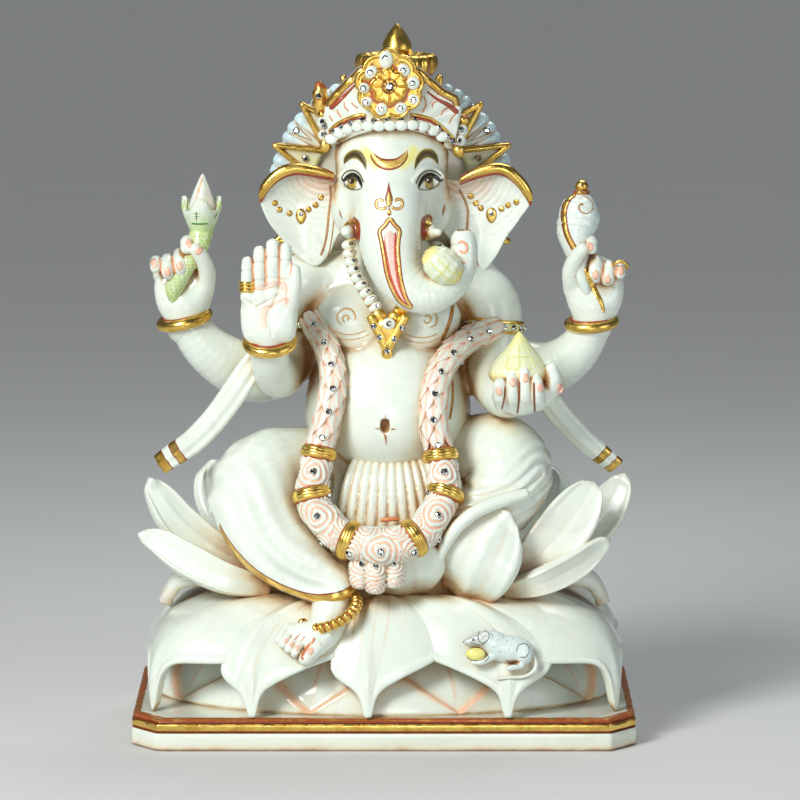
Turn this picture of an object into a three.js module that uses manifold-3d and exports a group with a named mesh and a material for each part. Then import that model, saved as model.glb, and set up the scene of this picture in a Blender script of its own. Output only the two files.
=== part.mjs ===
// Seated Ganesha on a double lotus, carved marble. Millimetres, +Z up, the idol faces -Y.
import * as THREE from "three";
import { LoftGeometry } from "three/addons/geometries/LoftGeometry.js";
import { mergeVertices } from "three/addons/utils/BufferGeometryUtils.js";
import Module from "manifold-3d";

const wasm = await Module();
wasm.setup();

// ---------- driving dimensions ----------
const HEIGHT = 381;
const WIDTH = 270;
const DEPTH = 172;
const GAP = 0.3;
const CHAMFER_X = 14;
const CHAMFER_Y = 18;
const PLINTH_TOP = 17;
const BAND_BOTTOM = 10.3;
const BAND_THICK = 2.4;
const LOTUS_SQUASH = 0.63;
const HALO_R = 68;
const HALO_Z = 286;
const HALO_X = 4;
const BANGLE_TUBE = 2.7;
const FINGER_R = 3.7;
const SIDES = 10;
const FINGER_SIDES = 6;
const SMOOTHING = 0.08;

const MARBLE = 0xdfe8df;
const GOLD = 0xc79a3a;
const PEACH = 0xeed0be;
const GREEN = 0x9fc46a;
const YELLOW = 0xdfe39a;
const BLUE = 0xbcd3da;

// ---------- turning geometry into solids ----------
function solid(geometry) {
  const bare = new THREE.BufferGeometry();
  bare.setAttribute("position", geometry.getAttribute("position"));
  bare.setIndex(geometry.index);
  const welded = mergeVertices(bare, 1e-3);
  const corners = new Float32Array(welded.attributes.position.array);
  const faces = [];
  for (let i = 0; i < welded.index.count; i += 3) {
    const [a, b, c] = [0, 1, 2].map((k) => welded.index.getX(i + k));
    if (a !== b && b !== c && c !== a) faces.push(a, b, c);
  }
  const make = (list) => {
    const mesh = new wasm.Mesh({ numProp: 3, vertProperties: corners, triVerts: new Uint32Array(list) });
    return new wasm.Manifold(mesh);
  };
  const body = make(faces);
  if (body.volume() > 0) return body;
  for (let i = 0; i < faces.length; i += 3) {
    [faces[i], faces[i + 1]] = [faces[i + 1], faces[i]];
  }
  return make(faces);
}

const join = (list) => list.reduce((all, next) => all.add(next));

function biggest(body) {
  const parts = body.decompose();
  return parts.reduce((best, next) => (next.volume() > best.volume() ? next : best));
}

// ---------- shapes ----------
function spline(values, t) {
  const span = t * (values.length - 1);
  const i = Math.min(Math.floor(span), values.length - 2);
  const u = span - i;
  const at = (k) => values[Math.max(0, Math.min(values.length - 1, k))];
  const [a, b, c, d] = [at(i - 1), at(i), at(i + 1), at(i + 2)];
  const slopeB = (c - a) / 2;
  const slopeC = (d - b) / 2;
  const u2 = u * u;
  const u3 = u2 * u;
  return b * (2 * u3 - 3 * u2 + 1) + slopeB * (u3 - 2 * u2 + u) + c * (3 * u2 - 2 * u3) + slopeC * (u3 - u2);
}

function trackAlong(stations, steps) {
  const pick = (k) => stations.map((s) => s[k]);
  const rows = [];
  for (let i = 0; i <= steps; i += 1) {
    const t = i / steps;
    rows.push(stations[0].map((_, k) => spline(pick(k), t)));
  }
  return rows.map((row, i) => {
    const before = rows[Math.max(0, i - 1)];
    const after = rows[Math.min(rows.length - 1, i + 1)];
    const along = new THREE.Vector3(after[0] - before[0], after[1] - before[1], after[2] - before[2]);
    return { at: new THREE.Vector3(row[0], row[1], row[2]), along: along.normalize(), sizes: row.slice(3) };
  });
}

// a round limb through stations [x, y, z, radius], closed with domed ends
function limb(stations, grow = 0, sides = SIDES, perSpan = 1) {
  const track = trackAlong(stations, (stations.length - 1) * perSpan);
  let side = new THREE.Vector3(0.31, 0.22, 0.93).cross(track[0].along).normalize();
  const sections = [];
  const ring = (centre, along, radius) => {
    side = side.clone().addScaledVector(along, -side.dot(along)).normalize();
    const other = new THREE.Vector3().crossVectors(along, side);
    const points = [];
    for (let k = 0; k < sides; k += 1) {
      const a = (k / sides) * Math.PI * 2;
      const out = side.clone().multiplyScalar(Math.cos(a)).addScaledVector(other, Math.sin(a));
      points.push(centre.clone().addScaledVector(out, radius));
    }
    sections.push(points);
  };
  const dome = sides > 8 ? [1.25, 0.65] : [0.95];
  const first = track[0];
  const last = track[track.length - 1];
  const r0 = first.sizes[0] + grow;
  const r1 = last.sizes[0] + grow;
  for (const a of dome) {
    ring(first.at.clone().addScaledVector(first.along, -r0 * Math.sin(a)), first.along, r0 * Math.cos(a));
  }
  for (const step of track) ring(step.at, step.along, step.sizes[0] + grow);
  for (const a of [...dome].reverse()) {
    ring(last.at.clone().addScaledVector(last.along, r1 * Math.sin(a)), last.along, r1 * Math.cos(a));
  }
  return solid(new LoftGeometry(sections, { capStart: true, capEnd: true }));
}

// a flattened, cupped strip through stations [x, y, z, half width, half thickness]
function ribbon(stations, across, { cup = 0, grow = 0, points = 10, perSpan = 1 } = {}) {
  const track = trackAlong(stations, (stations.length - 1) * perSpan);
  const sections = track.map((step, i) => {
    const side = across.clone().addScaledVector(step.along, -across.dot(step.along)).normalize();
    const up = new THREE.Vector3().crossVectors(step.along, side);
    const end = i === 0 ? -1 : i === track.length - 1 ? 1 : 0;
    const centre = step.at.clone().addScaledVector(step.along, end * grow);
    const halfWidth = step.sizes[0] + grow;
    const halfThick = step.sizes[1] + grow;
    const ring = [];
    for (let k = 0; k < points; k += 1) {
      const a = (k / points) * Math.PI * 2;
      const u = Math.sign(Math.cos(a)) * Math.abs(Math.cos(a)) ** 0.8;
      const v = Math.sign(Math.sin(a)) * Math.abs(Math.sin(a)) ** 0.8;
      const lift = cup * u * u * (halfWidth / 20);
      ring.push(centre.clone().addScaledVector(side, u * halfWidth).addScaledVector(up, v * halfThick + lift));
    }
    return ring;
  });
  return solid(new LoftGeometry(sections, { capStart: true, capEnd: true }));
}

// an ellipsoid; turn is [x, y, z] degrees
function blob([x, y, z], [rx, ry, rz], { grow = 0, turn = [0, 0, 0], wide = 12, high = 8 } = {}) {
  const ball = new THREE.SphereGeometry(1, wide, high);
  ball.rotateX(Math.PI / 2);
  ball.scale(rx + grow, ry + grow, rz + grow);
  const [ax, ay, az] = turn.map(THREE.MathUtils.degToRad);
  ball.rotateX(ax).rotateY(ay).rotateZ(az);
  ball.translate(x, y, z);
  return solid(ball);
}

// a stack of level ellipses [z, x, y, half width, half depth]
function stack(levels, grow = 0, sides = 20) {
  const last = levels.length - 1;
  const sections = levels.map(([z, x, y, rx, ry], i) => {
    const lift = i === 0 ? -grow : i === last ? grow : 0;
    const ring = [];
    for (let k = 0; k < sides; k += 1) {
      const a = (k / sides) * Math.PI * 2;
      ring.push(new THREE.Vector3(x + (rx + grow) * Math.cos(a), y + (ry + grow) * Math.sin(a), z + lift));
    }
    return ring;
  });
  return solid(new LoftGeometry(sections, { capStart: true, capEnd: true }));
}

// a turned shape; profile is [radius, height] from the bottom pole to the top pole
function turned(profile, [x, y, z], { grow = 0, squash = 1, segments = 24, turn = [0, 0, 0] } = {}) {
  const last = profile.length - 1;
  const points = profile.map(([r, h], i) => {
    const lift = i === 0 || (r > 0 && h === profile[0][1]) ? -grow : 0;
    const drop = i === last || (r > 0 && h === profile[last][1]) ? grow : 0;
    return new THREE.Vector2(r > 0 ? r + grow : 0, h + lift + drop);
  });
  const body = new THREE.LatheGeometry(points, segments);
  body.rotateX(Math.PI / 2);
  body.scale(1, squash, 1);
  const [ax, ay, az] = turn.map(THREE.MathUtils.degToRad);
  body.rotateX(ax).rotateY(ay).rotateZ(az);
  body.translate(x, y, z);
  return solid(body);
}

// a flat outline standing in the XZ plane: front face at y, going back by depth
function upright(outline, y, depth, { grow = 0, tilt = 0, at = [0, 0], curved = true, cuts = 3, bevel = 0.8 } = {}) {
  const dots = outline.map(([px, pz]) => new THREE.Vector2(px, pz));
  const loop = curved ? new THREE.SplineCurve([...dots, dots[0]]).getPoints(dots.length * cuts) : dots;
  if (curved) loop.pop();
  const body = new THREE.ExtrudeGeometry(new THREE.Shape(loop), {
    depth: depth + 2 * grow,
    steps: 1,
    bevelEnabled: bevel > 0 || grow > 0,
    bevelThickness: bevel,
    bevelSize: bevel,
    bevelOffset: grow - bevel,
    bevelSegments: 1,
  });
  body.translate(0, 0, -grow);
  body.rotateX(Math.PI / 2);
  body.translate(0, depth, 0);
  body.rotateX(THREE.MathUtils.degToRad(tilt));
  body.translate(at[0], y, at[1]);
  return solid(body);
}

// a block with cut corners, from z0 to z1
function corneredBlock(width, depth, z0, z1, grow = 0) {
  const [w, d] = [width / 2 + grow, depth / 2 + grow];
  const outline = [
    [w - CHAMFER_X, -d], [w, -d + CHAMFER_Y], [w, d - CHAMFER_Y], [w - CHAMFER_X, d],
    [-w + CHAMFER_X, d], [-w, d - CHAMFER_Y], [-w, -d + CHAMFER_Y], [-w + CHAMFER_X, -d],
  ];
  const shape = new THREE.Shape(outline.map(([x, y]) => new THREE.Vector2(x, y)));
  const body = new THREE.ExtrudeGeometry(shape, { depth: z1 - z0 + 2 * grow, bevelEnabled: false });
  body.translate(0, 0, z0 - grow);
  return solid(body);
}

// a ring of round section about an axis
function hoop([x, y, z], radius, tube, axis, { grow = 0, squash = 1, around = 18, section = 5 } = {}) {
  const body = new THREE.TorusGeometry(radius, tube + grow, section, around);
  body.scale(1, squash, 1);
  const facing = new THREE.Quaternion().setFromUnitVectors(
    new THREE.Vector3(0, 0, 1),
    new THREE.Vector3(...axis).normalize(),
  );
  body.applyQuaternion(facing);
  body.translate(x, y, z);
  return solid(body);
}

// ---------- the list of pieces, most important first ----------
const pieces = [];
const piece = (name, colour, build) => pieces.push({ name, colour, build });

piece("plinth", MARBLE, (g) => {
  const lower = corneredBlock(WIDTH, DEPTH, 0, BAND_BOTTOM - GAP, g);
  const upper = corneredBlock(WIDTH - 2 * BAND_THICK, DEPTH - 2 * BAND_THICK, 5, PLINTH_TOP, g);
  return lower.add(upper);
});

piece("plinth_band", GOLD, (g) => {
  const inset = 2 * (BAND_THICK - GAP);
  const outer = corneredBlock(WIDTH - 0.8, DEPTH - 0.8, BAND_BOTTOM, PLINTH_TOP, g);
  return outer.subtract(corneredBlock(WIDTH - inset, DEPTH - inset, 0, PLINTH_TOP + 5, -g));
});

piece("torso", MARBLE, (g) => {
  const trunk = stack([
    [104, 0, 4, 40, 30], [112, 0, 4, 47, 36], [128, 0, 2, 49, 38], [145, 1, -1, 43, 36],
    [162, 2, -3, 41, 38], [178, 2, -4, 41.5, 39.5], [193, 2, -3, 39, 36], [207, 2, 0, 38, 30],
    [222, 2, 3, 43, 27], [236, 2, 4, 45, 25], [247, 3, 5, 38, 22], [256, 3, 4, 25, 20],
    [272, 4, 3, 20, 17],
  ], g, 20);
  return trunk;
});

const TUSKS = [
  [[-13, -22, 276, 5], [-17, -34, 273.5, 4.4], [-20, -40, 272.8, 3.4]],
  [[17, -22, 276, 5], [23, -34, 272.5, 4.2], [28.5, -43, 272, 2.4]],
];

piece("head", MARBLE, (g) => join([
  blob([4, -2, 302], [29.5, 29, 33], { grow: g, wide: 18, high: 10 }),
  blob([-13, -14, 283], [14, 14, 18], { grow: g, wide: 10, high: 6 }),
  blob([21, -14, 283], [14, 14, 18], { grow: g, wide: 10, high: 6 }),
  limb([
    [4, -20, 303, 20], [4, -29, 288, 20.5], [3.2, -38, 272, 18], [5, -46, 257, 14.8],
    [11, -51, 245.5, 12.4], [23, -53, 240.5, 10.8], [35, -52, 246, 9.4], [41.5, -50, 256, 8.2],
    [42.5, -48, 265, 7.2],
  ], g, 12),
  ...TUSKS.map((path) => limb(path, g, 7)),
]));

// ---------- legs and feet ----------
piece("right_leg", MARBLE, (g) => limb([
  [-20, 6, 136, 24], [-44, -8, 137, 26], [-62, -20, 137, 26.8], [-69, -32, 127, 26.2],
  [-64, -42, 112, 23.5], [-50, -50, 98, 18.5], [-34, -57, 87, 13.5],
], g, 14));

piece("left_leg", MARBLE, (g) => limb([
  [22, 6, 138, 24], [44, -6, 142, 25.5], [62, -16, 146, 25.2], [67, -27, 138, 22.8],
  [57, -37, 124, 19.8], [38, -44, 113, 16], [16, -48, 104, 11],
], g, 14));

piece("right_foot", MARBLE, (g) => {
  const toes = [0, 1, 2, 3, 4].map((i) => {
    const x = -33.5 - 4.9 * i;
    const y = -82.2 + 1.3 * i;
    const big = i === 0 ? 3.4 : 2.7 - 0.12 * i;
    return limb([[x + 2.4, y + 7.5, 60 - 0.6 * i, big], [x, y + 2.5, 55.5 - 0.9 * i, big - 0.3]], g, FINGER_SIDES);
  });
  return join([
    limb([[-27, -59, 82, 11], [-29.5, -63.5, 73, 11], [-36, -70, 64, 10.5], [-42, -75, 59.5, 8.5]], g, 10),
    ...toes,
  ]);
});

// ---------- arms ----------
piece("rear_right_arm", MARBLE, (g) => limb([
  [-36, 14, 240, 14], [-43, 13, 216, 15], [-52, 11, 196, 16], [-68, 8, 188, 15.6], [-84, 2, 195, 14.6],
  [-97, -3, 206, 12.4], [-104.5, -5, 217, 10.8],
], g, 16));

piece("rear_left_arm", MARBLE, (g) => limb([
  [44, 14, 240, 14], [51, 13, 216, 15], [60, 11, 199, 16], [76, 8, 192, 15.2], [92, 3, 193, 14],
  [104, -3, 202, 12], [110, -5, 213, 10.8],
], g, 16));

piece("front_right_arm", MARBLE, (g) => limb([
  [-44, 4, 241, 14], [-55, 3, 226, 15], [-56, 1, 209, 14.2], [-55, -6, 195, 13.4], [-57, -22, 192, 12],
  [-60, -38, 201, 10.4], [-61, -45, 209, 9.6],
], g, 16));

piece("front_left_arm", MARBLE, (g) => limb([
  [48, 4, 241, 14], [59, 3, 226, 15.5], [59, 0, 207, 14.6], [58, -8, 191, 13.6], [64, -24, 182, 12],
  [71, -38, 184, 10.6],
], g, 16));

// ---------- hands ----------
function raisedFinger(x, base, top, r, g) {
  return limb([[x * 0.98, -50, base, r], [x, -52, (base + top) / 2, r], [x, -53, top - r, r - 0.5]], g, FINGER_SIDES);
}

piece("front_right_hand", MARBLE, (g) => join([
  limb([[-60.7, -46, 212, 9.6], [-61, -49, 222, 11]], g, 8),
  blob([-61, -49.5, 230], [15.6, 8.2, 17.4], { grow: g, wide: 10, high: 7 }),
  raisedFinger(-73, 236, 262.4, FINGER_R - 0.3, g),
  raisedFinger(-66.7, 238, 268, FINGER_R, g),
  raisedFinger(-59.9, 238, 272, FINGER_R, g),
  raisedFinger(-53.4, 238, 269.4, FINGER_R, g),
  limb([[-52, -50, 227, 4.6], [-48.6, -53, 240, 3.9], [-48, -54, 252.5, 3.3]], g, FINGER_SIDES),
]));

// a closed hand holding a stalk; mirror is +1 with the thumb toward the body, x0 the palm centre
function fist(x0, mirror, g) {
  const at = (dx) => x0 + mirror * dx;
  const fingers = [0, 1, 2].map((i) => limb([
    [at(-3.5 - 5.6 * i), -10, 258 - 2.2 * i, 4.2 - 0.35 * i],
    [at(-4.5 - 5.4 * i), -18, 255 - 2.2 * i, 4 - 0.35 * i],
    [at(-3.5 - 5 * i), -19.5, 246.5 - 0.5 * i, 3.6 - 0.35 * i],
  ], g, FINGER_SIDES));
  return join([
    limb([[at(1), -6, 219, 10.8], [at(1), -7, 231, 13]], g, 8),
    blob([at(0), -7, 239], [15.7, 10.2, 17.4], { grow: g, wide: 10, high: 7 }),
    ...fingers,
    limb([[at(10), -9, 240, 5], [at(12), -15, 254, 4.4], [at(6), -19, 263, 3.8]], g, FINGER_SIDES),
    limb([[at(4), -8, 252, 4.4], [at(2), -11, 265, 4], [at(1.5), -16, 269, 3.4]], g, FINGER_SIDES),
  ]);
}

piece("rear_right_hand", MARBLE, (g) => fist(-108, 1, g));
piece("rear_left_hand", MARBLE, (g) => fist(111.5, -1, g));

piece("front_left_hand", MARBLE, (g) => {
  const fingers = [0, 1, 2, 3].map((i) => {
    const x = 63.2 + 6.5 * i;
    const top = [196, 200.5, 202.5, 198][i];
    return limb([[x, -53, 183, 4.2], [x - 0.3, -58.5, 191, 3.9], [x - 0.6, -58.6, top - 3.4, 3.3]], g, FINGER_SIDES);
  });
  return join([
    blob([73, -46, 185], [15.7, 12.2, 9.6], { grow: g, wide: 10, high: 7 }),
    ...fingers,
    limb([[86, -48, 186, 5.2], [89.2, -50, 194, 4.4], [88.5, -51, 200, 3.6]], g, FINGER_SIDES),
  ]);
});

// ---------- lotus ----------
piece("lotus_core", MARBLE, (g) => turned([
  [0, 17.3], [106, 17.3], [101, 30], [86, 52], [73, 76], [80, 91], [88, 103], [0, 103],
], [0, 0, 0], { grow: g, squash: LOTUS_SQUASH, segments: 28 }));

const LOWER_FALL = [80, 75.5, 66, 52, 34, 17.6];
const LOWER_RUN = [0, 0.33, 0.63, 0.84, 0.955, 1];

function lowerPetal([x0, y0], [x1, y1], halves, falls = LOWER_FALL) {
  const across = new THREE.Vector3(y0 - y1, x1 - x0, 0).normalize();
  return (g) => ribbon(
    LOWER_RUN.map((s, i) => [
      x0 + (x1 - x0) * s, y0 + (y1 - y0) * s, falls[i], halves[i], 4.6 - 0.3 * i,
    ]),
    across, { cup: -2.5, grow: g },
  );
}

const WIDE = [26, 36, 38, 30, 10, 3.4];
const FRONT_HALF = [24, 32, 32, 24, 8, 3.2];
piece("lower_petal_front", MARBLE, lowerPetal([0, -42], [0, -82], FRONT_HALF));
piece("lower_petal_front_right", MARBLE, lowerPetal([-34, -38], [-64, -75], WIDE));
piece("lower_petal_front_left", MARBLE, lowerPetal([34, -38], [64, -75], WIDE));
piece("lower_petal_corner_right", MARBLE, lowerPetal([-62, -30], [-126, -61], WIDE));
piece("lower_petal_corner_left", MARBLE, lowerPetal([62, -30], [126, -61], WIDE));

function curledPetal(mirror) {
  const across = new THREE.Vector3(0, 1, 0);
  return (g) => ribbon([
    [66 * mirror, 4, 74, 24, 4.4], [88 * mirror, 4, 82, 27, 3.8], [106 * mirror, 4, 80, 23, 3.4],
    [116 * mirror, 3, 71, 14, 3], [119 * mirror, 3, 61, 7, 2.6],
  ], across, { cup: mirror * -2, grow: g });
}

piece("lower_petal_side_right", MARBLE, curledPetal(-1));
piece("lower_petal_side_left", MARBLE, curledPetal(1));
piece("lower_petal_back", MARBLE, lowerPetal([0, 42], [0, 82], WIDE.map((w) => w * 1.15)));
piece("lower_petal_back_right", MARBLE, lowerPetal([-52, 32], [-117, 66], WIDE));
piece("lower_petal_back_left", MARBLE, lowerPetal([52, 32], [117, 66], WIDE));

// an upper petal rises from its foot, leans out and turns its tip over; facing is where its outside looks
function upperPetal(foot, belly, tip, half, facing, grip = 4) {
  const spine = new THREE.Vector3(tip[0] - foot[0], tip[1] - foot[1], tip[2] - foot[2]).normalize();
  const across = new THREE.Vector3(facing[0], facing[1], 0).normalize().cross(spine);
  const mix = (a, b, t) => a.map((v, k) => v + (b[k] - v) * t);
  const near = mix(foot, belly, 0.5);
  const far = mix(belly, tip, 0.6);
  return (g) => ribbon([
    [...foot, half * 0.6, grip], [...near, half * 0.9, grip], [...belly, half, grip * 0.95],
    [...far, half * 0.72, grip * 0.85], [...tip, half * 0.2, grip * 0.6],
  ], across, { cup: 5, grow: g, perSpan: 2 });
}

piece("upper_petal_front", MARBLE, upperPetal([6, -48, 78], [6, -60, 95], [4, -67, 112], 21, [0, -1]));
piece("upper_petal_front_left", MARBLE,
  upperPetal([38, -46, 80], [50, -58, 106], [66, -58, 137], 21, [0.2, -1]));
piece("upper_petal_left_low", MARBLE,
  upperPetal([62, -36, 80], [84, -44, 92], [108, -38, 113], 18, [0.3, -0.9]));
piece("upper_petal_left_mid", MARBLE,
  upperPetal([58, -24, 90], [80, -30, 112], [101, -26, 137], 19, [0.4, -0.8]));
piece("upper_petal_left_outer", MARBLE,
  upperPetal([72, -8, 84], [98, -8, 108], [121, -2, 136], 20, [0.75, -0.6]));
piece("upper_petal_right_outer", MARBLE,
  upperPetal([-72, -8, 84], [-100, -10, 108], [-123, -10, 133], 20, [-0.75, -0.6]));
piece("upper_petal_right_low", MARBLE,
  upperPetal([-64, -32, 80], [-94, -36, 90], [-126, -26, 108], 18, [-0.3, -0.9]));
piece("upper_petal_back_right", MARBLE,
  upperPetal([-50, 28, 84], [-76, 38, 106], [-95, 46, 133], 26, [-0.8, 0.6]));
piece("upper_petal_back_left", MARBLE,
  upperPetal([50, 28, 84], [74, 40, 106], [91, 50, 131], 26, [0.8, 0.6]));
piece("upper_petal_back", MARBLE, upperPetal([0, 40, 84], [0, 58, 104], [0, 70, 130], 36, [0, 1]));

// ---------- head-dress, ears and halo ----------
const RIGHT_EAR = [
  [-14, 300], [-31, 300.5], [-50, 303.5], [-60, 298], [-66.5, 288], [-63, 276], [-56, 266],
  [-48, 257], [-38, 250], [-30, 256], [-25, 266], [-16, 278],
];
const LEFT_EAR = [
  [22, 300], [42, 297], [60, 303.5], [71, 298], [79, 287], [73, 276], [66, 266],
  [60, 255], [52, 247], [43, 253], [36, 264], [26, 278],
];
const CROWN_FRONT = [
  [-30, 318], [-33, 331], [-22, 341], [-15, 352], [-9, 361], [3.2, 367], [16, 361], [22, 352],
  [30, 340], [40, 331], [38, 318], [22, 326], [4, 329], [-14, 326],
];
piece("crown", MARBLE, (g) => join([
  turned([
    [0, 314], [31.5, 314], [34.5, 320], [34.5, 330], [28.5, 336], [23, 343], [20, 352],
    [22.4, 360], [23.4, 363.4], [21.5, 366.3], [0, 366.3],
  ], [5, -2, 0], { grow: g, segments: 22 }),
  upright(CROWN_FRONT, -33, 15, { grow: g, cuts: 1, bevel: 0.5 }),
]));

piece("crown_plaque", GOLD, (g) => {
  const lobes = 9;
  const rim = [];
  for (let k = 0; k < lobes * 2; k += 1) {
    const a = (k / (lobes * 2)) * Math.PI * 2 + Math.PI / 2;
    const peak = Math.max(0, Math.cos(a - Math.PI / 2)) ** 6;
    const r = 16.5 + (k % 2 ? -1.3 : 1.3) + 3.4 * peak;
    rim.push([r * Math.cos(a), r * Math.sin(a)]);
  }
  const petals = [];
  for (let k = 0; k < 16; k += 1) {
    const a = (k / 16) * Math.PI * 2;
    const r = 8.4 + (k % 2 ? -0.9 : 0.9);
    petals.push([r * Math.cos(a), r * Math.sin(a)]);
  }
  const place = { grow: g, curved: false, at: [3.2, 349.5] };
  return join([
    upright(rim, -37, 6, place),
    upright(petals, -40, 6, place),
  ]);
});

piece("crown_finial", GOLD, (g) => turned([
  [0, 0], [5, 0], [7.4, 3.2], [7.2, 6], [5, 10], [2.2, 13.2], [0, HEIGHT - 366.3 - GAP],
], [7, -2, 366.3 + GAP], { grow: g, segments: 14 }));

piece("right_ear", MARBLE, (g) => join([
  upright(RIGHT_EAR, -7, 5, { grow: g, cuts: 2 }),
  limb([[-30, -10, 297, 3.4], [-47, -11, 299, 3.6], [-60, -10, 293, 3.2], [-65, -8, 285, 2.4]], g, 8),
]));
piece("left_ear", MARBLE, (g) => join([
  upright(LEFT_EAR, -7, 5, { grow: g, cuts: 2 }),
  limb([[40, -10, 293, 3.4], [58, -11, 299, 3.6], [71, -10, 293, 3.2], [77, -8, 285, 2.4]], g, 8),
]));

piece("halo", BLUE, (g) => {
  const scallops = 18;
  const rim = [];
  for (let k = 0; k < scallops * 2; k += 1) {
    const a = (k / (scallops * 2)) * Math.PI * 2;
    const r = HALO_R - (k % 2) * 2.2;
    rim.push([r * Math.cos(a), r * Math.sin(a)]);
  }
  const star = [];
  const leaves = 12;
  for (let k = 0; k < leaves * 2; k += 1) {
    const a = ((k + 0.5) / (leaves * 2)) * Math.PI * 2;
    const r = k % 2 === 0 ? HALO_R - 4 : 44;
    star.push([r * Math.cos(a), r * Math.sin(a)]);
  }
  const place = { grow: g, curved: false, at: [HALO_X, HALO_Z], bevel: 0.4 };
  return join([
    upright(rim, 31, 6, place),
    upright(star, 28, 5, place),
    limb([[HALO_X, 14, HALO_Z + 12, 15], [HALO_X, 21, HALO_Z + 8, 15]], g, 12),
  ]);
});

// ---------- held things ----------
piece("lotus_bud", GREEN, (g) => join([
  limb([[-110, -14, 229, 3.4], [-105, -17, 245, 5], [-101, -15, 258, 5.2], [-98.8, -11, 266, 5.4]], g, 8),
  turned([
    [0, -6], [4.6, -5.5], [6.6, -3.6], [5.2, 0], [8.6, 5], [10.6, 11], [10.2, 15], [6.4, 19], [3.4, 24], [1, 29], [0, 30],
  ], [-98.3, -10, 270.6], { grow: g, segments: 14 }),
]));

piece("conch", MARBLE, (g) => join([
  limb([
    [108, -15, 240, 3], [105, -15, 251, 4.6], [103.8, -12, 262, 7.4], [103.8, -10, 272, 9.6],
    [105, -9, 281, 9.4], [106, -8, 288, 6],
  ], g, 10),
  blob([106.3, -8, 293.4], [4, 3.6, 3.4], { grow: g, wide: 8, high: 6 }),
]));

piece("hand_modak", YELLOW, (g) => turned([
  [0, 0], [12, 0.5], [16, 4.5], [15.4, 9], [11.4, 14.5], [7, 20], [3, 25], [0, 28],
], [72.4, -45, 191], { grow: g, segments: 14 }));

piece("trunk_modak", YELLOW, (g) => blob([31.5, -60, 256.5], [12, 9.4, 9.4], {
  grow: g, turn: [0, -38, 0], wide: 12, high: 8,
}));

// ---------- dress ----------
piece("dhoti_pleats", MARBLE, (g) => {
  const folds = 5;
  const around = folds * 4;
  const fan = [[104, 34, -45], [124, 29, -42], [140, 19, -36], [154, 8, -31]];
  const sections = fan.map(([z, half, y], row) => {
    const ring = [];
    const level = z + (row === 0 ? -g : row === fan.length - 1 ? g : 0);
    for (let k = 0; k <= around; k += 1) {
      const u = (k / around) * 2 - 1;
      const ripple = (k % 4 === 0 ? -2.6 : k % 4 === 2 ? 1.6 : 0) * (half / 34);
      ring.push(new THREE.Vector3(3 + u * (half + g), y - 9 * (1 - u * u) - ripple - g, level));
    }
    ring.push(new THREE.Vector3(3 + half + g, y + 9 + g, level), new THREE.Vector3(3 - half - g, y + 9 + g, level));
    return ring;
  });
  return solid(new LoftGeometry(sections, { capStart: true, capEnd: true }));
});

// a gold ring on a garland rope swells its radius where the rope passes through it
function ringed([x0, y0, z0], [x1, y1, z1], rope) {
  return [[0, 0], [0.02, 2.2], [0.98, 2.2], [1, 0]].map(([t, swell]) => [
    x0 + (x1 - x0) * t, y0 + (y1 - y0) * t, z0 + (z1 - z0) * t, rope + swell,
  ]);
}

const STRAND_R = [
  [-38.5, -16, 221, 6.2], [-31, -27, 209, 6.4], [-27.2, -37, 193, 6.8], [-29.8, -44, 175, 7.2],
  ...ringed([-33.4, -46.4, 161.4], [-34.6, -47.4, 156.4], 7.2), [-37.6, -52, 140, 8.2],
];
const STRAND_L = [
  [59, -14, 217, 6], [46.5, -21, 212.5, 6.3], [35.3, -30, 204, 6.6], [28.4, -38, 191, 7],
  [26.4, -45, 174, 7.2], ...ringed([28.2, -47.2, 162], [29.4, -48.4, 157], 7.2), [31.6, -53, 143, 8.2],
];
const SWAG = [
  [-37, -57, 126, 8.6], ...ringed([-25, -63.6, 113.6], [-20.4, -65.4, 111], 8.4), [-11, -68, 108, 9.6],
  [-1, -69, 107, 11], [9, -68.6, 108.4, 9.6], ...ringed([16.8, -66.4, 112], [21, -64.8, 114.4], 8.4),
  [31, -58, 129, 8.6],
];
piece("garland_swag", PEACH, (g) => join([
  limb(SWAG, g, 9),
  ...[-10.5, -1, 8.5].map((x) => blob([x, -69, 92], [5.6, 5.6, 6.6], { grow: g, wide: 8, high: 6 })),
  limb([[-9, -69, 97, 4], [7, -69, 97, 4]], g, 6),
]));
piece("garland_right_strand", PEACH, (g) => limb(STRAND_R, g, 9));
piece("garland_left_strand", PEACH, (g) => limb(STRAND_L, g, 9));

piece("necklace", GOLD, (g) => join([
  limb([
    [-20, -21, 263, 3.2], [-17.5, -25, 251, 3.6], [-11, -27, 239, 4], [-4, -28, 228, 4.4],
    [1.5, -28, 220, 5.4], [8, -28, 228, 4.4], [17, -27, 239, 4], [25, -24, 251, 3.6], [28, -20, 262, 3.2],
  ], g, 10),
  limb([[1, -30, 214, 5], [0.6, -32, 205, 2.6]], g, 6),
]));

piece("scarf_right", MARBLE, (g) => ribbon([
  [-70, -30, 203, 5, 2.6], [-79, -30, 186, 5.4, 2.8], [-90, -26, 170, 5.6, 2.8],
  [-106, -21, 153, 5.8, 2.8], [-120, -16, 143, 6, 2.6],
], new THREE.Vector3(0.6, -0.2, 0.7), { grow: g }));
piece("scarf_left", MARBLE, (g) => ribbon([
  [84, -16, 186, 5, 2.6], [92, -16, 174, 5.4, 2.8], [103, -14, 163, 5.6, 2.8],
  [115, -11, 152, 5.8, 2.8], [125, -9, 142, 6, 2.6],
], new THREE.Vector3(0.6, 0.2, 0.7), { grow: g }));

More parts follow.
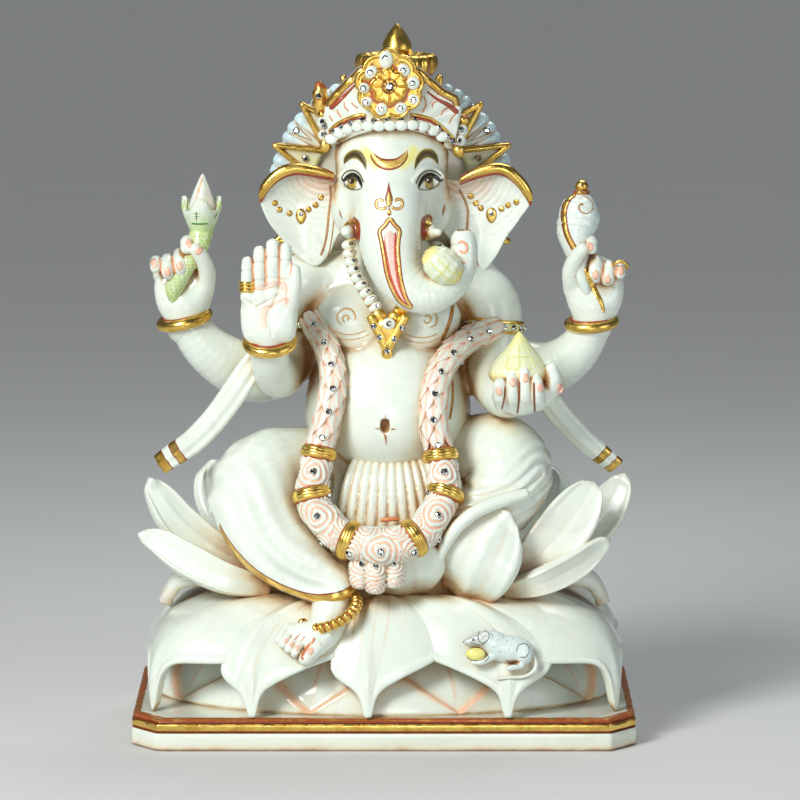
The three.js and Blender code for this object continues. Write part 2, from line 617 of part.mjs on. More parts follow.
// ---------- rings ----------
piece("rear_right_bangle", GOLD, (g) =>
  hoop([-106.2, -6, 221.4], 12.2, BANGLE_TUBE, [-0.12, -0.12, 1], { grow: g }));
piece("rear_left_bangle", GOLD, (g) =>
  hoop([112, -6, 219.4], 12.4, BANGLE_TUBE, [-0.05, -0.12, 1], { grow: g }));
piece("front_right_bangle", GOLD, (g) =>
  hoop([-60.8, -47, 214.4], 12.2, BANGLE_TUBE, [-0.05, -0.35, 0.93], { grow: g }));
piece("right_armlet", GOLD, (g) =>
  hoop([-56, 2, 218], 15.6, 2.6, [0.05, 0.1, 1], { grow: g }));
piece("left_armlet", GOLD, (g) =>
  hoop([59, 2, 217], 16, 2.6, [0, 0.1, 1], { grow: g }));
piece("anklet", GOLD, (g) =>
  hoop([-28.4, -62, 76.5], 12, 2.5, [0.28, 0.35, 1], { grow: g }));

piece("mouse", BLUE, (g) => join([
  blob([64, -78.5, 60], [12.5, 5.6, 8], { grow: g, wide: 10, high: 7 }),
  blob([48.5, -78.8, 62.5], [7.4, 4.2, 4.2], { grow: g, turn: [0, 18, 0], wide: 8, high: 6 }),
  blob([52.5, -78, 66.5], [2.8, 1.8, 2.8], { grow: g, wide: 6, high: 5 }),
  blob([50, -79, 56.5], [5, 4, 3.4], { grow: g, wide: 7, high: 5 }),
  limb([[75, -78.5, 56, 1.7], [79.5, -79.5, 50, 1.5], [74, -82, 45.5, 1.3], [64, -83.5, 43.5, 1.1]], g, 6),
]));

// ---------- carving each piece clear of the ones before it ----------
const apart = (a, b) => [0, 1, 2].some((k) => a.min[k] > b.max[k] || a.max[k] < b.min[k]);
const idol = new THREE.Group();
idol.name = "ganesha_idol";
const finished = [];
for (const { name, colour, build } of pieces) {
  let body = build(0);
  const box = body.boundingBox();
  for (const before of finished) {
    if (apart(box, before.box)) continue;
    body = body.subtract(before.grown);
  }
  body = biggest(biggest(body).simplify(SMOOTHING));
  const grown = build(GAP);
  finished.push({ grown, box: grown.boundingBox() });
  const { vertProperties, triVerts } = body.getMesh();
  const geometry = new THREE.BufferGeometry();
  geometry.setAttribute("position", new THREE.Float32BufferAttribute(vertProperties, 3));
  geometry.setIndex(new THREE.Uint32BufferAttribute(triVerts, 1));
  geometry.computeVertexNormals();
  const node = new THREE.Mesh(geometry, new THREE.MeshStandardMaterial({ color: colour, roughness: 0.35 }));
  node.name = name;
  idol.add(node);
}

export default idol;
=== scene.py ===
"""The Ganesha idol's looks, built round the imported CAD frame. Lengths in the shape code are the
object's own millimetres, and UNIT turns them into the frame's metres."""
import math

import bpy
import numpy as np
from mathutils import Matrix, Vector
from mathutils.bvhtree import BVHTree


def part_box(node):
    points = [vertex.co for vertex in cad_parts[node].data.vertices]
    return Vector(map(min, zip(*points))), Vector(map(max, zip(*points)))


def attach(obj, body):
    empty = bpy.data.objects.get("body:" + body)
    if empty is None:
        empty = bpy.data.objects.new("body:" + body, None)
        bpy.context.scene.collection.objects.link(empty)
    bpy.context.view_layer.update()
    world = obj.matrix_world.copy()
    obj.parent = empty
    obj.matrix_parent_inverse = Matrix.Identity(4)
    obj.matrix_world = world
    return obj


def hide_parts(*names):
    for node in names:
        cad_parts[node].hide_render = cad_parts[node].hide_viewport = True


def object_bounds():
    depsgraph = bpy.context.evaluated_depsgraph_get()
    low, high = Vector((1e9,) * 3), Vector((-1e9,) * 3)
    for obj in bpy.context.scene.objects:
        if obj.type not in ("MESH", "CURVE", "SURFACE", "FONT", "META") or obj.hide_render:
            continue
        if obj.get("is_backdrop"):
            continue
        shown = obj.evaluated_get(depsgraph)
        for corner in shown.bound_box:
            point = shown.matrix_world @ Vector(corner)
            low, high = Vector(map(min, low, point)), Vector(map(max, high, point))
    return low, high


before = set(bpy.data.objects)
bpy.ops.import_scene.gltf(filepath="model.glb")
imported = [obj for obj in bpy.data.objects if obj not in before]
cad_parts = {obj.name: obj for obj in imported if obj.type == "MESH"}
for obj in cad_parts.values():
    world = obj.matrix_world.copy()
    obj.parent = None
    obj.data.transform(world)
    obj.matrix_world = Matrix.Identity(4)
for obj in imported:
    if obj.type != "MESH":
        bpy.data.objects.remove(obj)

CAD_BOX = [list(map(float, c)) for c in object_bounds()]
PLINTH_LOW, PLINTH_HIGH = [np.array(c, float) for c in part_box("plinth")]
WIDTH, DEPTH, CUT_X, CUT_Y = 270.0, 172.0, 14.0, 18.0    # the plinth's sides and its cut corners
UNIT = (PLINTH_HIGH[0] - PLINTH_LOW[0]) / WIDTH
ORIGIN = np.array([(PLINTH_LOW[0] + PLINTH_HIGH[0]) / 2, (PLINTH_LOW[1] + PLINTH_HIGH[1]) / 2, PLINTH_LOW[2]])
RNG = np.random.default_rng(11)
FINE = 1.0


# ---------------------------------------------------------------- curves
def spline(rows, per=6):
    """Catmull-Rom through rows, per samples to a span."""
    p = np.asarray(rows, float)
    q = np.vstack([2 * p[0] - p[1], p, 2 * p[-1] - p[-2]])
    out = []
    for i in range(1, len(q) - 2):
        a, b, c, d = q[i - 1:i + 3]
        for t in np.arange(per) / per:
            out.append(0.5 * (2 * b + (c - a) * t + (2 * a - 5 * b + 4 * c - d) * t**2
                              + (3 * b - a - 3 * c + d) * t**3))
    return np.array(out + [p[-1]])


def evenly(points, count):
    """The polyline resampled to count points an even length apart."""
    points = np.asarray(points, float)
    run = np.r_[0, np.cumsum(np.linalg.norm(np.diff(points[:, :3], axis=0), axis=1))]
    at = np.linspace(0, run[-1], count)
    return np.stack([np.interp(at, run, points[:, k]) for k in range(points.shape[1])], 1)


def unit(v):
    """v, or each of its rows, at length 1."""
    v = np.asarray(v, float)
    return v / np.maximum(np.linalg.norm(v, axis=-1, keepdims=True), 1e-9)


def step01(x, a, b):
    """0 below a, 1 above b, and eased between."""
    t = np.clip((x - a) / (b - a), 0, 1)
    return t * t * (3 - 2 * t)


# ---------------------------------------------------------------- distance fields, in millimetres
def ball(p, c, r, tilt=None):
    """An ellipsoid of radii r, turned by tilt degrees."""
    q = p - np.array(c, float)
    if tilt is not None:
        q = q @ turn(*tilt)
    r = np.array(r, float)
    k0 = np.linalg.norm(q / r, axis=1)
    k1 = np.linalg.norm(q / r**2, axis=1)
    return k0 * (k0 - 1) / np.maximum(k1, 1e-6)


def turn(x, y, z):
    """Rotation by degrees about X, then Y, then Z, for use as points @ turn(...)."""
    a, b, c = np.radians([x, y, z])
    rx = np.array([[1, 0, 0], [0, math.cos(a), -math.sin(a)], [0, math.sin(a), math.cos(a)]])
    ry = np.array([[math.cos(b), 0, math.sin(b)], [0, 1, 0], [-math.sin(b), 0, math.cos(b)]])
    rz = np.array([[math.cos(c), -math.sin(c), 0], [math.sin(c), math.cos(c), 0], [0, 0, 1]])
    return rz @ ry @ rx


def chain(p, stations, per=4):
    """A round limb through stations (x, y, z, radius)."""
    s = spline(stations, per)
    best = np.full(len(p), 1e6)
    for a, b in zip(s[:-1], s[1:]):
        ba = b[:3] - a[:3]
        pa = p - a[:3]
        h = np.clip(pa @ ba / max(ba @ ba, 1e-9), 0, 1)
        best = np.minimum(best, np.linalg.norm(pa - h[:, None] * ba, axis=1) - (a[3] + h * (b[3] - a[3])))
    return best


def smin(a, b, k):
    """The union of two fields, blended over k millimetres."""
    h = np.clip(0.5 + 0.5 * (b - a) / k, 0, 1)
    return b + (a - b) * h - k * h * (1 - h)


def melt(parts, k):
    out = parts[0]
    for part in parts[1:]:
        out = smin(out, part, k)
    return out


def from_line(p, line):
    """Distance in X and Z to a line drawn on the front."""
    s = spline(line, 8)
    q = p[:, (0, 2)]
    best = np.full(len(p), 1e6)
    for a, b in zip(s[:-1], s[1:]):
        ba = b - a
        pa = q - a
        h = np.clip(pa @ ba / max(ba @ ba, 1e-9), 0, 1)
        best = np.minimum(best, np.linalg.norm(pa - h[:, None] * ba, axis=1))
    return best


def groove(p, line, width, depth):
    """What to add to a field to cut a drawn line into its front."""
    return depth * np.exp(-(from_line(p, line) / width) ** 2)


# ---------------------------------------------------------------- fields to meshes
def surface(field, low, high, step):
    """Surface nets over the blocks that the surface passes through, then pulled onto the field."""
    low, high = np.array(low, float), np.array(high, float)
    block = 8
    blocks = (np.ceil((high - low) / step / block)).astype(int) + 1
    grid = np.stack(np.meshgrid(*[np.arange(n) for n in blocks], indexing="ij"), -1).reshape(-1, 3)
    rough = field(low + (grid + 0.5) * block * step)
    shape = tuple(blocks * block)
    values = np.repeat(np.repeat(np.repeat(
        np.where(rough < 0, -99.0, 99.0).reshape(blocks), block, 0), block, 1), block, 2)
    inner = np.stack(np.meshgrid(*[np.arange(block)] * 3, indexing="ij"), -1).reshape(-1, 3)
    near = grid[np.abs(rough) < step * block * 1.05 + 1.5]
    for start in range(0, len(near), 400):
        at = (near[start:start + 400, None] * block + inner[None]).reshape(-1, 3)
        values[at[:, 0], at[:, 1], at[:, 2]] = field(low + at * step)
    corner = [(i, j, k) for i in (0, 1) for j in (0, 1) for k in (0, 1)]
    full = np.zeros(tuple(s - 1 for s in shape), np.int8)
    for i, j, k in corner:
        full += values[i:shape[0] - 1 + i, j:shape[1] - 1 + j, k:shape[2] - 1 + k] < 0
    cell = np.argwhere((full > 0) & (full < 8))
    index = np.full(full.shape, -1, np.int64)
    index[tuple(cell.T)] = np.arange(len(cell))
    total, hits = np.zeros((len(cell), 3)), np.zeros(len(cell))
    for axis in range(3):
        for u, v in ((0, 0), (0, 1), (1, 0), (1, 1)):
            a = np.insert([u, v], axis, 0)
            b = np.insert([u, v], axis, 1)
            fa = values[tuple((cell + a).T)]
            fb = values[tuple((cell + b).T)]
            cross = (fa < 0) != (fb < 0)
            t = np.where(cross, fa / np.where(fa == fb, 1, fa - fb), 0)
            total += np.where(cross[:, None], a + t[:, None] * (b - a), 0)
            hits += cross
    points = low + (cell + total / hits[:, None]) * step
    faces = []
    for axis in range(3):
        u, v = [k for k in range(3) if k != axis]
        a = values[tuple(slice(0, -1) if k == axis else slice(None) for k in range(3))] < 0
        b = values[tuple(slice(1, None) if k == axis else slice(None) for k in range(3))] < 0
        edge = np.argwhere(a != b)
        edge = edge[(edge[:, u] > 0) & (edge[:, v] > 0) & (edge[:, u] < full.shape[u]) & (edge[:,
                v] < full.shape[v])]
        out = a[tuple(edge.T)]
        ring = []
        for du, dv in ((0, 0), (-1, 0), (-1, -1), (0, -1)):
            q = edge.copy()
            q[:, u] += du
            q[:, v] += dv
            ring.append(index[tuple(q.T)])
        quad = np.stack(ring, 1)
        flip = out if axis == 1 else ~out
        quad[flip] = quad[flip][:, ::-1]
        faces.append(quad)
    faces = np.vstack(faces)
    faces = faces[(faces >= 0).all(1)]
    for _ in range(2):
        value = field(points)
        slope = gradient(field, points, step * 0.3)
        size = np.maximum((slope**2).sum(1), 0.25)
        move = np.clip(value / size, -step, step)
        points = points - move[:, None] * slope
    return points, faces


def gradient(field, p, e):
    """Slope of a field at p, from points e either side."""
    out = np.empty_like(p)
    for k in range(3):
        d = np.zeros(3)
        d[k] = e
        out[:, k] = (field(p + d) - field(p - d)) / (2 * e)
    return out


# ---------------------------------------------------------------- objects
MADE = {}
NONE = {"gold": -5.0}


def add(name, points, faces, material, replaces=(), slot="marble", smooth=True, marks=None, angle=None):
    """One finished piece: its mesh, marks, material, body and the nodes it replaces. slot is not used."""
    mesh = bpy.data.meshes.new(name)
    mesh.from_pydata((np.asarray(points) * UNIT + ORIGIN).tolist(), [], [list(map(int, f)) for f in faces])
    mesh.validate()
    mesh.polygons.foreach_set("use_smooth", [smooth] * len(mesh.polygons))
    for key, values in (marks or {}).items():
        values = np.clip(np.asarray(values, float) - NONE.get(key, 0.0), 0, 10)
        mesh.attributes.new(key, "FLOAT", "POINT").data.foreach_set("value", values.astype(np.float32))
    mesh.materials.append(material)
    mesh.update()
    thing = bpy.data.objects.new(name, mesh)
    bpy.context.scene.collection.objects.link(thing)
    if angle is not None:
        bpy.context.view_layer.objects.active = thing
        thing.select_set(True)
        bpy.ops.object.shade_smooth_by_angle(angle=math.radians(angle))
        thing.select_set(False)
    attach(thing, "root")
    if replaces:
        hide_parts(*replaces)
    MADE[name] = thing
    return thing


CREASE_REACH = (1.5, 3.5, 7.0)


def crease(field, points, normals):
    """0 on open convex skin, towards 1 down in a fold of the same field."""
    out = np.zeros(len(points))
    for d in CREASE_REACH:
        out += np.clip(1 - field(points + normals * d) / d, 0, 1)
    return out / len(CREASE_REACH)


def sculpt(name, field, low, high, step, replaces, slot="marble", marks=None):
    """One carved piece from its field, with its fold darkening, ochre finish and painted shade, worked out
    from it.
    """
    points, faces = surface(field, low, high, step * FINE)
    normals = unit(gradient(field, points, 0.4))
    # darkening by how deep each point lies in a fold: partly the ochre finish, partly painted shade
    found = {"stain": np.clip(crease(field, points, normals) * 1.5 - 0.12, 0, 1)}
    for key, values in (marks(points, normals) if marks else {}).items():
        found[key] = np.maximum(found[key], values) if key == "stain" else values
    return add(name, points, faces, STONE, replaces, slot, marks=found)


class Mesh:
    """Several closed bits gathered into one object."""

    def __init__(self):
        self.points, self.faces, self.marks, self.count = [], [], {}, 0

    def put(self, points, faces, **marks):
        points = np.asarray(points, float)
        for key in set(self.marks) | set(marks):
            rows = self.marks.setdefault(key, [np.full(self.count, NONE.get(key, 0.0))])
            value = marks.get(key, NONE.get(key, 0.0))
            rows.append(np.broadcast_to(np.asarray(value, float), (len(points),)).copy())
        self.points.append(points)
        self.faces += [[int(i) + self.count for i in f] for f in faces]
        self.count += len(points)

    def done(self, name, material, replaces=(), slot="marble", **more):
        marks = {k: np.concatenate(v) for k, v in self.marks.items()}
        return add(name, np.vstack(self.points), self.faces, material, replaces, slot, marks=marks, **more)


def skin(rings, closed_ends=True, loop=False):
    """Quads over a stack of equal closed rings."""
    n, m = len(rings), len(rings[0])
    points = np.asarray(rings, float).reshape(-1, 3)
    faces = []
    for i in range(n if loop else n - 1):
        for j in range(m):
            a, b = i * m + j, i * m + (j + 1) % m
            c, d = ((i + 1) % n) * m + (j + 1) % m, ((i + 1) % n) * m + j
            faces.append([a, b, c, d])
    if closed_ends == "zip":
        for j in range(m // 2 - 1):
            faces.append([j, m - 1 - j, m - 2 - j, j + 1])
            k = (n - 1) * m
            faces.append([k + j, k + j + 1, k + m - 2 - j, k + m - 1 - j])
    elif closed_ends and not loop:
        points = np.vstack([points, rings[0].mean(0), rings[-1].mean(0)])
        faces += [[n * m, (j + 1) % m, j] for j in range(m)]
        faces += [[n * m + 1, (n - 1) * m + j, (n - 1) * m + (j + 1) % m] for j in range(m)]
    return points, faces


def frames(path):
    """Tangent, side and up along a path, carried without twist."""
    along = unit(np.gradient(path[:, :3], axis=0))
    side = unit(np.cross(along[0], (0.3, 0.2, 0.93)))
    sides = []
    for t in along:
        side = unit(side - (side @ t) * t)
        sides.append(side)
    sides = np.array(sides)
    return along, sides, np.cross(along, sides)


def tube(path, sides=10, flat=1.0, shape=None):
    """A round tube along (x, y, z, r); shape(i, angles) may scale each ring's radii."""
    path = np.asarray(path, float)
    along, side, up = frames(path)
    a = np.arange(sides) / sides * 2 * math.pi
    rings = []
    for i, row in enumerate(path):
        r = row[3] * (shape(i, a) if shape else np.ones(sides))
        rings.append(row[:3] + np.outer(np.cos(a) * r, side[i]) + np.outer(np.sin(a) * r * flat, up[i]))
    ends = [rings[0].mean(0) + (rings[0] - rings[0].mean(0)) * k - along[0] * path[0, 3] * s
            for k, s in ((0.35, 0.5), (0.8, 0.3))]
    tips = [rings[-1].mean(0) + (rings[-1] - rings[-1].mean(0)) * k + along[-1] * path[-1, 3] * s
            for k, s in ((0.8, 0.3), (0.35, 0.5))]
    return skin(np.array(ends + rings + tips))


def globe(c, r, wide=12, high=8):
    """An ellipsoid of quads and two fans."""
    lat = np.linspace(0, math.pi, high + 1)[1:-1]
    lon = np.arange(wide) / wide * 2 * math.pi
    rings = np.array([[[math.sin(a) * math.cos(b), math.sin(a) * math.sin(b), -math.cos(a)] for b in lon]
                      for a in lat])
    points, faces = skin(rings)
    points[-2], points[-1] = (0, 0, -1), (0, 0, 1)
    return points * np.array(r) + np.array(c, float), faces


def turned(profile, c, wide=32, flute=None):
    """A lathe shape from (radius, height) rows; flute(angle, row) may scale the radius."""
    a = np.arange(wide) / wide * 2 * math.pi
    rings = []
    for i, (r, h) in enumerate(profile):
        k = flute(a, i) if flute else 1.0
        rings.append(np.stack([np.cos(a) * r * k, np.sin(a) * r * k, np.full(wide, h)], 1))
    return skin(np.array(rings) + np.array(c, float))


def bvh(*names):
    """One search tree over these made pieces, in millimetres."""
    points, faces = [], []
    base = 0
    for name in names:
        mesh = MADE[name].data
        co = np.empty(len(mesh.vertices) * 3, np.float32)
        mesh.vertices.foreach_get("co", co)
        points.append((co.reshape(-1, 3) - ORIGIN) / UNIT)
        faces += [[i + base for i in f.vertices] for f in mesh.polygons]
        base += len(mesh.vertices)
    return BVHTree.FromPolygons(np.vstack(points).tolist(), faces)


# the front camera: how high it looks from, how far away it is, what it looks at, and its lens
EYE_LIFT, EYE_FAR, EYE_AT, LENS = math.radians(8), 3000.0, np.array([8.6, 0.0, 176.4]), 248.8


class View:
    """The upright plane that faces the front camera. (u, v) on it, as x and height, is thrown
    away from the camera onto the named pieces."""

    def __init__(self, *targets):
        self.tree = bvh(*targets)
        self.right = np.array([1.0, 0, 0])
        self.up = np.array([0, math.sin(EYE_LIFT), math.cos(EYE_LIFT)])
        self.eye = EYE_AT + EYE_FAR * np.array([0, -math.cos(EYE_LIFT), math.sin(EYE_LIFT)])

    def drop(self, u, v, lift=0.0):
        plane = EYE_AT + self.right * (u - EYE_AT[0]) + self.up * (v - EYE_AT[2])
        way = unit(plane - self.eye)
        hit, normal, _, _ = self.tree.ray_cast(Vector(plane - way * 500), Vector(way))
        if hit is None:
            return None, None
        normal = np.array(normal)
        if normal @ way > 0:
            normal = -normal
        return np.array(hit) + normal * lift, normal


def stroke(out, view, line, width, lift=0.22, across=4, pitch=0.9, per=8, ends=0.15, **marks):
    """A painted line: a low closed ribbon that hugs whatever it is thrown onto.
    line is (u, v) or (u, v, width factor) rows."""
    rows = np.asarray(line, float)
    if rows.shape[1] == 2:
        rows = np.c_[rows, np.ones(len(rows))]
    path = spline(rows, per) if len(rows) > 2 else rows
    length = np.linalg.norm(np.diff(path[:, :2], axis=0), axis=1).sum()
    path = evenly(path, max(3, int(length / pitch) + 1))
    along = unit(np.gradient(path[:, :2], axis=0))
    side = np.stack([-along[:, 1], along[:, 0]], 1)
    top, low = [], []
    t = np.linspace(0, 1, len(path))
    edge = np.minimum(1, np.minimum(t, 1 - t) * length / max(width, 0.1) * 2 + ends)
    last = None
    for i, (u, v, k) in enumerate(path):
        row, bottom = [], []
        for s in np.linspace(-1, 1, across + 1):
            w = s * width / 2 * k * edge[i]
            hit, normal = view.drop(u + side[i, 0] * w, v + side[i, 1] * w)
            if hit is None or (last is not None and np.linalg.norm(hit - last) > 9):
                if last is None:
                    continue
                hit, normal = last, last_normal
            last, last_normal = hit, normal
            row.append(hit + normal * lift * (1 - 0.7 * s * s))
            bottom.append(hit - normal * 0.5)
        if len(row) == across + 1:
            top.append(row)
            low.append(bottom)
    if len(top) < 3:
        return
    rings = np.array([np.vstack([a, b[::-1]]) for a, b in zip(top, low)])
    points, faces = skin(rings)
    out.put(points, faces, **marks)


def disc(out, view, u, v, ru, rv=None, tilt=0.0, lift=0.25, around=18, rows=3, shape=None, **marks):
    """A painted spot: a closed low button thrown onto the pieces."""
    rv = rv or ru
    a = np.arange(around) / around * 2 * math.pi
    k = shape(a) if shape else np.ones(around)
    ct, st = math.cos(math.radians(tilt)), math.sin(math.radians(tilt))
    rings = []
    centre, up = view.drop(u, v)
    if centre is None:
        return
    for ring in [0.12] + list(np.linspace(0.35, 1, rows)) + [1.02]:
        row = []
        for b, kk in zip(a, k):
            du, dv = math.cos(b) * ru * ring * kk, math.sin(b) * rv * ring * kk
            hit, n = view.drop(u + du * ct - dv * st, v + du * st + dv * ct)
            if hit is None or np.linalg.norm(hit - centre) > 3 * max(ru, rv) + 2:
                hit, n = centre + (view.right * (du * ct - dv * st) + view.up * (du * st + dv * ct)), up
            row.append(hit + n * (-0.5 if ring > 1 else lift * (1 - 0.6 * ring**2)))
        rings.append(row)
    points, faces = skin(np.array(rings))
    points[-2], points[-1] = centre + up * lift, centre - up * 0.5
    out.put(points, faces, **marks)


# ---------------------------------------------------------------- materials
def socket(node, name, value):
    """Set one unlinked input."""
    node.inputs[name].default_value = value


class Paint:
    """Short-hand for building a node material."""

    def __init__(self, name):
        self.material = bpy.data.materials.new(name)
        self.material.use_nodes = True
        self.tree = self.material.node_tree
        self.shader = self.tree.nodes["Principled BSDF"]
        self.place = self.new("ShaderNodeTexCoord").outputs["Object"]

    def new(self, kind, **values):
        node = self.tree.nodes.new(kind)
        for key, value in values.items():
            setattr(node, key, value)
        return node

    def link(self, a, b):
        self.tree.links.new(a, b)

    def noise(self, scale, detail=4.0, rough=0.55, twist=0.0):
        node = self.new("ShaderNodeTexNoise")
        self.link(self.place, node.inputs["Vector"])
        socket(node, "Scale", scale)
        socket(node, "Detail", detail)
        socket(node, "Roughness", rough)
        socket(node, "Distortion", twist)
        return node.outputs["Fac"]

    def mark(self, name):
        return self.new("ShaderNodeAttribute", attribute_name=name, attribute_type="GEOMETRY").outputs["Fac"]

    def fit(self, value, a, b, c=0.0, d=1.0):
        node = self.new("ShaderNodeMapRange", interpolation_type="SMOOTHSTEP")
        self.link(value, node.inputs["Value"])
        for key, v in zip(("From Min", "From Max", "To Min", "To Max"), (a, b, c, d)):
            socket(node, key, v)
        return node.outputs["Result"]

    def sum(self, kind, a, b):
        node = self.new("ShaderNodeMath", operation=kind)
        for k, v in enumerate((a, b)):
            if isinstance(v, (int, float)):
                node.inputs[k].default_value = v
            else:
                self.link(v, node.inputs[k])
        return node.outputs[0]

    def mix(self, fac, a, b, blend="MIX"):
        node = self.new("ShaderNodeMix", data_type="RGBA", blend_type=blend)
        for k, v in ((0, fac), (6, a), (7, b)):
            if isinstance(v, (int, float)):
                node.inputs[k].default_value = v
            elif isinstance(v, tuple):
                node.inputs[k].default_value = (*v, 1.0)
            else:
                self.link(v, node.inputs[k])
        return node.outputs[2]

    def mixf(self, fac, a, b):
        node = self.new("ShaderNodeMix", data_type="FLOAT")
        for k, v in ((0, fac), (2, a), (3, b)):
            if isinstance(v, (int, float)):
                node.inputs[k].default_value = v
            else:
                self.link(v, node.inputs[k])
        return node.outputs[0]

    def bump(self, height, strength, distance):
        node = self.new("ShaderNodeBump")
        self.link(height, node.inputs["Height"])
        socket(node, "Strength", strength)
        socket(node, "Distance", distance)
        self.link(node.outputs["Normal"], self.shader.inputs["Normal"])

    def set(self, **values):
        for key, value in values.items():
            name = key.replace("_", " ")
            if isinstance(value, (int, float)):
                socket(self.shader, name, value)
            elif isinstance(value, tuple):
                socket(self.shader, name, value if len(value) != 3 or name == "Subsurface Radius"
                       else (*value, 1.0))
            else:
                self.link(value, self.shader.inputs[name])
        return self


GOLD_LIGHT, GOLD_DEEP = (0.90, 0.62, 0.16), (0.62, 0.36, 0.06)
RED_DARK = (0.22, 0.035, 0.012)


def stone_material():
    """Polished white marble: faint clouding and veins, ochre and brown in the creases that is partly the
    real antique finish and partly painted shade, cream painted shade where the surface is hemmed in,
    and masks for the tints and gold leaf that were painted over it."""
    p = Paint("marble")
    cloud = p.fit(p.noise(14, 5, 0.6, 0.4), 0.35, 0.7)
    base = p.mix(cloud, (0.74, 0.81, 0.735), (0.66, 0.73, 0.65))
    vein = p.fit(p.sum("ABSOLUTE", p.sum("SUBTRACT", p.noise(9, 8, 0.62, 1.6), 0.5), 0), 0.0, 0.035, 0.30,
                 0.0)
    base = p.mix(vein, base, (0.60, 0.64, 0.58))
    speck = p.noise(420, 2, 0.5)
    # painted shade: the ambient occlusion found here turns hemmed-in skin cream
    corner = p.new("ShaderNodeAmbientOcclusion", samples=5)
    socket(corner, "Distance", 0.020)
    ao_shade = p.sum("SUBTRACT", 1.0, corner.outputs["AO"])
    base = p.mix(p.fit(ao_shade, 0.18, 0.72, 0.0, 0.66), base, (0.68, 0.60, 0.36))
    for mark, colour, low, high, top in (
            ("blue", (0.50, 0.72, 0.80), 0.0, 1.0, 0.75), ("green", (0.33, 0.55, 0.10), 0.0, 1.0, 0.95),
            ("yellow", (0.80, 0.74, 0.16), 0.0, 1.0, 0.85), ("rose", (0.86, 0.40, 0.24), 0.0, 1.0, 0.8),
            ("grey", (0.30, 0.32, 0.31), 0.0, 1.0, 0.8)):
        patchy = p.sum("MULTIPLY", p.mark(mark), p.fit(p.noise(160, 3), 0.2, 0.75, 0.7, 1.15))
        base = p.mix(p.fit(patchy, low, high, 0.0, top), base, colour)
    # the crease mark and the occlusion give ochre, then dark brown, in folds and where pieces meet: partly
    # the real ochre finish, partly painted shade
    held = p.sum("ADD", p.mark("stain"), p.fit(ao_shade, 0.34, 0.88, 0.0, 0.82))
    tint_and_shade = p.sum("MULTIPLY", held, p.fit(p.noise(90, 4, 0.6), 0.25, 0.75, 0.55, 1.25))
    base = p.mix(p.fit(tint_and_shade, 0.05, 0.8, 0.0, 0.62), base, (0.66, 0.44, 0.20), "MIX")
    base = p.mix(p.fit(tint_and_shade, 0.5, 1.05, 0.0, 0.85), base, (0.34, 0.15, 0.035))
    edge = p.sum("ADD", p.mark("gold"), NONE["gold"])
    red = p.fit(edge, -0.9, -0.6)
    base = p.mix(p.sum("MULTIPLY", red, p.fit(p.noise(300, 3), 0.2, 0.6, 0.75, 1.0)), base, RED_DARK)
    leaf = p.fit(edge, -0.12, 0.12)
    base = p.mix(leaf, base, p.mix(p.fit(p.noise(120, 4), 0.35, 0.65), GOLD_LIGHT, GOLD_DEEP))
    rough = p.fit(p.noise(60, 3), 0.3, 0.7, 0.17, 0.26)
    p.set(Base_Color=base, Roughness=p.mixf(leaf, rough, 0.3), Metallic=leaf)
    p.set(Subsurface_Weight=0.12, Subsurface_Radius=(0.0045, 0.0036, 0.0026), IOR=1.5, Coat_Weight=0.25,
          Coat_Roughness=0.12)
    p.bump(p.sum("ADD", p.noise(70, 3), p.sum("MULTIPLY", speck, 0.25)), 0.10, 0.0006)
    return p.material


def gold_material():
    """Burnished leaf over stone: bright, its tone drifting at random, and red-brown and duller where
    marked, partly as red paint and partly as painted shade at the feet of pieces and in their cuts.
    """
    p = Paint("gold_leaf")
    worn = p.fit(p.noise(95, 5, 0.65, 0.6), 0.40, 0.72)
    base = p.mix(worn, GOLD_LIGHT, GOLD_DEEP)
    # the mark read here is partly red paint and partly painted shade at the feet of pieces and in their cuts
    low = p.sum("MULTIPLY", p.mark("stain"), p.fit(p.noise(200, 3), 0.2, 0.7, 0.6, 1.2))
    base = p.mix(p.fit(low, 0.25, 0.8), base, (0.36, 0.09, 0.02))
    metal = p.fit(low, 0.3, 0.85, 1.0, 0.15)
    p.set(Base_Color=base, Metallic=metal, Roughness=p.fit(p.noise(140, 4), 0.3, 0.7, 0.20, 0.38))
    p.bump(p.noise(230, 4, 0.6), 0.22, 0.0007)
    return p.material


def paint_material(name, colour, deep, rough=0.35, metal=0.0):
    """Thin brushed paint that drifts between two tones."""
    p = Paint(name)
    tone = p.fit(p.noise(260, 4, 0.6), 0.3, 0.7)
    p.set(Base_Color=p.mix(tone, colour, deep),
          Roughness=p.fit(p.noise(400, 2), 0.3, 0.7, rough - 0.06, rough + 0.08))
    p.set(Metallic=metal, Coat_Weight=0.2, Coat_Roughness=0.15)
    p.bump(p.noise(500, 3), 0.12, 0.0003)
    return p.material


def stone_glass():
    """A foil-backed rhinestone: mirror facets under clear glass, with painted reflections as bright and dark
    patches.
    """
    p = Paint("rhinestone")
    # painted reflections: random bright and dark patches in the colour stand in for the facets' sparkle
    painted_glints = p.mix(p.fit(p.noise(850, 0), 0.46, 0.54), (0.98, 0.99, 1.0), (0.05, 0.06, 0.07))
    p.set(Base_Color=painted_glints, Metallic=0.9, Roughness=0.05, Coat_Weight=1.0, Coat_Roughness=0.02)
    return p.material


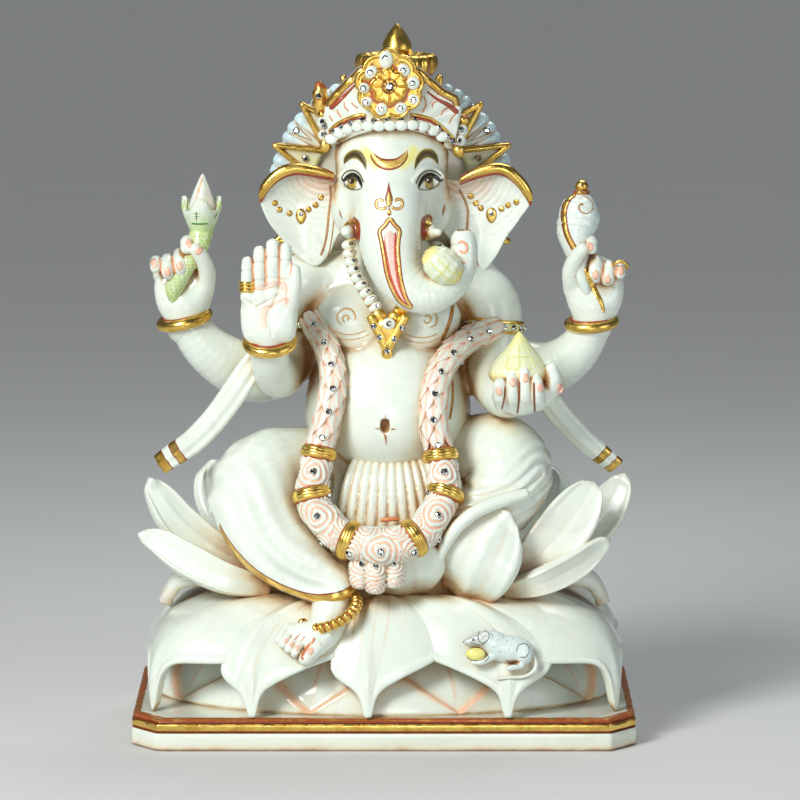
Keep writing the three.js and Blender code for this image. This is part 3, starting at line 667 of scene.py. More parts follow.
LEAF_BRIGHT = paint_material("painted_gold", (0.88, 0.62, 0.20), (0.72, 0.46, 0.10), 0.28, 0.45)
STONE = stone_material()
GOLD = gold_material()
RED = paint_material("oxide_red_line", (0.34, 0.055, 0.015), RED_DARK)
BROWN = paint_material("brown_line", (0.46, 0.25, 0.10), (0.33, 0.16, 0.06), 0.4)
VEIN = paint_material("ochre_line", (0.62, 0.42, 0.18), (0.50, 0.30, 0.10), 0.4)
PEACH = paint_material("peach_line", (0.84, 0.42, 0.27), (0.72, 0.30, 0.17), 0.4)
BLACK = paint_material("black_line", (0.012, 0.010, 0.008), (0.03, 0.02, 0.012), 0.25)
OLIVE = paint_material("olive_brow", (0.085, 0.060, 0.012), (0.15, 0.11, 0.022), 0.35)
BROW_DARK = paint_material("brow_core", (0.035, 0.024, 0.006), (0.06, 0.04, 0.01), 0.35)
AMBER = paint_material("amber_iris", (0.58, 0.42, 0.07), (0.30, 0.20, 0.03), 0.2)
GREEN = paint_material("green_line", (0.05, 0.20, 0.03), (0.10, 0.30, 0.05), 0.4)
SLATE = paint_material("slate_line", (0.06, 0.075, 0.08), (0.14, 0.16, 0.16), 0.4)
LID = paint_material("lid_tint", (0.52, 0.61, 0.52), (0.42, 0.50, 0.42), 0.3)
HALO_WASH = paint_material("olive_wash", (0.50, 0.48, 0.14), (0.60, 0.60, 0.30), 0.3)
PINK = paint_material("pink_wash", (0.80, 0.56, 0.50), (0.72, 0.46, 0.40), 0.3)
RED_BRIGHT = paint_material("red_stripe", (0.58, 0.11, 0.05), (0.44, 0.06, 0.03), 0.3)
THREAD = paint_material("thread_gold", (0.50, 0.25, 0.05), (0.34, 0.15, 0.03), 0.35, 0.3)
CUP_LINE = paint_material("deep_brown_line", (0.26, 0.07, 0.02), (0.16, 0.04, 0.01), 0.4)
TOE_LINE = paint_material("orange_line", (0.66, 0.24, 0.09), (0.50, 0.15, 0.05), 0.4)
NAIL = paint_material("nail_peach", (0.87, 0.55, 0.42), (0.82, 0.46, 0.33), 0.22)
CITRON = paint_material("citron_line", (0.70, 0.73, 0.26), (0.62, 0.62, 0.18), 0.35)
PEARL = paint_material("eye_white", (0.86, 0.88, 0.84), (0.78, 0.82, 0.76), 0.18)
CRYSTAL = stone_glass()


# ---------------------------------------------------------------- camera, floor and lights
def millimetres(*v):
    """A place in the object's millimetres as a place in the frame."""
    return Vector(np.array(v, float) * UNIT + ORIGIN)


def studio():
    """Camera at the eye's place, four soft lamps, a weak sun and a pale floor."""
    target, distance, lift = millimetres(*EYE_AT), EYE_FAR * UNIT, EYE_LIFT
    camera = bpy.data.objects.new("camera", bpy.data.cameras.new("camera"))
    camera.location = target + Vector((0, -math.cos(lift) * distance, math.sin(lift) * distance))
    camera.rotation_euler = (target - camera.location).to_track_quat("-Z", "Y").to_euler()
    camera.data.lens = LENS
    camera.data.clip_end = 50
    bpy.context.scene.collection.objects.link(camera)
    bpy.context.scene.camera = camera
    for name, at, size, power, tint in (
            ("key", (-620, -900, 760), 360, 10.5, (1.0, 0.99, 0.965)),
            ("fill", (900, -700, 420), 600, 2.6, (0.93, 0.98, 1.0)),
            ("crown", (160, 420, 1000), 500, 3.4, (0.97, 1, 1)),
            ("low_front", (60, -1150, 240), 300, 1.5, (1, 1, 1))):
        light = bpy.data.objects.new(name, bpy.data.lights.new(name, "AREA"))
        light.data.energy = power * UNIT * 1000
        light.data.size = size * UNIT
        light.data.color = tint
        light.location = millimetres(*at)
        light.rotation_euler = (millimetres(0, 0, 190) - light.location).to_track_quat("-Z", "Y").to_euler()
        bpy.context.scene.collection.objects.link(light)
    sun = bpy.data.objects.new("soft_sun", bpy.data.lights.new("soft_sun", "SUN"))
    sun.data.energy, sun.data.angle = 1.15, math.radians(20)
    sun.rotation_euler = Vector((0.55, 0.62, -0.75)).to_track_quat("-Z", "Y").to_euler()
    bpy.context.scene.collection.objects.link(sun)
    bpy.context.scene.view_settings.view_transform = "Standard"
    world = bpy.data.worlds.new("studio")
    world.use_nodes = True
    world.node_tree.nodes["Background"].inputs["Color"].default_value = (0.80, 0.86, 0.88, 1)
    world.node_tree.nodes["Background"].inputs["Strength"].default_value = 0.11
    bpy.context.scene.world = world
    mesh = bpy.data.meshes.new("floor")
    w = 20000
    mesh.from_pydata([tuple(millimetres(x, y, -0.3)) for x, y in ((-w, -w), (w, -w), (w, w), (-w, w))], [],
                     [(0, 1, 2, 3)])
    p = Paint("floor_paper")
    p.set(Base_Color=p.mix(p.noise(6, 3), (0.60, 0.61, 0.61), (0.63, 0.64, 0.64)), Roughness=0.75)
    mesh.materials.append(p.material)
    floor = bpy.data.objects.new("floor", mesh)
    bpy.context.scene.collection.objects.link(floor)
    floor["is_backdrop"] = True


# ---------------------------------------------------------------- body
REAR_RIGHT = [(-36, 14, 240, 14), (-43, 13, 216, 15), (-52, 11, 198, 15.6), (-67, 8, 189.5, 15.4),
              (-82, 2, 195, 14.8), (-95.5, -3, 205, 12.8), (-104.5, -6, 217, 10.8), (-107, -6, 226, 10.4)]
REAR_LEFT = [(44, 14, 240, 14), (51, 13, 216, 15), (60, 11, 202, 15.8), (75, 8, 194, 15.0),
             (90, 3, 193.5, 14.2), (103, -3, 202.5, 12.2), (110.5, -6, 214, 10.6), (112.3, -6, 222, 10.4)]
FRONT_RIGHT = [(-44, 4, 242, 14), (-54, 3, 228, 15.4), (-56, 1, 210, 14.6), (-55, -7, 196, 13.6),
               (-57, -22, 193, 12.2), (-60, -37, 200, 10.8), (-61, -46, 210, 9.8), (-61, -48, 217, 9.8)]
FRONT_LEFT = [(48, 4, 242, 14), (58, 3, 228, 15.6), (59, 0, 208, 14.8), (58, -9, 192, 13.8),
              (64, -25, 183, 12.2), (71, -37, 184, 11.0), (73, -43, 186, 10.4)]


def body(p):
    """Belly, chest, neck, seat and the four arms, melted together."""
    trunk = melt([ball(p, (2, -4, 180), (43, 40, 37)), ball(p, (2, -7, 166), (43, 38.5, 33)),
                  ball(p, (2, 4, 218), (41, 25, 32)),
                  chain(p, [(-40, 6, 241, 13), (3, 8, 246, 15), (46, 6, 241, 13)]),
                  chain(p, [(3, 6, 240, 20), (4, 3, 268, 18)], 1), ball(p, (0, 4, 130), (50, 37, 30)),
                  chain(p, [(2, 14, 150, 28), (2, 12, 215, 23)], 1)], 11)
    chest = np.minimum(ball(p, (-19, -13, 221), (18, 12, 15)), ball(p, (24, -13, 221), (18, 12, 15)))
    out = smin(trunk, chest, 8)
    for arm in (REAR_RIGHT, REAR_LEFT, FRONT_RIGHT, FRONT_LEFT):
        out = smin(out, chain(p, arm), 5)
    front = step01(-p[:, 1], 4, 14)
    out = out + front * groove(p, [(-36, 225), (-31, 212), (-19, 206.5), (-6, 211), (0, 219)], 1.5, 0.9)
    out = out + front * groove(p, [(5, 219), (12, 211), (25, 206.5), (37, 211), (42, 222)], 1.5, 0.9)
    out = out + front * groove(p, [(-33, 154), (-17, 146.5), (3, 144), (23, 146.5), (39, 153)], 1.8, 1.2)
    out = np.maximum(out, -ball(p, (0.6, -45.5, 169), (3.0, 5, 4.4)) - 0.3)
    return out


def dhoti_fan(p):
    """Pleats spread between the legs, k from about -1 to 1 across them."""
    pleats = [chain(p, [(2 + k * 15, -33, 151, 1.9), (2 + k * 19, -42.6 + k * k * 2, 141, 2.5),
                        (2 + k * 23, -47.4 + k * k * 3, 124, 3.0), (2 + k * 27, -50.4 + k * k * 5, 102, 3.4)],
                    3)
              for k in (np.linspace(-27, 33, 10) - 3) / 28]
    return smin(melt(pleats, 0.4), ball(p, (3, -27, 118), (29, 16, 33)), 0.9)


RIGHT_LEG = [(-20, 6, 136, 24), (-44, -8, 137, 26), (-61, -19, 137.5, 26.4), (-68, -30, 130, 26.2),
             (-66, -40, 115, 24.2), (-52, -50, 99.5, 19.0), (-36, -57, 88.5, 14.2), (-27, -60, 83, 12.6)]
LEFT_LEG = [(22, 6, 138, 24), (44, -6, 142, 25.6), (61, -16, 145.5, 25.6), (67, -27, 138, 23.4),
            (58, -37, 124, 20.2), (40, -44, 113, 16.6), (18, -48, 105, 12.4)]
HEM = [(-92, 121), (-86, 109), (-77, 97), (-66, 87.5), (-52, 80.5), (-38, 77), (-24, 78.5), (-14, 83)]


def hem_height(x):
    """Z of the dhoti's lower edge over the right leg."""
    line = spline(np.array(HEM, float), 8)
    return np.interp(x, line[:, 0], line[:, 1])


def right_leg(p):
    """The leg whose foot comes forward: folds that follow its hem, cut away over the foot."""
    out = chain(p, RIGHT_LEG)
    front = step01(-p[:, 1], 10, 24)
    away = from_line(p, HEM)
    pitch = 5.2 + 0.085 * np.clip(-p[:, 0] - 14, 0, 80)
    fade = np.exp(-(np.clip(away - 8, 0, None) / 26) ** 2) * front * step01(-p[:, 0], 26, 38)
    out = out + 0.95 * fade * np.cos(2 * math.pi * away / pitch / 1.35 + 0.6)
    for k in range(4):
        line = [(-22, 167 - 5.0 * k), (-42, 170 - 4.6 * k), (-64, 166 - 5.4 * k), (-82, 153 - 6.0 * k)]
        out = out + step01(-p[:, 1], -8, 6) * groove(p, line, 1.9, 0.75 - 0.08 * k)
    out = out + front * groove(p, [(-30, 148), (-25.5, 134), (-24, 120), (-27, 104)], 1.9, 1.4)
    below = (hem_height(p[:, 0]) - p[:, 2]) * 0.85 - 40 * step01(p[:, 1], -30, -8)
    out = -smin(-out, -below, 1.6)
    return out - front * 0.9 * np.exp(-((away - 1.5) / 2.2) ** 2)


def right_leg_marks(p, n):
    """The gold band along the hem."""
    over = (p[:, 2] - hem_height(p[:, 0])) * 0.85
    front = (p[:, 1] < -14) & (n[:, 2] > -0.85)
    gold = np.where(front & (over < 7) & (p[:, 0] > -88), 2.3 - np.abs(over - 1.5), -5)
    return {"gold": gold}


def left_leg(p):
    """The leg that is folded flat, with its folds."""
    out = chain(p, LEFT_LEG)
    front = step01(-p[:, 1], 4, 18)
    away = from_line(p, [(14, 124), (30, 125), (48, 126), (62, 129), (74, 134), (84, 142)])
    fade = np.exp(-(away / 15) ** 2) * front
    out = out + 0.75 * fade * np.cos(2 * math.pi * away / (4.6 + 0.02 * np.clip(p[:, 0], 0, 90)) + 0.5)
    return out + front * groove(p, [(28, 164), (30, 152), (36, 141), (46, 135)], 1.8, 1.0)


def foot(p):
    """The right foot, its big toe and four small ones."""
    out = chain(p, [(-27, -58, 86, 11), (-27.6, -61, 78, 10.6), (-29, -65.5, 69.5, 10.4),
                    (-31.8, -71, 61.8, 9.6), (-36.5, -76, 57, 8.2)])
    out = smin(out, ball(p, (-42, -74.5, 60.5), (11.5, 7, 7)), 4)
    toes = chain(p, [(-34, -77, 57.5, 5.4), (-37.8, -82.4, 53.0, 4.5), (-41.3, -85.2, 49.8, 3.9)], 3)
    for x, y, z, r, back in ((-47.1, -84.2, 52.7, 2.5, 5.0), (-50.6, -83.2, 54.6, 2.35, 5.2),
                             (-53.6, -82, 56.8, 2.2, 5.4), (-56, -80.4, 58.8, 2.0, 5.4)):
        toe = chain(p, [(x + back, y + 6.4, z + 6.8, r), (x + 2.2, y + 2.2, z + 3.4, r * 0.96), (x, y, z, r)],
                    3)
        toes = np.minimum(toes, toe)
    return smin(out, toes, 1.4)


# ---------------------------------------------------------------- hands
def open_hand(p):
    """The raised right palm, with finger joints and palm lines cut in."""
    out = melt([chain(p, [(-60.8, -46, 211, 9.6), (-61, -48.5, 221, 10.6)], 1),
                ball(p, (-61, -49, 231), (15.2, 7.2, 16.5)),
                ball(p, (-53.5, -53, 226), (6.5, 4.6, 11), (0, -14, 0)),
                ball(p, (-69, -52.5, 226), (6.2, 4, 11), (0, 10, 0))], 4.5)
    pads = melt([ball(p, (x, -53.2, 239), (4.2, 3.2, 4)) for x in (-72, -65.6, -59.3, -53.2)], 1.5)
    out = smin(out, pads, 2.5)
    fingers = []
    for x, base, top, r in ((-72.6, 236, 261.4, 3.3), (-66.0, 238, 267.2, 3.75), (-59.0, 238, 271.0, 4.2),
                            (-52.4, 238, 268.8, 3.75)):
        z = np.array([base, base + (top - base) * 0.35, base + (top - base) * 0.68, top - r])
        one = chain(p, [(x * 0.985 - 0.9, -50.5, z[0], r), (x, -52.4, z[1], r * 1.03),
                        (x, -53.4, z[2], r * 0.98), (x, -53.6, z[3], r * 0.86)], 3)
        for k in (1, 2):
            one = one + 0.45 * np.exp(-((p[:, 2] - z[k]) / 0.7) ** 2) * step01(-p[:, 1], 51, 54)
        fingers.append(one)
    thumb = chain(p, [(-53.5, -50.5, 225, 5.4), (-49.6, -53, 236, 4.6), (-47.6, -54.6, 246, 4.0),
                      (-47.4, -54.8, 253.6, 3.3)])
    out = smin(out, melt(fingers, 0.35), 1.4)
    out = smin(out, thumb, 1.6)
    for line in ([(-70, 233), (-63, 236.5), (-55.5, 241)], [(-74, 238), (-66, 233.6), (-57, 234.5)],
                 [(-56.6, 240), (-60.5, 231), (-59.6, 219)]):
        out = out + step01(-p[:, 1], 50, 54) * groove(p, line, 0.7, 0.55)
    return out


def fist(centre, side, low=0.0, near=0.0):
    """A hand closed round a stalk; side +1 has its thumb towards +X, low drops its fingers."""
    def at(x, y, z, r):
        return (centre + side * x, y, z, r)

    def field(p):
        out = melt([chain(p, [at(-0.6, -6, 218, 10.4), at(-0.4, -6.6, 229, 11.8)], 1),
                    ball(p, (centre - side * 0.8, -5.5, 240), (15, 8.6, 16.5)),
                    ball(p, (centre + side * 7.4, -9, 237), (6.6, 6.4, 13), (0, side * 10, 0)),
                    ball(p, (centre - side * 10.6, -8, 235), (5.8, 5.6, 12), (0, -side * 6, 0))], 4.5)
        fingers = []
        for x, top, tip, r in ((-3.8, 256.4, 249.2, 4.0), (-10.6, 253.4, 247.8, 3.9),
                               (-17.0, 253.2, 251.4, 3.1)):
            x, top, tip = x + near, top - low, tip - low
            fingers.append(chain(p,
                                 [at(x * 0.95, -3, top - 9, r), at(x - 0.3, -9.5, top, r),
                                  at(x - 0.5, -16.6, top - 1.0, r),
                                  at(x - 0.2, -19.6, (top + tip) / 2 - 1.4, r * 0.97),
                                  at(x, -19.0, tip, r * 0.9)], 3))
        index = chain(p, [at(4.4, -3, 252, 4.3), at(2.8, -9, 261.2, 4.2), at(1.2, -15.4, 264.2, 3.9),
                          at(1.0, -19.4, 261.4, 3.3)], 3)
        thumb = chain(p, [at(10.0, -9, 238, 5.6), at(11.6, -14.6, 248, 4.9), at(9.0, -19, 256.4, 4.3),
                          at(5.6, -21.6, 261.2, 3.4)], 3)
        out = smin(out, melt(fingers, 0.35), 1.2)
        out = smin(out, index, 1.2)
        return smin(out, thumb, 1.2)
    return field


def cupped_hand(p):
    """The left hand that holds the sweet from below."""
    out = melt([chain(p, [(69, -38, 184, 10.6), (73, -45, 185.6, 10.5)], 1),
                ball(p, (73.4, -47, 184.5), (15.6, 11.5, 8.6)), ball(p, (73.4, -53, 188), (14.8, 6, 6))], 4)
    fingers = melt([chain(p, [(x + 0.6, -52, 182, 4.2), (x, -58.6, 186.6, 4.0), (x - 0.4, -60.6, 193, 3.6),
                              (x - 0.7, -59.4, top - 2.8, 3.0)], 3)
                    for x, top in ((62.2, 195.4), (68.6, 200.2), (75.2, 202.2), (81.6, 198.4))], 0.35)
    thumb = chain(p, [(84, -45, 184, 5.8), (88.6, -50, 189, 5.2), (90.4, -53, 195, 4.4),
                      (89.4, -54, 200.6, 3.4)], 3)
    return smin(smin(out, fingers, 1.2), thumb, 1.6)


# ---------------------------------------------------------------- head
TRUNK = [(4, -16, 304, 19), (4, -25, 294, 19.6), (3.4, -33, 281, 18.8), (3.4, -40, 268, 16.8),
         (6, -46, 255.5, 14.6), (12.5, -50.5, 245.5, 12.6), (23.5, -53, 240.8, 11.0), (34.5, -52, 245.5, 9.6),
         (41, -50, 255, 8.4), (42.6, -48.5, 264, 7.4), (42.4, -48, 268.5, 7.0)]
EYES = ((-17, 300.3, 1), (24.6, 300.3, -1))


def head(p):
    """Skull, cheeks, brow, eyelids, tusks and the trunk with its rings."""
    out = melt([ball(p, (4, 0, 305), (30.5, 29, 30)), ball(p, (-14, -9, 283), (14.5, 15, 18)),
                ball(p, (22, -9, 283), (14.5, 15, 18)), ball(p, (-13, -14, 312), (13, 12, 10)),
                ball(p, (21, -14, 312), (13, 12, 10)), ball(p, (4, -18, 320), (22, 12, 12)),
                chain(p, [(4, -2, 282, 17), (6, -12, 262, 11)], 1)], 7)
    blend = 6.0 + 9.0 * step01(p[:, 2], 276, 298)
    out = smin(out, chain(p, TRUNK, 5), blend)
    for x, z, s in EYES:
        out = smin(out, ball(p, (x, -23.4, z - 0.6), (7.6, 3.4, 4.6)), 2.4)
        lid = [(x - 8.4, z + 0.2), (x - 4, z + 4.0), (x + 1 * s, z + 4.8), (x + 5, z + 3.2),
               (x + 8.4, z - 0.6)]
        out = out - step01(-p[:, 1], 12, 18) * groove(p, lid, 1.1, 0.8)
    for start, end in (((-12, -28, 275, 6.0), (-17, -36, 272.9, 5.4)),
                       ((18, -28, 275, 6.0), (23.0, -36, 272.5, 5.2))):
        out = smin(out, chain(p, [start, end], 1), 2.5)
    out = np.minimum(out, chain(p, [(-15, -32, 273.5, 4.2), (-18, -38, 272.6, 3.9), (-20, -42, 273, 3.0)], 3))
    out = np.minimum(out, chain(p, [(21, -32, 273, 4.0), (25, -39, 272, 3.4), (29, -45, 272.6, 2.0)], 3))
    path = spline(TRUNK, 8)
    for t in np.linspace(0.45, 0.97, 13):
        i = int(t * (len(path) - 1))
        c = path[i]
        d = unit(path[min(i + 1, len(path) - 1)][:3] - path[i - 1][:3])
        away = (p - c[:3]) @ d
        near = step01(-np.linalg.norm(p - c[:3], axis=1), -c[3] * 1.5, -c[3] * 1.15)
        out = out + near * 0.22 * np.exp(-(away / 0.6) ** 2)
    return np.maximum(out, -chain(p, [(42.3, -48, 268, 3.2), (42.2, -47.6, 280, 3.6)], 1) - 0.2)


def head_marks(p, n):
    """Darker ochre at the head's sides by the temples, gold at the trunk's tip and tusks, yellow at the
    brow's ends.
    """
    sides = (1.35 * step01(np.abs(p[:, 0] - 4), 25.5, 31.5) * step01(p[:, 2], 276, 298)
             * step01(-p[:, 1], -12, 2))
    tusk = np.minimum(np.linalg.norm(p - np.array([-16.6, -34.5, 273]), axis=1),
                      np.linalg.norm(p - np.array([22.4, -34.5, 272.6]), axis=1))
    tip = np.linalg.norm(p - np.array([42.4, -48, 270]), axis=1)
    brow = np.minimum(from_line(p, [(-9.5, 315), (-7, 311), (-3.5, 308.4)]),
                      from_line(p, [(15.7, 315), (13.5, 311), (10, 308.4)]))
    gold = np.where(tip < 20, 4.4 - np.abs(tip - 4.2) * 3.2, 1.4 - np.abs(tusk - 5.2))
    gold = gold * (p[:, 1] < -30) - 2.0 * (p[:, 1] >= -30)
    return {"stain": np.maximum(sides * 1.05, 0), "gold": gold,
            "yellow": 0.92 * np.exp(-(brow / 3.2) ** 2) * (p[:, 1] < -18)}


def paw_marks(lines, width, top):
    """A soft blush along lines drawn on a palm."""
    def marks(p, n):
        best = np.full(len(p), 1e6)
        for line in lines:
            best = np.minimum(best, from_line(p, line))
        return {"rose": top * np.exp(-(best / width) ** 2) * (n[:, 1] < 0.1)}
    return marks


# ---------------------------------------------------------------- plinth and lotus
def corners(inset):
    """The plinth's eight corners, drawn in by inset."""
    w, d = WIDTH / 2 - inset, DEPTH / 2 - inset
    return [(w - CUT_X, -d), (w, -d + CUT_Y), (w, d - CUT_Y), (w - CUT_X, d),
            (-w + CUT_X, d), (-w, d - CUT_Y), (-w, -d + CUT_Y), (-w + CUT_X, -d)]


def plinth_ring(inset, z, per=14, soft=1.6, rough=0.0):
    """One level outline of the plinth, with its corners eased."""
    base = corners(inset)
    out = []
    for i, c in enumerate(base):
        c = np.array(c)
        a, b = np.array(base[i - 1]), np.array(base[(i + 1) % 8])
        before, after = c + unit(a - c) * soft, c + unit(b - c) * soft
        for t in (0, 0.33, 0.67, 1):
            q = (1 - t) ** 2 * before + 2 * t * (1 - t) * c + t * t * after
            out.append((*q, z))
        nxt = b + unit(c - b) * soft
        for t in np.linspace(0, 1, per)[1:-1]:
            out.append((*(after + (nxt - after) * t), z))
    ring = np.array(out)
    if rough:
        wave = (np.sin(ring[:, 0] * 0.31 + z) * np.sin(ring[:, 1] * 0.23 + 2 * z)
                + 0.6 * np.sin(ring[:, 0] * 0.9 + 1.7 * z))
        ring[:, :2] *= 1 + (rough * wave / 130)[:, None]
    return ring


def plinth():
    """The slab, and the gold and red lines round its edge."""
    levels = [(3.0, 0.0), (0.8, 0.0), (0.15, 0.7), (0, 1.6), (0, 4), (0, 6.5), (0, 8.4), (0.3, 9.2),
              (2.4, 9.5), (3.2, 9.7), (3.2, 16.2), (3.8, 16.9), (8, 17.0), (30, 17.0)]
    rings = np.array([plinth_ring(inset, z, rough=0.16 if 1 < z < 9 else 0) for inset, z in levels])
    # darker at the slab's foot, and painted shade over its top, under the petals
    low = step01(-rings[..., 2].ravel(), -4.5, 0) * 0.35
    top = np.where(rings[..., 2].ravel() > 16.5, 0.35, 0)
    points, faces = skin(rings)
    points[-2], points[-1] = (0, 0, 0), (0, 0, 17)
    add("plinth_stone", points, faces, STONE, ("plinth",), marks={"stain": np.r_[low + top, 0, 0]}, angle=40)
    band = Mesh()
    for rows, tint_and_shade in (([(3.4, 10.2), (0.5, 10.5), (0.25, 11.2), (0.2, 13.0), (0.35, 13.9), (0.75, 14.4),
                         (3.4, 14.6)], 0.0),
                       ([(3.4, 15.6), (1.1, 15.65), (1.0, 16.3), (1.4, 16.9), (2.2, 17.2), (4.6, 17.25)],
                        0.75)):
        rings = np.array([plinth_ring(inset, z, rough=0.12) for inset, z in rows])
        points, faces = skin(rings, closed_ends=False, loop=True)
        # painted shade: the upper band, under the petal tips, darker all round, and the lower band darker at
        # its foot
        band.put(points, faces, stain=np.where(rings[..., 2].ravel() < 10.8, 0.7, 0.0) + tint_and_shade)
    band.done("plinth_gold_line", GOLD, ("plinth_band",), "gilding", angle=40)
    red = Mesh()
    for rows in ([(3.4, 14.7), (1.0, 14.75), (0.85, 15.1), (1.1, 15.5), (3.4, 15.55)],
                 [(3.4, 9.6), (0.75, 9.65), (0.35, 9.9), (0.8, 10.15), (3.4, 10.18)]):
        points, faces = skin(np.array([plinth_ring(inset, z, rough=0.1) for inset, z in rows]),
                             closed_ends=False, loop=True)
        red.put(points, faces)
    red.done("plinth_red_lines", RED, (), "gilding", angle=40)


def lotus_core():
    """The drum under the petals, cut into inverted triangles above the plinth."""
    profile = spline([(124, 17.15), (124.5, 20), (119, 30), (108, 41), (93, 52), (80, 63), (74, 75), (78, 88),
                      (86, 100)], 12)
    wide = 560
    a = np.arange(wide) / wide * 2 * math.pi
    edge = np.stack([np.cos(a) * 104, np.sin(a) * 66], 1)
    run = np.r_[0, np.cumsum(np.linalg.norm(np.diff(np.vstack([edge, edge[:1]]), axis=0), axis=1))]
    u = (run[:-1] / run[-1] * 8) % 1
    reach = np.abs(u - 0.5) * 2
    rings, stain, rose = [], [], []
    for r, z in profile:
        v = np.clip((z - 18) / 27, 0, 1.4)
        on = step01(-z, -58, -44)
        line = np.exp(-((v - reach) / 0.05) ** 2) * on
        rib = np.exp(-(reach / 0.035) ** 2) * on * step01(v, 0.1, 0.35)
        k = (r - 4.2 * step01(v - reach, -0.05, 0.05) * (1 - 0.75 * step01(-reach, -0.35, 0) * min(v, 1)) * on
             + 0.9 * line)
        rings.append(np.stack([np.cos(a) * k, np.sin(a) * k * 0.63, np.full(wide, z)], 1))
        rose.append(line * 0.95 + rib * 0.5)
        # painted shade: darker along the cut edges of the triangles and over the drum above 55 mm, under the
        # petals
        stain.append(np.exp(-((v - reach) / 0.16) ** 2) * on * 0.5 + (0.4 if z > 55 else 0) + 0.15 * on * v
                     + rib * 0.3)
    rings.insert(0, rings[0] * (0.9, 0.9, 1))
    rings.append(rings[-1] * (0.5, 0.5, 1) + (0, 0, 3))
    for rows in (stain, rose):
        rows.insert(0, rows[0])
        rows.append(rows[-1])
    points, faces = skin(np.array(rings))
    points[-2, 2], points[-1, 2] = 17.15, 103
    add("lotus_core_cut", points, faces, STONE, ("lotus_core",),
        marks={"stain": np.r_[np.concatenate(stain), 0, 0], "rose": np.r_[np.concatenate(rose), 0, 0]},
        angle=35)


def petal(name, node, stations, across, cup, ridges=2.2, out=1.0, rim=0.9, tip_colour=0.0, root=0.12,
          keel=0.0, lip_wide=0.07):
    """A carved petal: ridged along its length, cupped across, with a thick rounded rim."""
    rows = evenly(spline(stations, 7), 46)
    along = unit(np.gradient(rows[:, :3], axis=0))
    across = np.array(across, float)
    side = unit(across - (along @ across)[:, None] * along)
    up = np.cross(along, side) * out
    wide = 41
    w = np.sin(np.linspace(-1, 1, wide) * math.pi / 2)
    rings, stain, rose = [], [], []
    n = len(rows)
    for i, (half, thick) in enumerate(rows[:, 3:]):
        t = i / (n - 1)
        edge = np.sqrt(np.clip(1 - np.abs(w) ** 5, 0, 1))
        fold = np.cos(w * math.pi * (2.5 + 0.6 * t))
        amount = ridges * step01(half, 4, 18) * step01(t, 0.0, 0.25) * (1 - 0.35 * t) * (1 - w**4) * 0.5
        bend = cup * out * w * w * half / 20 + keel * step01(half, 3, 14) * np.exp(-(w / 0.10) ** 2)
        lip = (rim * np.exp(-((np.abs(w) - 0.90) / lip_wide) ** 2) * step01(half, 3, 10)
               + rim * step01(t, 0.90, 0.985) * np.exp(-(w / 0.8) ** 4))
        top = bend + thick * edge + amount * fold + lip
        low = bend - thick * edge - 0.4 * lip
        centre = rows[i, :3]
        rings.append(np.vstack([centre + np.outer(w * half, side[i]) + np.outer(top, up[i]),
                                centre + np.outer(w[::-1] * half, side[i]) + np.outer(low[::-1], up[i])]))
        # painted shade: the grooves, the root, a line inside the rim and the whole underside are darkened
        groove_shade = np.clip(-fold - 0.25, 0, 1) * 0.42 * step01(half, 6, 20) * (1 - w**6)
        face = groove_shade + 0.75 * step01(-t, -root, 0) + 0.22 * np.exp(-((np.abs(w) - 0.82) / 0.05) ** 2)
        back = 0.35 * np.ones(wide) * (1 - 0.5 * t)
        stain.append(np.r_[face, back])
        blush = tip_colour * step01(t, 0.72, 1.0)
        rose.append(np.r_[np.full(wide, blush), np.full(wide, blush)])
    rings = np.array(rings)
    if out < 0:
        rings = rings[:, ::-1]
        stain, rose = [s[::-1] for s in stain], [s[::-1] for s in rose]
    points, faces = skin(rings)
    stain, rose = np.concatenate(stain), np.concatenate(rose)
    add(name, points, faces, STONE, (node,),
        marks={"stain": np.r_[stain, 0.5, 0.2], "rose": np.r_[rose, 0, rose[-1]]})


PETAL_FOOT = 17.8      # where the down-turned tips rest on the plinth
FALL = (80, 78, 72.5, 63, 50.5, 36, 17.7)
RUN = (0, 0.2, 0.44, 0.67, 0.85, 0.96, 1)
RUN_SIDE = (0, 0.22, 0.5, 0.80, 0.95, 1.0, 0.99)


class Skirt:
    """The lower lotus, taken as one rounded apron that each petal is a patch of."""

    def __init__(self):
        a = np.linspace(0, 2 * math.pi, 1440)
        c, s = np.cos(a), np.sin(a)
        self.outer = np.stack([np.sign(c) * np.abs(c) ** 0.4 * 129.5, np.sign(s) * np.abs(s) ** 0.4 * 82.5],
                              1)
        self.inner = np.stack([np.sign(c) * np.abs(c) ** 0.8 * 62, np.sign(s) * np.abs(s) ** 0.8 * 41], 1)
        self.run = np.r_[0, np.cumsum(np.linalg.norm(np.diff(self.outer, axis=0), axis=1))]
        path = spline(np.stack([RUN_SIDE, RUN, FALL], 1), 34)
        self.h = np.linspace(0, 1, len(path))
        self.reach, self.fall = path[:, :2], path[:, 2]

    def where(self, x, y):
        return self.run[np.argmin(np.linalg.norm(self.outer - (x, y), axis=1))]

    def at(self, u, h):
        u = np.asarray(u) % self.run[-1]
        out = np.stack([np.interp(u, self.run, self.outer[:, k]) for k in (0, 1)], -1)
        inn = np.stack([np.interp(u, self.run, self.inner[:, k]) for k in (0, 1)], -1)
        t = np.stack([np.interp(h, self.h, self.reach[:, k]) for k in (0, 1)], -1)
        return np.concatenate([inn + (out - inn) * t, np.interp(h, self.h, self.fall)[..., None]], -1)

    def level(self, z):
        return np.interp(-np.asarray(z), -self.fall, self.h)


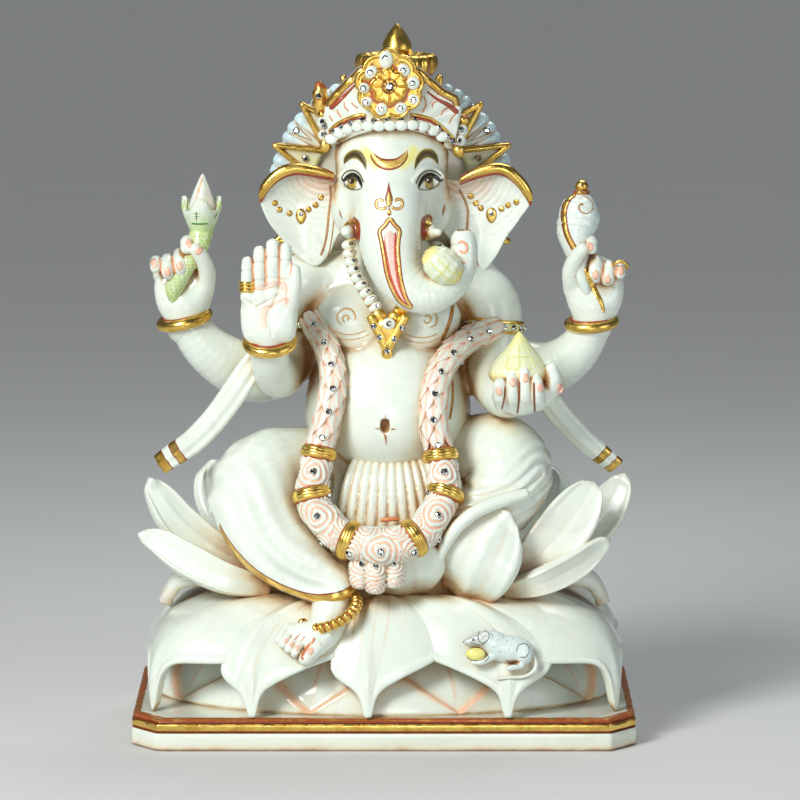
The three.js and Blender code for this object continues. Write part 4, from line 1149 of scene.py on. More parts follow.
def lower_petals():
    """Ten down-turned petals: eight patches of the apron and two curls at the sides."""
    skirt = Skirt()
    whole = skirt.run[-1]
    wide, rows = 121, 64
    v = np.sin(np.linspace(-1, 1, wide) * math.pi / 2)
    t = np.linspace(0, 1, rows)[:, None]
    for order, (name, drip, one, other, arched, pinch, raised) in enumerate((
            ("front", (-2, -82.5), (-28, -82), (31, -82), (False, False), (0.50, 0.50), 2.2),
            ("front_right", (-70.6, -82), (-88, -82), (-15, -82), (False, False), (0.35, 0), 1.1),
            ("front_left", (66, -82), (17, -82), (91, -82), (False, False), (0, 0.35), 1.1),
            ("corner_right", (-129, -66), (-130, 6), (-74, -82), (True, True), (0, 0), 0.0),
            ("corner_left", (129, -66), (75, -82), (130, 6), (True, True), (0, 0), 0.0),
            ("back", (0, 82), (42, 82), (-42, 82), (False, False), (0.45, 0.45), 1.6),
            ("back_right", (-129, 64), (-34, 82), (-130, 2), (True, True), (0, 0), 0.0),
            ("back_left", (129, 64), (130, 2), (34, 82), (True, True), (0, 0), 0.0))):
        u0 = skirt.where(*drip)
        left = (skirt.where(*one) - u0 + whole / 2) % whole - whole / 2
        right = (skirt.where(*other) - u0 + whole / 2) % whole - whole / 2
        d = np.where(v < 0, -v * left, v * right)[None]
        out_by = np.clip(np.abs(d) - 2.0, 0, None)
        leaf_low = (PETAL_FOOT + 11.5 * (1 - np.exp(-out_by / 1.9)) + 0.60 * out_by - 0.0035 * out_by**2
                    + 4.0 * np.abs(v) ** 8)
        arch_low = PETAL_FOOT + 27.0 * (1 - np.exp(-out_by / 4.2)) + 1.5 * np.abs(v) ** 3
        low = np.where(np.where(v < 0, arched[0], arched[1])[None], arch_low, np.minimum(leaf_low, 50))
        h = 0.02 + (skirt.level(low) - 0.02) * t
        tuck = np.where(v < 0, pinch[0], pinch[1]) * np.abs(v)
        upward = 1 - (h / skirt.level(46)).clip(0, 1)
        bulge = (1 + 0.10 * np.sin(h / skirt.level(44) * math.pi).clip(0, 1) * np.abs(v)
                 - tuck * (1 - np.sqrt(1 - upward**2)))
        u = u0 + d * bulge
        base = skirt.at(u, h)
        slope_u = unit(skirt.at(u + 0.5, h) - skirt.at(u - 0.5, h))
        slope_h = unit(skirt.at(u, h + 0.004) - skirt.at(u, h - 0.004))
        up = unit(np.cross(slope_u, slope_h))
        up *= np.sign((up * (base - (0, 0, 20))).sum(-1))[..., None]
        swell = step01(h, 0.0, 0.35)
        fold = np.cos(v * math.pi * 2.4 + 0.5 + 2.2 * h + order) * (1 - v**4) * 0.5 * swell
        dome = ((1 - np.abs(v) ** 2.6) * (3.2 + 0.4 * (order % 3)) * swell + fold
                + raised * (0.35 + 0.65 * swell))
        dome += 1.6 * np.exp(-(d / 3.2) ** 2) * step01(h, 0.55, 0.9) - 1.4 * (1 - swell)
        lip = 0.8 * np.exp(-((t - 0.965) / 0.03) ** 2) * (1 - np.exp(-(d / 5) ** 2))
        rim = np.sqrt(np.clip(1 - np.abs(v) ** 10, 0, 1)) * np.ones_like(h)
        thick = (2.6 * rim + 0.35) * np.sqrt(np.clip(1 - ((t - 0.5) * 2).clip(0, 1) ** 14, 0.03, 1))
        top = base + up * (dome + lip - 2.2)[..., None]
        under = base + up * (dome - 2.2 - 2 * thick)[..., None]
        rings = np.concatenate([top, under[:, ::-1]], 1)
        # painted shade at the root under the upper petals, along the edges and in the fold troughs; the five
        # lines below are painted veins
        tint_and_shade = (0.62 * step01(-h, -0.20, 0) + 0.55 * step01(np.abs(v), 0.965, 1.0)
                + 0.16 * np.clip(-fold / 0.5 - 0.3, 0, 1) * swell)
        size = np.abs(np.where(v < 0, left, right))[None]
        for v0, v1, h0, h1 in ((-0.78, -0.26, 0.10, 0.88), (-0.42, -0.05, 0.06, 0.96),
                               (0.06, 0.02, 0.10, 0.98), (0.40, 0.08, 0.08, 0.93), (0.80, 0.30, 0.12, 0.86)):
            k = ((t - h0) / (h1 - h0)).clip(0, 1)
            away = (v[None] - (v0 + (v1 - v0) * k**1.6)) * size
            tint_and_shade = tint_and_shade + 0.40 * np.exp(-(away / 0.8) ** 2) * np.sin(math.pi * k) ** 0.5 * (t > h0) * (t < h1)
        # painted shade: the underside darker all over
        tint_and_shade = np.concatenate([tint_and_shade, np.full_like(tint_and_shade, 0.28)], 1)
        points, faces = skin(rings, closed_ends="zip")
        name = "lotus_lower_" + name
        add(name, points, faces, STONE, (name.replace("lotus_", "", 1).replace("lower_", "lower_petal_"),),
            marks={"stain": tint_and_shade.ravel()})
    for side, m in (("right", -1), ("left", 1)):
        petal("lotus_curl_" + side, "lower_petal_side_" + side,
              [(68 * m, 2, 72, 20, 4.6), (86 * m, 0, 79, 19, 4.4), (102 * m, -2, 81.5, 17, 4.2),
               (112.5 * m, -3, 78.5, 14, 4.0), (117.5 * m, -4, 71.5, 10, 3.6), (119.5 * m, -4, 65.5, 6, 3.2)],
              (0, 1, 0), m * -2, ridges=1.2, tip_colour=0.3, out=-m)


def upper_petals():
    """Ten up-turned petals, each along its own spine."""
    def one(name, spine, half, across, grip=3.4, lip=2.2):
        """A petal up a spine of points, its outline oval and its tip blunt and rolled outwards."""
        path = evenly(spline(np.array(spine, float), 10), 26)
        t = np.linspace(0, 1, len(path))
        left = np.linalg.norm(np.diff(path, axis=0), axis=1).sum() * (1 - t)
        cap = np.sqrt(np.clip(1 - (1 - np.clip(left / 3.6, 0, 1)) ** 2, 0.03, 1))
        wide = (half * np.where(t < 0.55, 0.62 + 0.38 * np.sin(math.pi / 2 * t / 0.55),
                                np.sqrt(np.clip(1 - ((t - 0.55) / 0.455) ** 2, 0, 1))))
        rows = np.c_[path, np.maximum(wide, 3.2) * cap, grip * (1 - 0.30 * t) * cap]
        petal("lotus_upper_" + name, "upper_petal_" + name, rows, across, 4, ridges=1.0, rim=lip,
              lip_wide=0.15, keel=0.4, out=-1.0, tip_colour=0.05, root=0.3)

    one("front", [(8, -44, 78), (8, -60, 90), (7, -66, 102), (6, -68, 112)], 25, (1, 0, 0))
    one("front_left", [(43, -44, 77), (47, -58, 89), (51, -62, 100), (56, -60.5, 110), (62, -58, 118),
                       (68, -56, 123)], 22, (0.86, -0.1, -0.50))
    roll = Mesh()
    rail(roll, [(27, -60, 92, 2.6), (31, -62.5, 104, 3.2), (37, -63.5, 114.5, 3.6), (46, -62.5, 123, 3.8),
                (57, -60, 128.5, 3.8), (68, -57, 131.5, 3.6), (76, -54.5, 133.5, 3.0)], 1.0, 16, stain=0.1)
    roll.done("lotus_upper_front_left_rim", STONE, (), "marble")
    one("left_low", [(64, -44, 80), (84, -52, 86), (102, -48, 94), (114, -42, 102), (121, -38, 106)], 8.2,
        (-0.45, -0.35, 0.82), grip=3.8, lip=2.4)
    one("left_mid", [(66, -38, 84), (84, -44, 98), (98, -40, 114), (108, -34, 128), (113, -30, 136)], 14.5,
        (-0.78, 0.1, 0.6), lip=2.8)
    one("left_outer", [(78, -12, 88), (100, -14, 98), (116, -12, 112), (126, -8, 126), (131, -6, 137)], 12.0,
        (-0.7, 0.4, 0.6), lip=2.6)
    one("right_outer", [(-70, -16, 86), (-92, -22, 98), (-110, -20, 112), (-121, -17, 126), (-128, -14, 135)],
        10.8, (0.55, 0.5, 0.68), lip=3.0)
    one("right_low", [(-62, -38, 80), (-84, -46, 86), (-106, -42, 96), (-122, -36, 105), (-132, -32, 107)],
        9.2, (0.30, 0.35, 0.88), grip=3.8, lip=2.8)
    one("back_right", [(-50, 28, 84), (-72, 38, 100), (-88, 44, 120), (-97, 46, 136)], 24, (0.6, 0.8, 0.1))
    one("back_left", [(50, 28, 84), (72, 38, 100), (86, 46, 118), (93, 50, 133)], 24, (0.6, -0.8, 0.1))
    one("back", [(0, 40, 84), (0, 56, 98), (0, 66, 114), (0, 72, 131)], 36, (1, 0, 0))


# ---------------------------------------------------------------- stones, rails and leaves
def basis(normal):
    """Two directions square to the normal, and the normal."""
    n = unit(normal)
    a = unit(np.cross((0, 0, 1) if abs(n[2]) < 0.95 else (1, 0, 0), n))
    return a, np.cross(n, a), n


def gem(out, at, normal, r=1.7):
    """A brilliant-cut rhinestone: eight-sided table, crown facets and a foil point."""
    a, b, n = basis(normal)
    rings = []
    for scale, height, turn_by in ((0.55, 0.62, 0.0), (0.86, 0.40, 0.5), (1.0, 0.12, 0.0), (1.0, 0.0, 0.5),
                                   (0.2, -0.45, 0.0)):
        t = (np.arange(8) + turn_by) / 8 * 2 * math.pi
        rings.append(at + r * (scale * (np.outer(np.cos(t), a) + np.outer(np.sin(t), b)) + height * n))
    points, faces = skin(np.array(rings[::-1]))
    out.put(points, faces)


def lump(out, at, normal, size, spin=0.0, **marks):
    """An oval button whose third radius stands along the normal."""
    a, b, n = basis(normal)
    points, faces = globe((0, 0, 0), size, wide=16, high=10)
    c, s = math.cos(math.radians(spin)), math.sin(math.radians(spin))
    x, y = points[:, 0] * c - points[:, 1] * s, points[:, 0] * s + points[:, 1] * c
    out.put(at + np.outer(x, a) + np.outer(y, b) + np.outer(points[:, 2], n), faces, **marks)


def leaf(out, at, along, normal, length, width, thick, curl=0.8, rim=0.9):
    """A small pointed leaf lying along a rope, its edge and midrib tinted."""
    n = unit(normal)
    t = unit(along - (along @ n) * n)
    a = np.cross(t, n)
    rings, rose = [], []
    for k in np.linspace(0, 1, 10):
        half = width / 2 * math.sin(math.pi * min(0.97, 0.12 + 0.88 * k)) ** 0.75 * (1 - 0.25 * k)
        w = np.array([-1, -0.8, -0.4, 0, 0.4, 0.8, 1, 0.5, 0, -0.5])
        up = (np.array([0, 0.45, 0.85, 0.72, 0.85, 0.45, 0, -0.5, -0.6, -0.5]) * thick
              * (0.4 + 0.6 * math.sin(math.pi * (0.15 + 0.75 * k))))
        lift = curl * k * k
        rings.append(at + t * length * (k - 0.35) + np.outer(w * half, a) + np.outer(up + lift, n))
        rose.append(np.array([rim, 0.55, 0, 0.75, 0, 0.55, rim, 0.5, 0.5, 0.5]) + (0.5 if k > 0.93 else 0))
    points, faces = skin(np.array(rings))
    out.put(points, faces, rose=np.r_[np.concatenate(rose), 0.4, 1.0])


def rail(out, line, r, sides=8, **marks):
    """A tube of radius r along (x, y, z) or (x, y, z, radius factor) rows."""
    rows = np.array([(*p[:3], p[3] if len(p) > 3 else 1.0) for p in line], float)
    path = spline(rows, 5)
    path[:, 3] *= r
    points, faces = tube(path, sides)
    out.put(points, faces, **marks)


def hoop(out, centre, radius, tube_r, axis, beads=0, swell=0.0, sides=12, around=72, **marks):
    """A ring round axis; beads and swell string it with lumps, dark in the seams."""
    a, b, n = basis(axis)
    t = np.arange(around) / around * 2 * math.pi
    k = 1 + swell * (np.abs(np.sin(t * beads / 2)) ** 0.7 - 0.5 if beads else 0 * t)
    rings = []
    for ang, kk in zip(t, k):
        out_dir = math.cos(ang) * a + math.sin(ang) * b
        ring = np.arange(sides) / sides * 2 * math.pi
        rings.append(np.array(centre) + out_dir * radius
                     + np.outer(np.cos(ring) * tube_r * kk, unit(out_dir))
                     + np.outer(np.sin(ring) * tube_r * kk, n))
    points, faces = skin(np.array(rings), loop=True)
    if beads:
        seam = np.repeat(np.abs(np.sin(t * beads / 2)) < 0.35, sides).astype(float)
        marks["stain"] = seam
    out.put(points, faces, **marks)


# ---------------------------------------------------------------- head-dress
CROWN_AT = np.array([5.0, -2.0])
CROWN_RIBS, RIM_LOBES = 13, 9
PANEL = [(-30, 318), (-32.5, 331), (-30.5, 341.5), (-22.5, 350), (-14, 358.5), (3.2, 366), (19.5, 358.5),
         (31, 348), (39.5, 343), (41.5, 336), (38, 318), (24, 325), (4, 329), (-16, 325)]


def inside_panel(p):
    """Signed distance to the front panel's outline in X and Z."""
    v = np.array(PANEL, float)
    q = p[:, (0, 2)]
    best, sign = np.full(len(q), 1e9), np.ones(len(q))
    for a, b in zip(v, np.roll(v, 1, axis=0)):
        e, w = b - a, q - a
        k = w - np.clip((w @ e) / (e @ e), 0, 1)[:, None] * e
        best = np.minimum(best, (k**2).sum(1))
        c1, c2, c3 = q[:, 1] >= a[1], q[:, 1] < b[1], e[0] * w[:, 1] > e[1] * w[:, 0]
        sign = np.where((c1 & c2 & c3) | (~c1 & ~c2 & ~c3), -sign, sign)
    return np.sqrt(best) * sign


def panel_front(p):
    """Y of the front panel's bowed face."""
    return -33.5 + (p[:, 0] - 4) ** 2 * 0.0085


def panel_fan(p):
    """0 in the cuts that fan out over the front panel, towards 1 between them."""
    return np.abs(np.sin(np.arctan2(p[:, 0] - 3.2, p[:, 2] - 322) * 11))


def crown(p):
    """A ribbed drum with a bowed, fluted panel on its front."""
    x, y, z = p[:, 0] - CROWN_AT[0], p[:, 1] - CROWN_AT[1], p[:, 2]
    a = np.arctan2(x, -y)
    wall = np.interp(z, (312, 318, 330, 337, 344, 352, 357), (31.5, 34.2, 34.2, 28.5, 23.2, 19.4, 18.4))
    wall = wall + 0.7 * np.abs(np.cos(a * CROWN_RIBS)) ** 0.7 * step01(z, 331, 336)
    foot = 327.5 - 11 * np.clip(np.abs(x) / 31, 0, 1) ** 2 - 5 * step01(y, -14, 6)
    drum = np.maximum((np.hypot(x, y) - wall) * 0.85, np.maximum(foot - z, z - 357))
    slab = np.abs(p[:, 1] - panel_front(p) - 7 + 0.9 * panel_fan(p) ** 0.6 * step01(z, 330, 335)) - 7
    edge = inside_panel(p)
    panel = smin(-np.minimum(-slab, -edge), 60.0, 1.0)
    border = np.exp(-((edge + 1.4) / 1.3) ** 2) * step01(z, 328, 334)
    return smin(drum, panel - 0.8 * border, 2.0)


def crown_marks(p, n):
    """Gold along the panel's edge, red in the cuts and painted shade just inside the panel's edge, under the
    plaque.
    """
    x, y = p[:, 0] - CROWN_AT[0], p[:, 1] - CROWN_AT[1]
    a = np.arctan2(x, -y)
    edge = inside_panel(p)
    front = p[:, 1] < panel_front(p) + 5
    gold = np.where(front & (p[:, 2] > 338), 1.5 - np.abs(edge + 1.5), -5)
    seam = np.exp(-(np.cos(a * CROWN_RIBS) / 0.22) ** 2) * step01(p[:, 2], 334, 338) * (edge > 1)
    rib = np.exp(-(panel_fan(p) / 0.16) ** 2) * (edge < -2) * step01(p[:, 2], 331, 334) * front
    shade = 0.45 * np.exp(-((edge + 4.0) / 1.6) ** 2) * front * (p[:, 2] > 334)
    return {"gold": gold, "rose": 0.7 * rib + 0.5 * seam, "stain": 0.6 * seam * (p[:, 1] > -10) + shade}


RIM_AT = CROWN_AT + (1.7, 0.0)


def crown_rim():
    """The lobed gold ring and the teardrop on top of the crown."""
    out = Mesh()
    profile = [(17.2, 352.0), (19.4, 353.2), (21.0, 356.2), (21.6, 359.6), (21.2, 362.6), (19.8, 364.4),
               (17.6, 364.6), (15.8, 362.8), (11, 362.4), (7.4, 363.6), (6.2, 364.8), (4, 365.0)]
    points, faces = turned(profile, (*RIM_AT, 0), 176,
                           lambda a, i: 1 + (0.085 if 1 < i < 7 else 0.0)
                           * (np.abs(np.cos(a * RIM_LOBES)) ** 0.6 - 0.5))
    z = points[:, 2]
    a = np.arctan2(points[:, 0] - RIM_AT[0], points[:, 1] - RIM_AT[1])
    # painted shade: the rim darker at its foot and in the cuts between its lobes
    out.put(points, faces,
            stain=np.clip(0.9 * step01(-z, -357.4, -353.4) + 0.8 * (np.abs(np.cos(a * RIM_LOBES)) < 0.20)
                          * (z < 363.6), 0, 1))
    out.done("crown_gold_rim", GOLD, (), "gilding")
    out = Mesh()
    profile = spline([(3.0, 363.6), (6.0, 364.2), (7.6, 366.2), (7.9, 368.6), (7.0, 371.8), (5.2, 375.0),
                      (3.2, 377.8), (1.4, 379.9), (0.3, 380.9)], 5)
    points, faces = turned(profile, (7, -2, 0), 40)
    # painted shade: the teardrop darker at its foot, where it sits on the rim
    out.put(points, faces, stain=0.8 * step01(-points[:, 2], -366.0, -364.4))
    out.done("crown_teardrop", GOLD, ("crown_finial",), "gilding")


def plaque():
    """The lobed gold plate on the front of the crown."""
    cx, cz, wide, rows = 3.0, 350.2, 288, 34
    a = np.arange(wide) / wide * 2 * math.pi
    up = np.cos(a - math.pi / 2)
    rim = (16.7 + 2.0 * np.abs(np.cos((a - math.pi / 2) * 4.5)) ** 0.8 + 1.6 * np.clip(up, 0, 1) ** 10
           - 0.4 * np.clip(-up, 0, 1) ** 4)
    rings, stain = [], []
    for k in np.linspace(0.02, 1, rows):
        r = rim * k
        edge = np.exp(-((rim - r - 0.9) / 0.85) ** 2)
        petal_edge = 8.6 + 1.3 * np.abs(np.cos(a * 4))
        flower = (step01(petal_edge - r, 0.0, 1.0) * (1.5 - 0.55 * np.exp(-(np.sin(a * 4) / 0.25) ** 2))
                  - 0.9 * step01(-r, -4.2, -3.2))
        y = -37.4 - 1.7 * edge - 1.7 * flower + 0.004 * r * r
        rings.append(np.stack([cx + np.cos(a) * r, y, cz + np.sin(a) * r], 1))
        # red-brown in the pits round the flower and along the spokes between the lobes: partly red paint,
        # partly painted shade in the recesses
        pit = np.exp(-((r - petal_edge - 1.2) / 1.1) ** 2) + 0.8 * np.exp(-((r - 3.9) / 0.5) ** 2)
        spoke = (0.8 * np.exp(-(np.sin((a - math.pi / 2) * 4.5) / 0.35) ** 2) * step01(r, 11, 12.5)
                 * step01(-r, -15.8, -15))
        stain.append(np.clip(pit + spoke, 0, 1))
    rings = np.array(rings)
    back = rings[::-1].copy()
    back[..., 1] = -32.0
    body_rings = np.concatenate([rings, back])
    points, faces = skin(body_rings)
    points[-2], points[-1] = (cx, -37.0, cz), (cx, -32.0, cz)
    tint_and_shade = np.r_[np.concatenate(stain), np.full(wide * rows, 0.6), 0.4, 0.4]
    add("crown_gold_plaque", points, faces, GOLD, ("crown_plaque",), "gilding", marks={"stain": tint_and_shade})


def beads_and_stones():
    """Pearls, rhinestones, buds and painted lines of the crown."""
    front = View("crown_carved", "crown_gold_plaque", "elephant_head")
    white, stones, gold = Mesh(), Mesh(), Mesh()
    for (u, v), size, spin in (((1.0, 361.1), (3.4, 4.6, 1.8), 0), ((-7.1, 354.3), (2.8, 3.4, 1.6), -35),
                               ((10.8, 355.4), (2.8, 3.4, 1.6), 35), ((-10.9, 345.7), (2.7, 2.5, 1.4), 0),
                               ((15.7, 348.4), (3.2, 3.2, 1.5), 0), ((-9.8, 338.1), (3.2, 2.4, 1.4), 25),
                               ((16.2, 339.4), (3.2, 2.5, 1.4), -25), ((-1.4, 334.3), (2.8, 3.2, 1.4), -15),
                               ((9.1, 334.8), (3.0, 3.0, 1.4), 15)):
        at, _ = front.drop(u, v)
        n = np.array([0, -1.0, 0.0])
        lump(white, at + n * 0.1, n, tuple(1.14 * s for s in size), spin, stain=0.0, blue=0.12)
        shift = 1.0 if size[1] > 4 else 0.0
        gem(stones, at + n * (size[2] - 0.2) + np.array([-0.4, 0, shift]), n, 1.75)
    at, _ = front.drop(2.9, 346.5)
    gem(stones, at + np.array([0, -0.5, 0]), (0, -1, 0), 2.6)
    for u, v in ((-32.1, 325.2), (-32.1, 317.7), (-27.5, 322.1), (-23.2, 325.0), (-18.0, 326.8),
                 (-11.3, 328.4), (-5.5, 328.2), (1.3, 328.7), (8.8, 328.8), (16.2, 328.7), (29.4, 324.2),
                 (34.3, 319.6), (37.2, 316.9), (39.5, 313.9), (40.9, 321.2)):
        at, n = front.drop(u, v)
        if at is not None:
            n = unit(n + np.array([0, -1.2, 0]))
            gem(stones, at + n * 1.0, n, 1.55)
    for u, v in ((-28.8, 318.0), (-24.8, 321.5), (-19.9, 323.4), (-14.5, 324.7), (-8.8, 325.0), (-2.8, 325.0),
                 (3.2, 325.2), (9.4, 325.4), (15.4, 325.6), (21.1, 324.7), (26.5, 322.7), (31.4, 319.4),
                 (35.5, 315.3)):
        at, n = front.drop(u, v)
        if at is not None:
            n = unit(n + np.array([0, -0.8, 0]))
            lump(white, at + n * 0.1, n, (3.5, 2.9, 1.35), 0, blue=0.18, stain=0.12)
    for x, y, z, size in ((-32.4, -20, 329.4, (3.5, 3.4, 3.7)), (41.2, -18, 325, (3.9, 3.6, 3.8)),
                          (-32.0, -20.5, 322.6, (3.3, 3.2, 3.4)), (40.4, -19.5, 319.4, (3.7, 3.4, 3.5))):
        points, faces = globe((x, y, z), size, wide=20, high=14)
        # painted shade: the side beads darker on their lower halves
        white.put(points, faces, stain=0.25 * step01(-points[:, 2], -z, -z + 4))
    white.done("crown_white_beads", STONE, (), "marble")
    points, faces = globe((-34.2, -17, 341.5), (4.3, 3.6, 9.8), wide=20, high=16)
    rise = points[:, 2] - 341.5
    points[:, 0] += 0.5 * np.cos(rise * 1.1)
    gold.put(points, faces, stain=np.clip(0.85 * step01(rise, 3, 7) + 0.6 * (np.cos(rise * 2.1) > 0.75), 0,
                                          1))
    for x, y, z, size in ((42.8, -18.5, 330.4, (3.0, 2.8, 2.6)), (-31.6, -21, 317.0, (2.9, 2.8, 4.0)),
                          (40.0, -20, 314.2, (3.4, 3.0, 3.8)), (-32.8, -20, 333.6, (2.8, 2.6, 2.2))):
        points, faces = globe((x, y, z), size, wide=16, high=10)
        gold.put(points, faces, stain=0.75 * step01(points[:, 2], z - 1, z + size[2]))
    gold.done("crown_side_buds", GOLD, (), "gilding")
    for at in ((-35.0, -20.8, 343.5), (-32.8, -23.4, 330), (-32.2, -23.8, 323.2), (41.4, -21.6, 325.6),
               (40.2, -23.0, 319.8)):
        gem(stones, np.array(at), (0.1 * np.sign(at[0]), -1, 0.1), 1.6)
    stones.done("crown_stones", CRYSTAL, (), "gilding", smooth=False)
    lines, red = Mesh(), Mesh()
    arc_left = [(-29.9, 322.1), (-26.1, 325.9), (-20.7, 328.8), (-15.3, 330.7), (-9.8, 331.2)]
    arc_right = [(14.0, 331.2), (18.9, 330.7), (24.9, 329.1), (29.2, 326.4), (34.1, 322.1), (39.5, 316.1)]
    for arc in (arc_left, arc_right):
        stroke(lines, front, arc, 1.7, lift=0.9)
        stroke(red, front, [(u, v - 1.5) for u, v in arc], 1.6, lift=0.5)
    for arc in ([(-15.8, 347.4), (-20.0, 343.0), (-24.6, 338.6), (-29.6, 334.4)],
                [(23.0, 344.0), (28.8, 339.6), (34.8, 336.4), (40.2, 332.0)]):
        stroke(red, front, [(u, v, 0.4 + 0.3 * i) for i, (u, v) in enumerate(arc)], 2.4, lift=0.3)
    ochre = Mesh()
    for line in ([(-21.8, 339.2), (-21.4, 335.6), (-19.1, 332.9)],
                 [(-25.6, 334.3), (-24.6, 331.4), (-22.9, 329.4)], [(-29.9, 331.0), (-27.7, 327.2)],
                 [(-18.0, 338.0), (-15.6, 335.6), (-14.0, 335.2)],
                 [(26.0, 334.8), (26.4, 337.2), (28.7, 338.6)], [(30.8, 330.5), (32.2, 333.6), (35.2, 335.3)],
                 [(35.2, 326.1), (36.6, 329.4), (39.5, 332.1)],
                 [(21.4, 341.6), (22.6, 337.0), (20.6, 331.8)]):
        stroke(ochre, front, line, 0.75, lift=0.14)
    ochre.done("crown_ochre_lines", TOE_LINE, (), "gilding")
    stroke(red, front, [(-29.9, 317.4), (-27.7, 319.1), (-22.3, 321.0), (-17.4, 322.3), (-11.5, 322.9),
                        (-6.0, 322.8), (-0.1, 322.8), (6.4, 323.0), (12.4, 323.2), (18.4, 322.9),
                        (23.8, 321.2), (28.7, 318.0), (33.6, 313.7)], 0.9, lift=0.25)
    lines.done("crown_gold_arc", GOLD, (), "gilding")
    red.done("crown_red_lines", RED, (), "gilding")


# ---------------------------------------------------------------- ears and halo
RIGHT_EAR = [(-14, 300), (-31, 300.5), (-50, 303.5), (-60, 298), (-66.5, 288), (-63, 276), (-56, 266),
             (-48, 257), (-38, 250), (-30, 256), (-25, 266), (-16, 278)]
LEFT_EAR = [(22, 300), (42, 297), (60, 303.5), (71, 298), (79, 287), (73, 276), (66, 266),
            (60, 255), (52, 247), (43, 253), (36, 264), (26, 278)]


def ear(name, node, outline, centre, m):
    """A cupped ear whose rings shrink to centre; m is the side of the head it is on."""
    loop = spline(np.vstack([outline, outline[:1]]), 12)[:-1]
    rim = evenly(np.vstack([loop, loop[:1]]), 145)[:-1]
    c = np.array(centre, float)
    front, back, stain, rose = [], [], [], []
    for k in np.linspace(0.03, 1, 30):
        q = c + (rim - c) * k
        up = step01(q[:, 1], 262, 300)
        cup = 5.4 * k**3 * (0.35 + 0.65 * up) + 2.2 * step01(q[:, 0] * m, abs(c[0]) - 2, abs(c[0]) + 24)
        arcs = np.linalg.norm(q - np.array([c[0] - 10 * m, c[1] + 22]), axis=1)
        ripple = (0.05 + 0.22 * up) * np.cos(arcs * 1.9) * step01(k, 0.1, 0.3) * (1 - step01(k, 0.85, 1))
        lobe = (1.2 * np.exp(-((q[:, 0] * m - abs(c[0]) + 3 + (c[1] - q[:, 1]) * 0.22) / 3.5) ** 2)
                * step01(-q[:, 1], -276, -262))
        y = -4.6 - cup - ripple - lobe
        edge = math.sqrt(max(0.0, 1 - k**14))
        front.append(np.stack([q[:, 0], y - 0.9 * edge, q[:, 1]], 1))
        back.append(np.stack([q[:, 0], y + 1.0 + 2.4 * edge, q[:, 1]], 1))
        hot = np.exp(-((arcs - 6) / 13) ** 2) * up
        rose.append(np.clip(0.62 * hot * (1 - k**6), 0, 1))
        stain.append(np.clip(0.30 * (np.cos(arcs * 1.9) < -0.55) * up * (1 - k**5) + 0.35 * hot, 0, 1))
    rings = np.array(front + back[::-1])
    points, faces = skin(rings)
    points[-2], points[-1] = rings[0].mean(0), rings[-1].mean(0)
    n = len(rim)
    plain = np.zeros(n * len(back) + 2)
    # painted shade: the backs of the ears darker all over; the ripple troughs on the front are darker too
    add(name, points, faces, STONE, (node,), marks={"stain": np.r_[np.concatenate(stain), plain + 0.12],
                                                    "rose": np.r_[np.concatenate(rose), plain]})


def ears():
    """Both ears, with the gold ridges and red edges on top of them."""
    ear("ear_right", "right_ear", RIGHT_EAR, (-43, 281), -1)
    ear("ear_left", "left_ear", LEFT_EAR, (52, 279), 1)
    gold, red = Mesh(), Mesh()
    for path in ([(-27, -13.5, 299.6, 0.35), (-32, -13.6, 301.4, 0.8), (-39, -13.4, 303.0, 1),
                  (-47, -13.2, 304.0, 1.05), (-54, -13.2, 302.4, 1.15), (-60, -13, 298.4, 1.1),
                  (-64.4, -12.6, 293, 1.0), (-66.4, -12, 288, 0.5)],
                 [(41, -12.4, 297.6, 0.35), (47, -12.8, 300.6, 0.8), (54, -13.2, 303.0, 1),
                  (61, -13.6, 304.2, 1.05), (67, -13.4, 302.4, 1.15), (72.5, -13, 297.6, 1.1),
                  (76.8, -12.6, 291.6, 1.0), (79, -12, 286.5, 0.5)]):
        rail(gold, path, 2.5, 14)
        low = [(x, y + 0.7, z - 2.4, k) for x, y, z, k in path]
        high = [(x * 1.004, y + 1.6, z + 1.4, k * 0.9) for x, y, z, k in path]
        rail(red, low, 1.5, 10)
        rail(red, high, 1.5, 10)
    gold.done("ear_gold_ridges", GOLD, (), "gilding")
    red.done("ear_red_edges", RED, (), "gilding")


# centre in X and Z, radius, and leaves of the star
HALO_AT, HALO_R, LEAVES = np.array([4.0, 286.0]), 68.0, 16


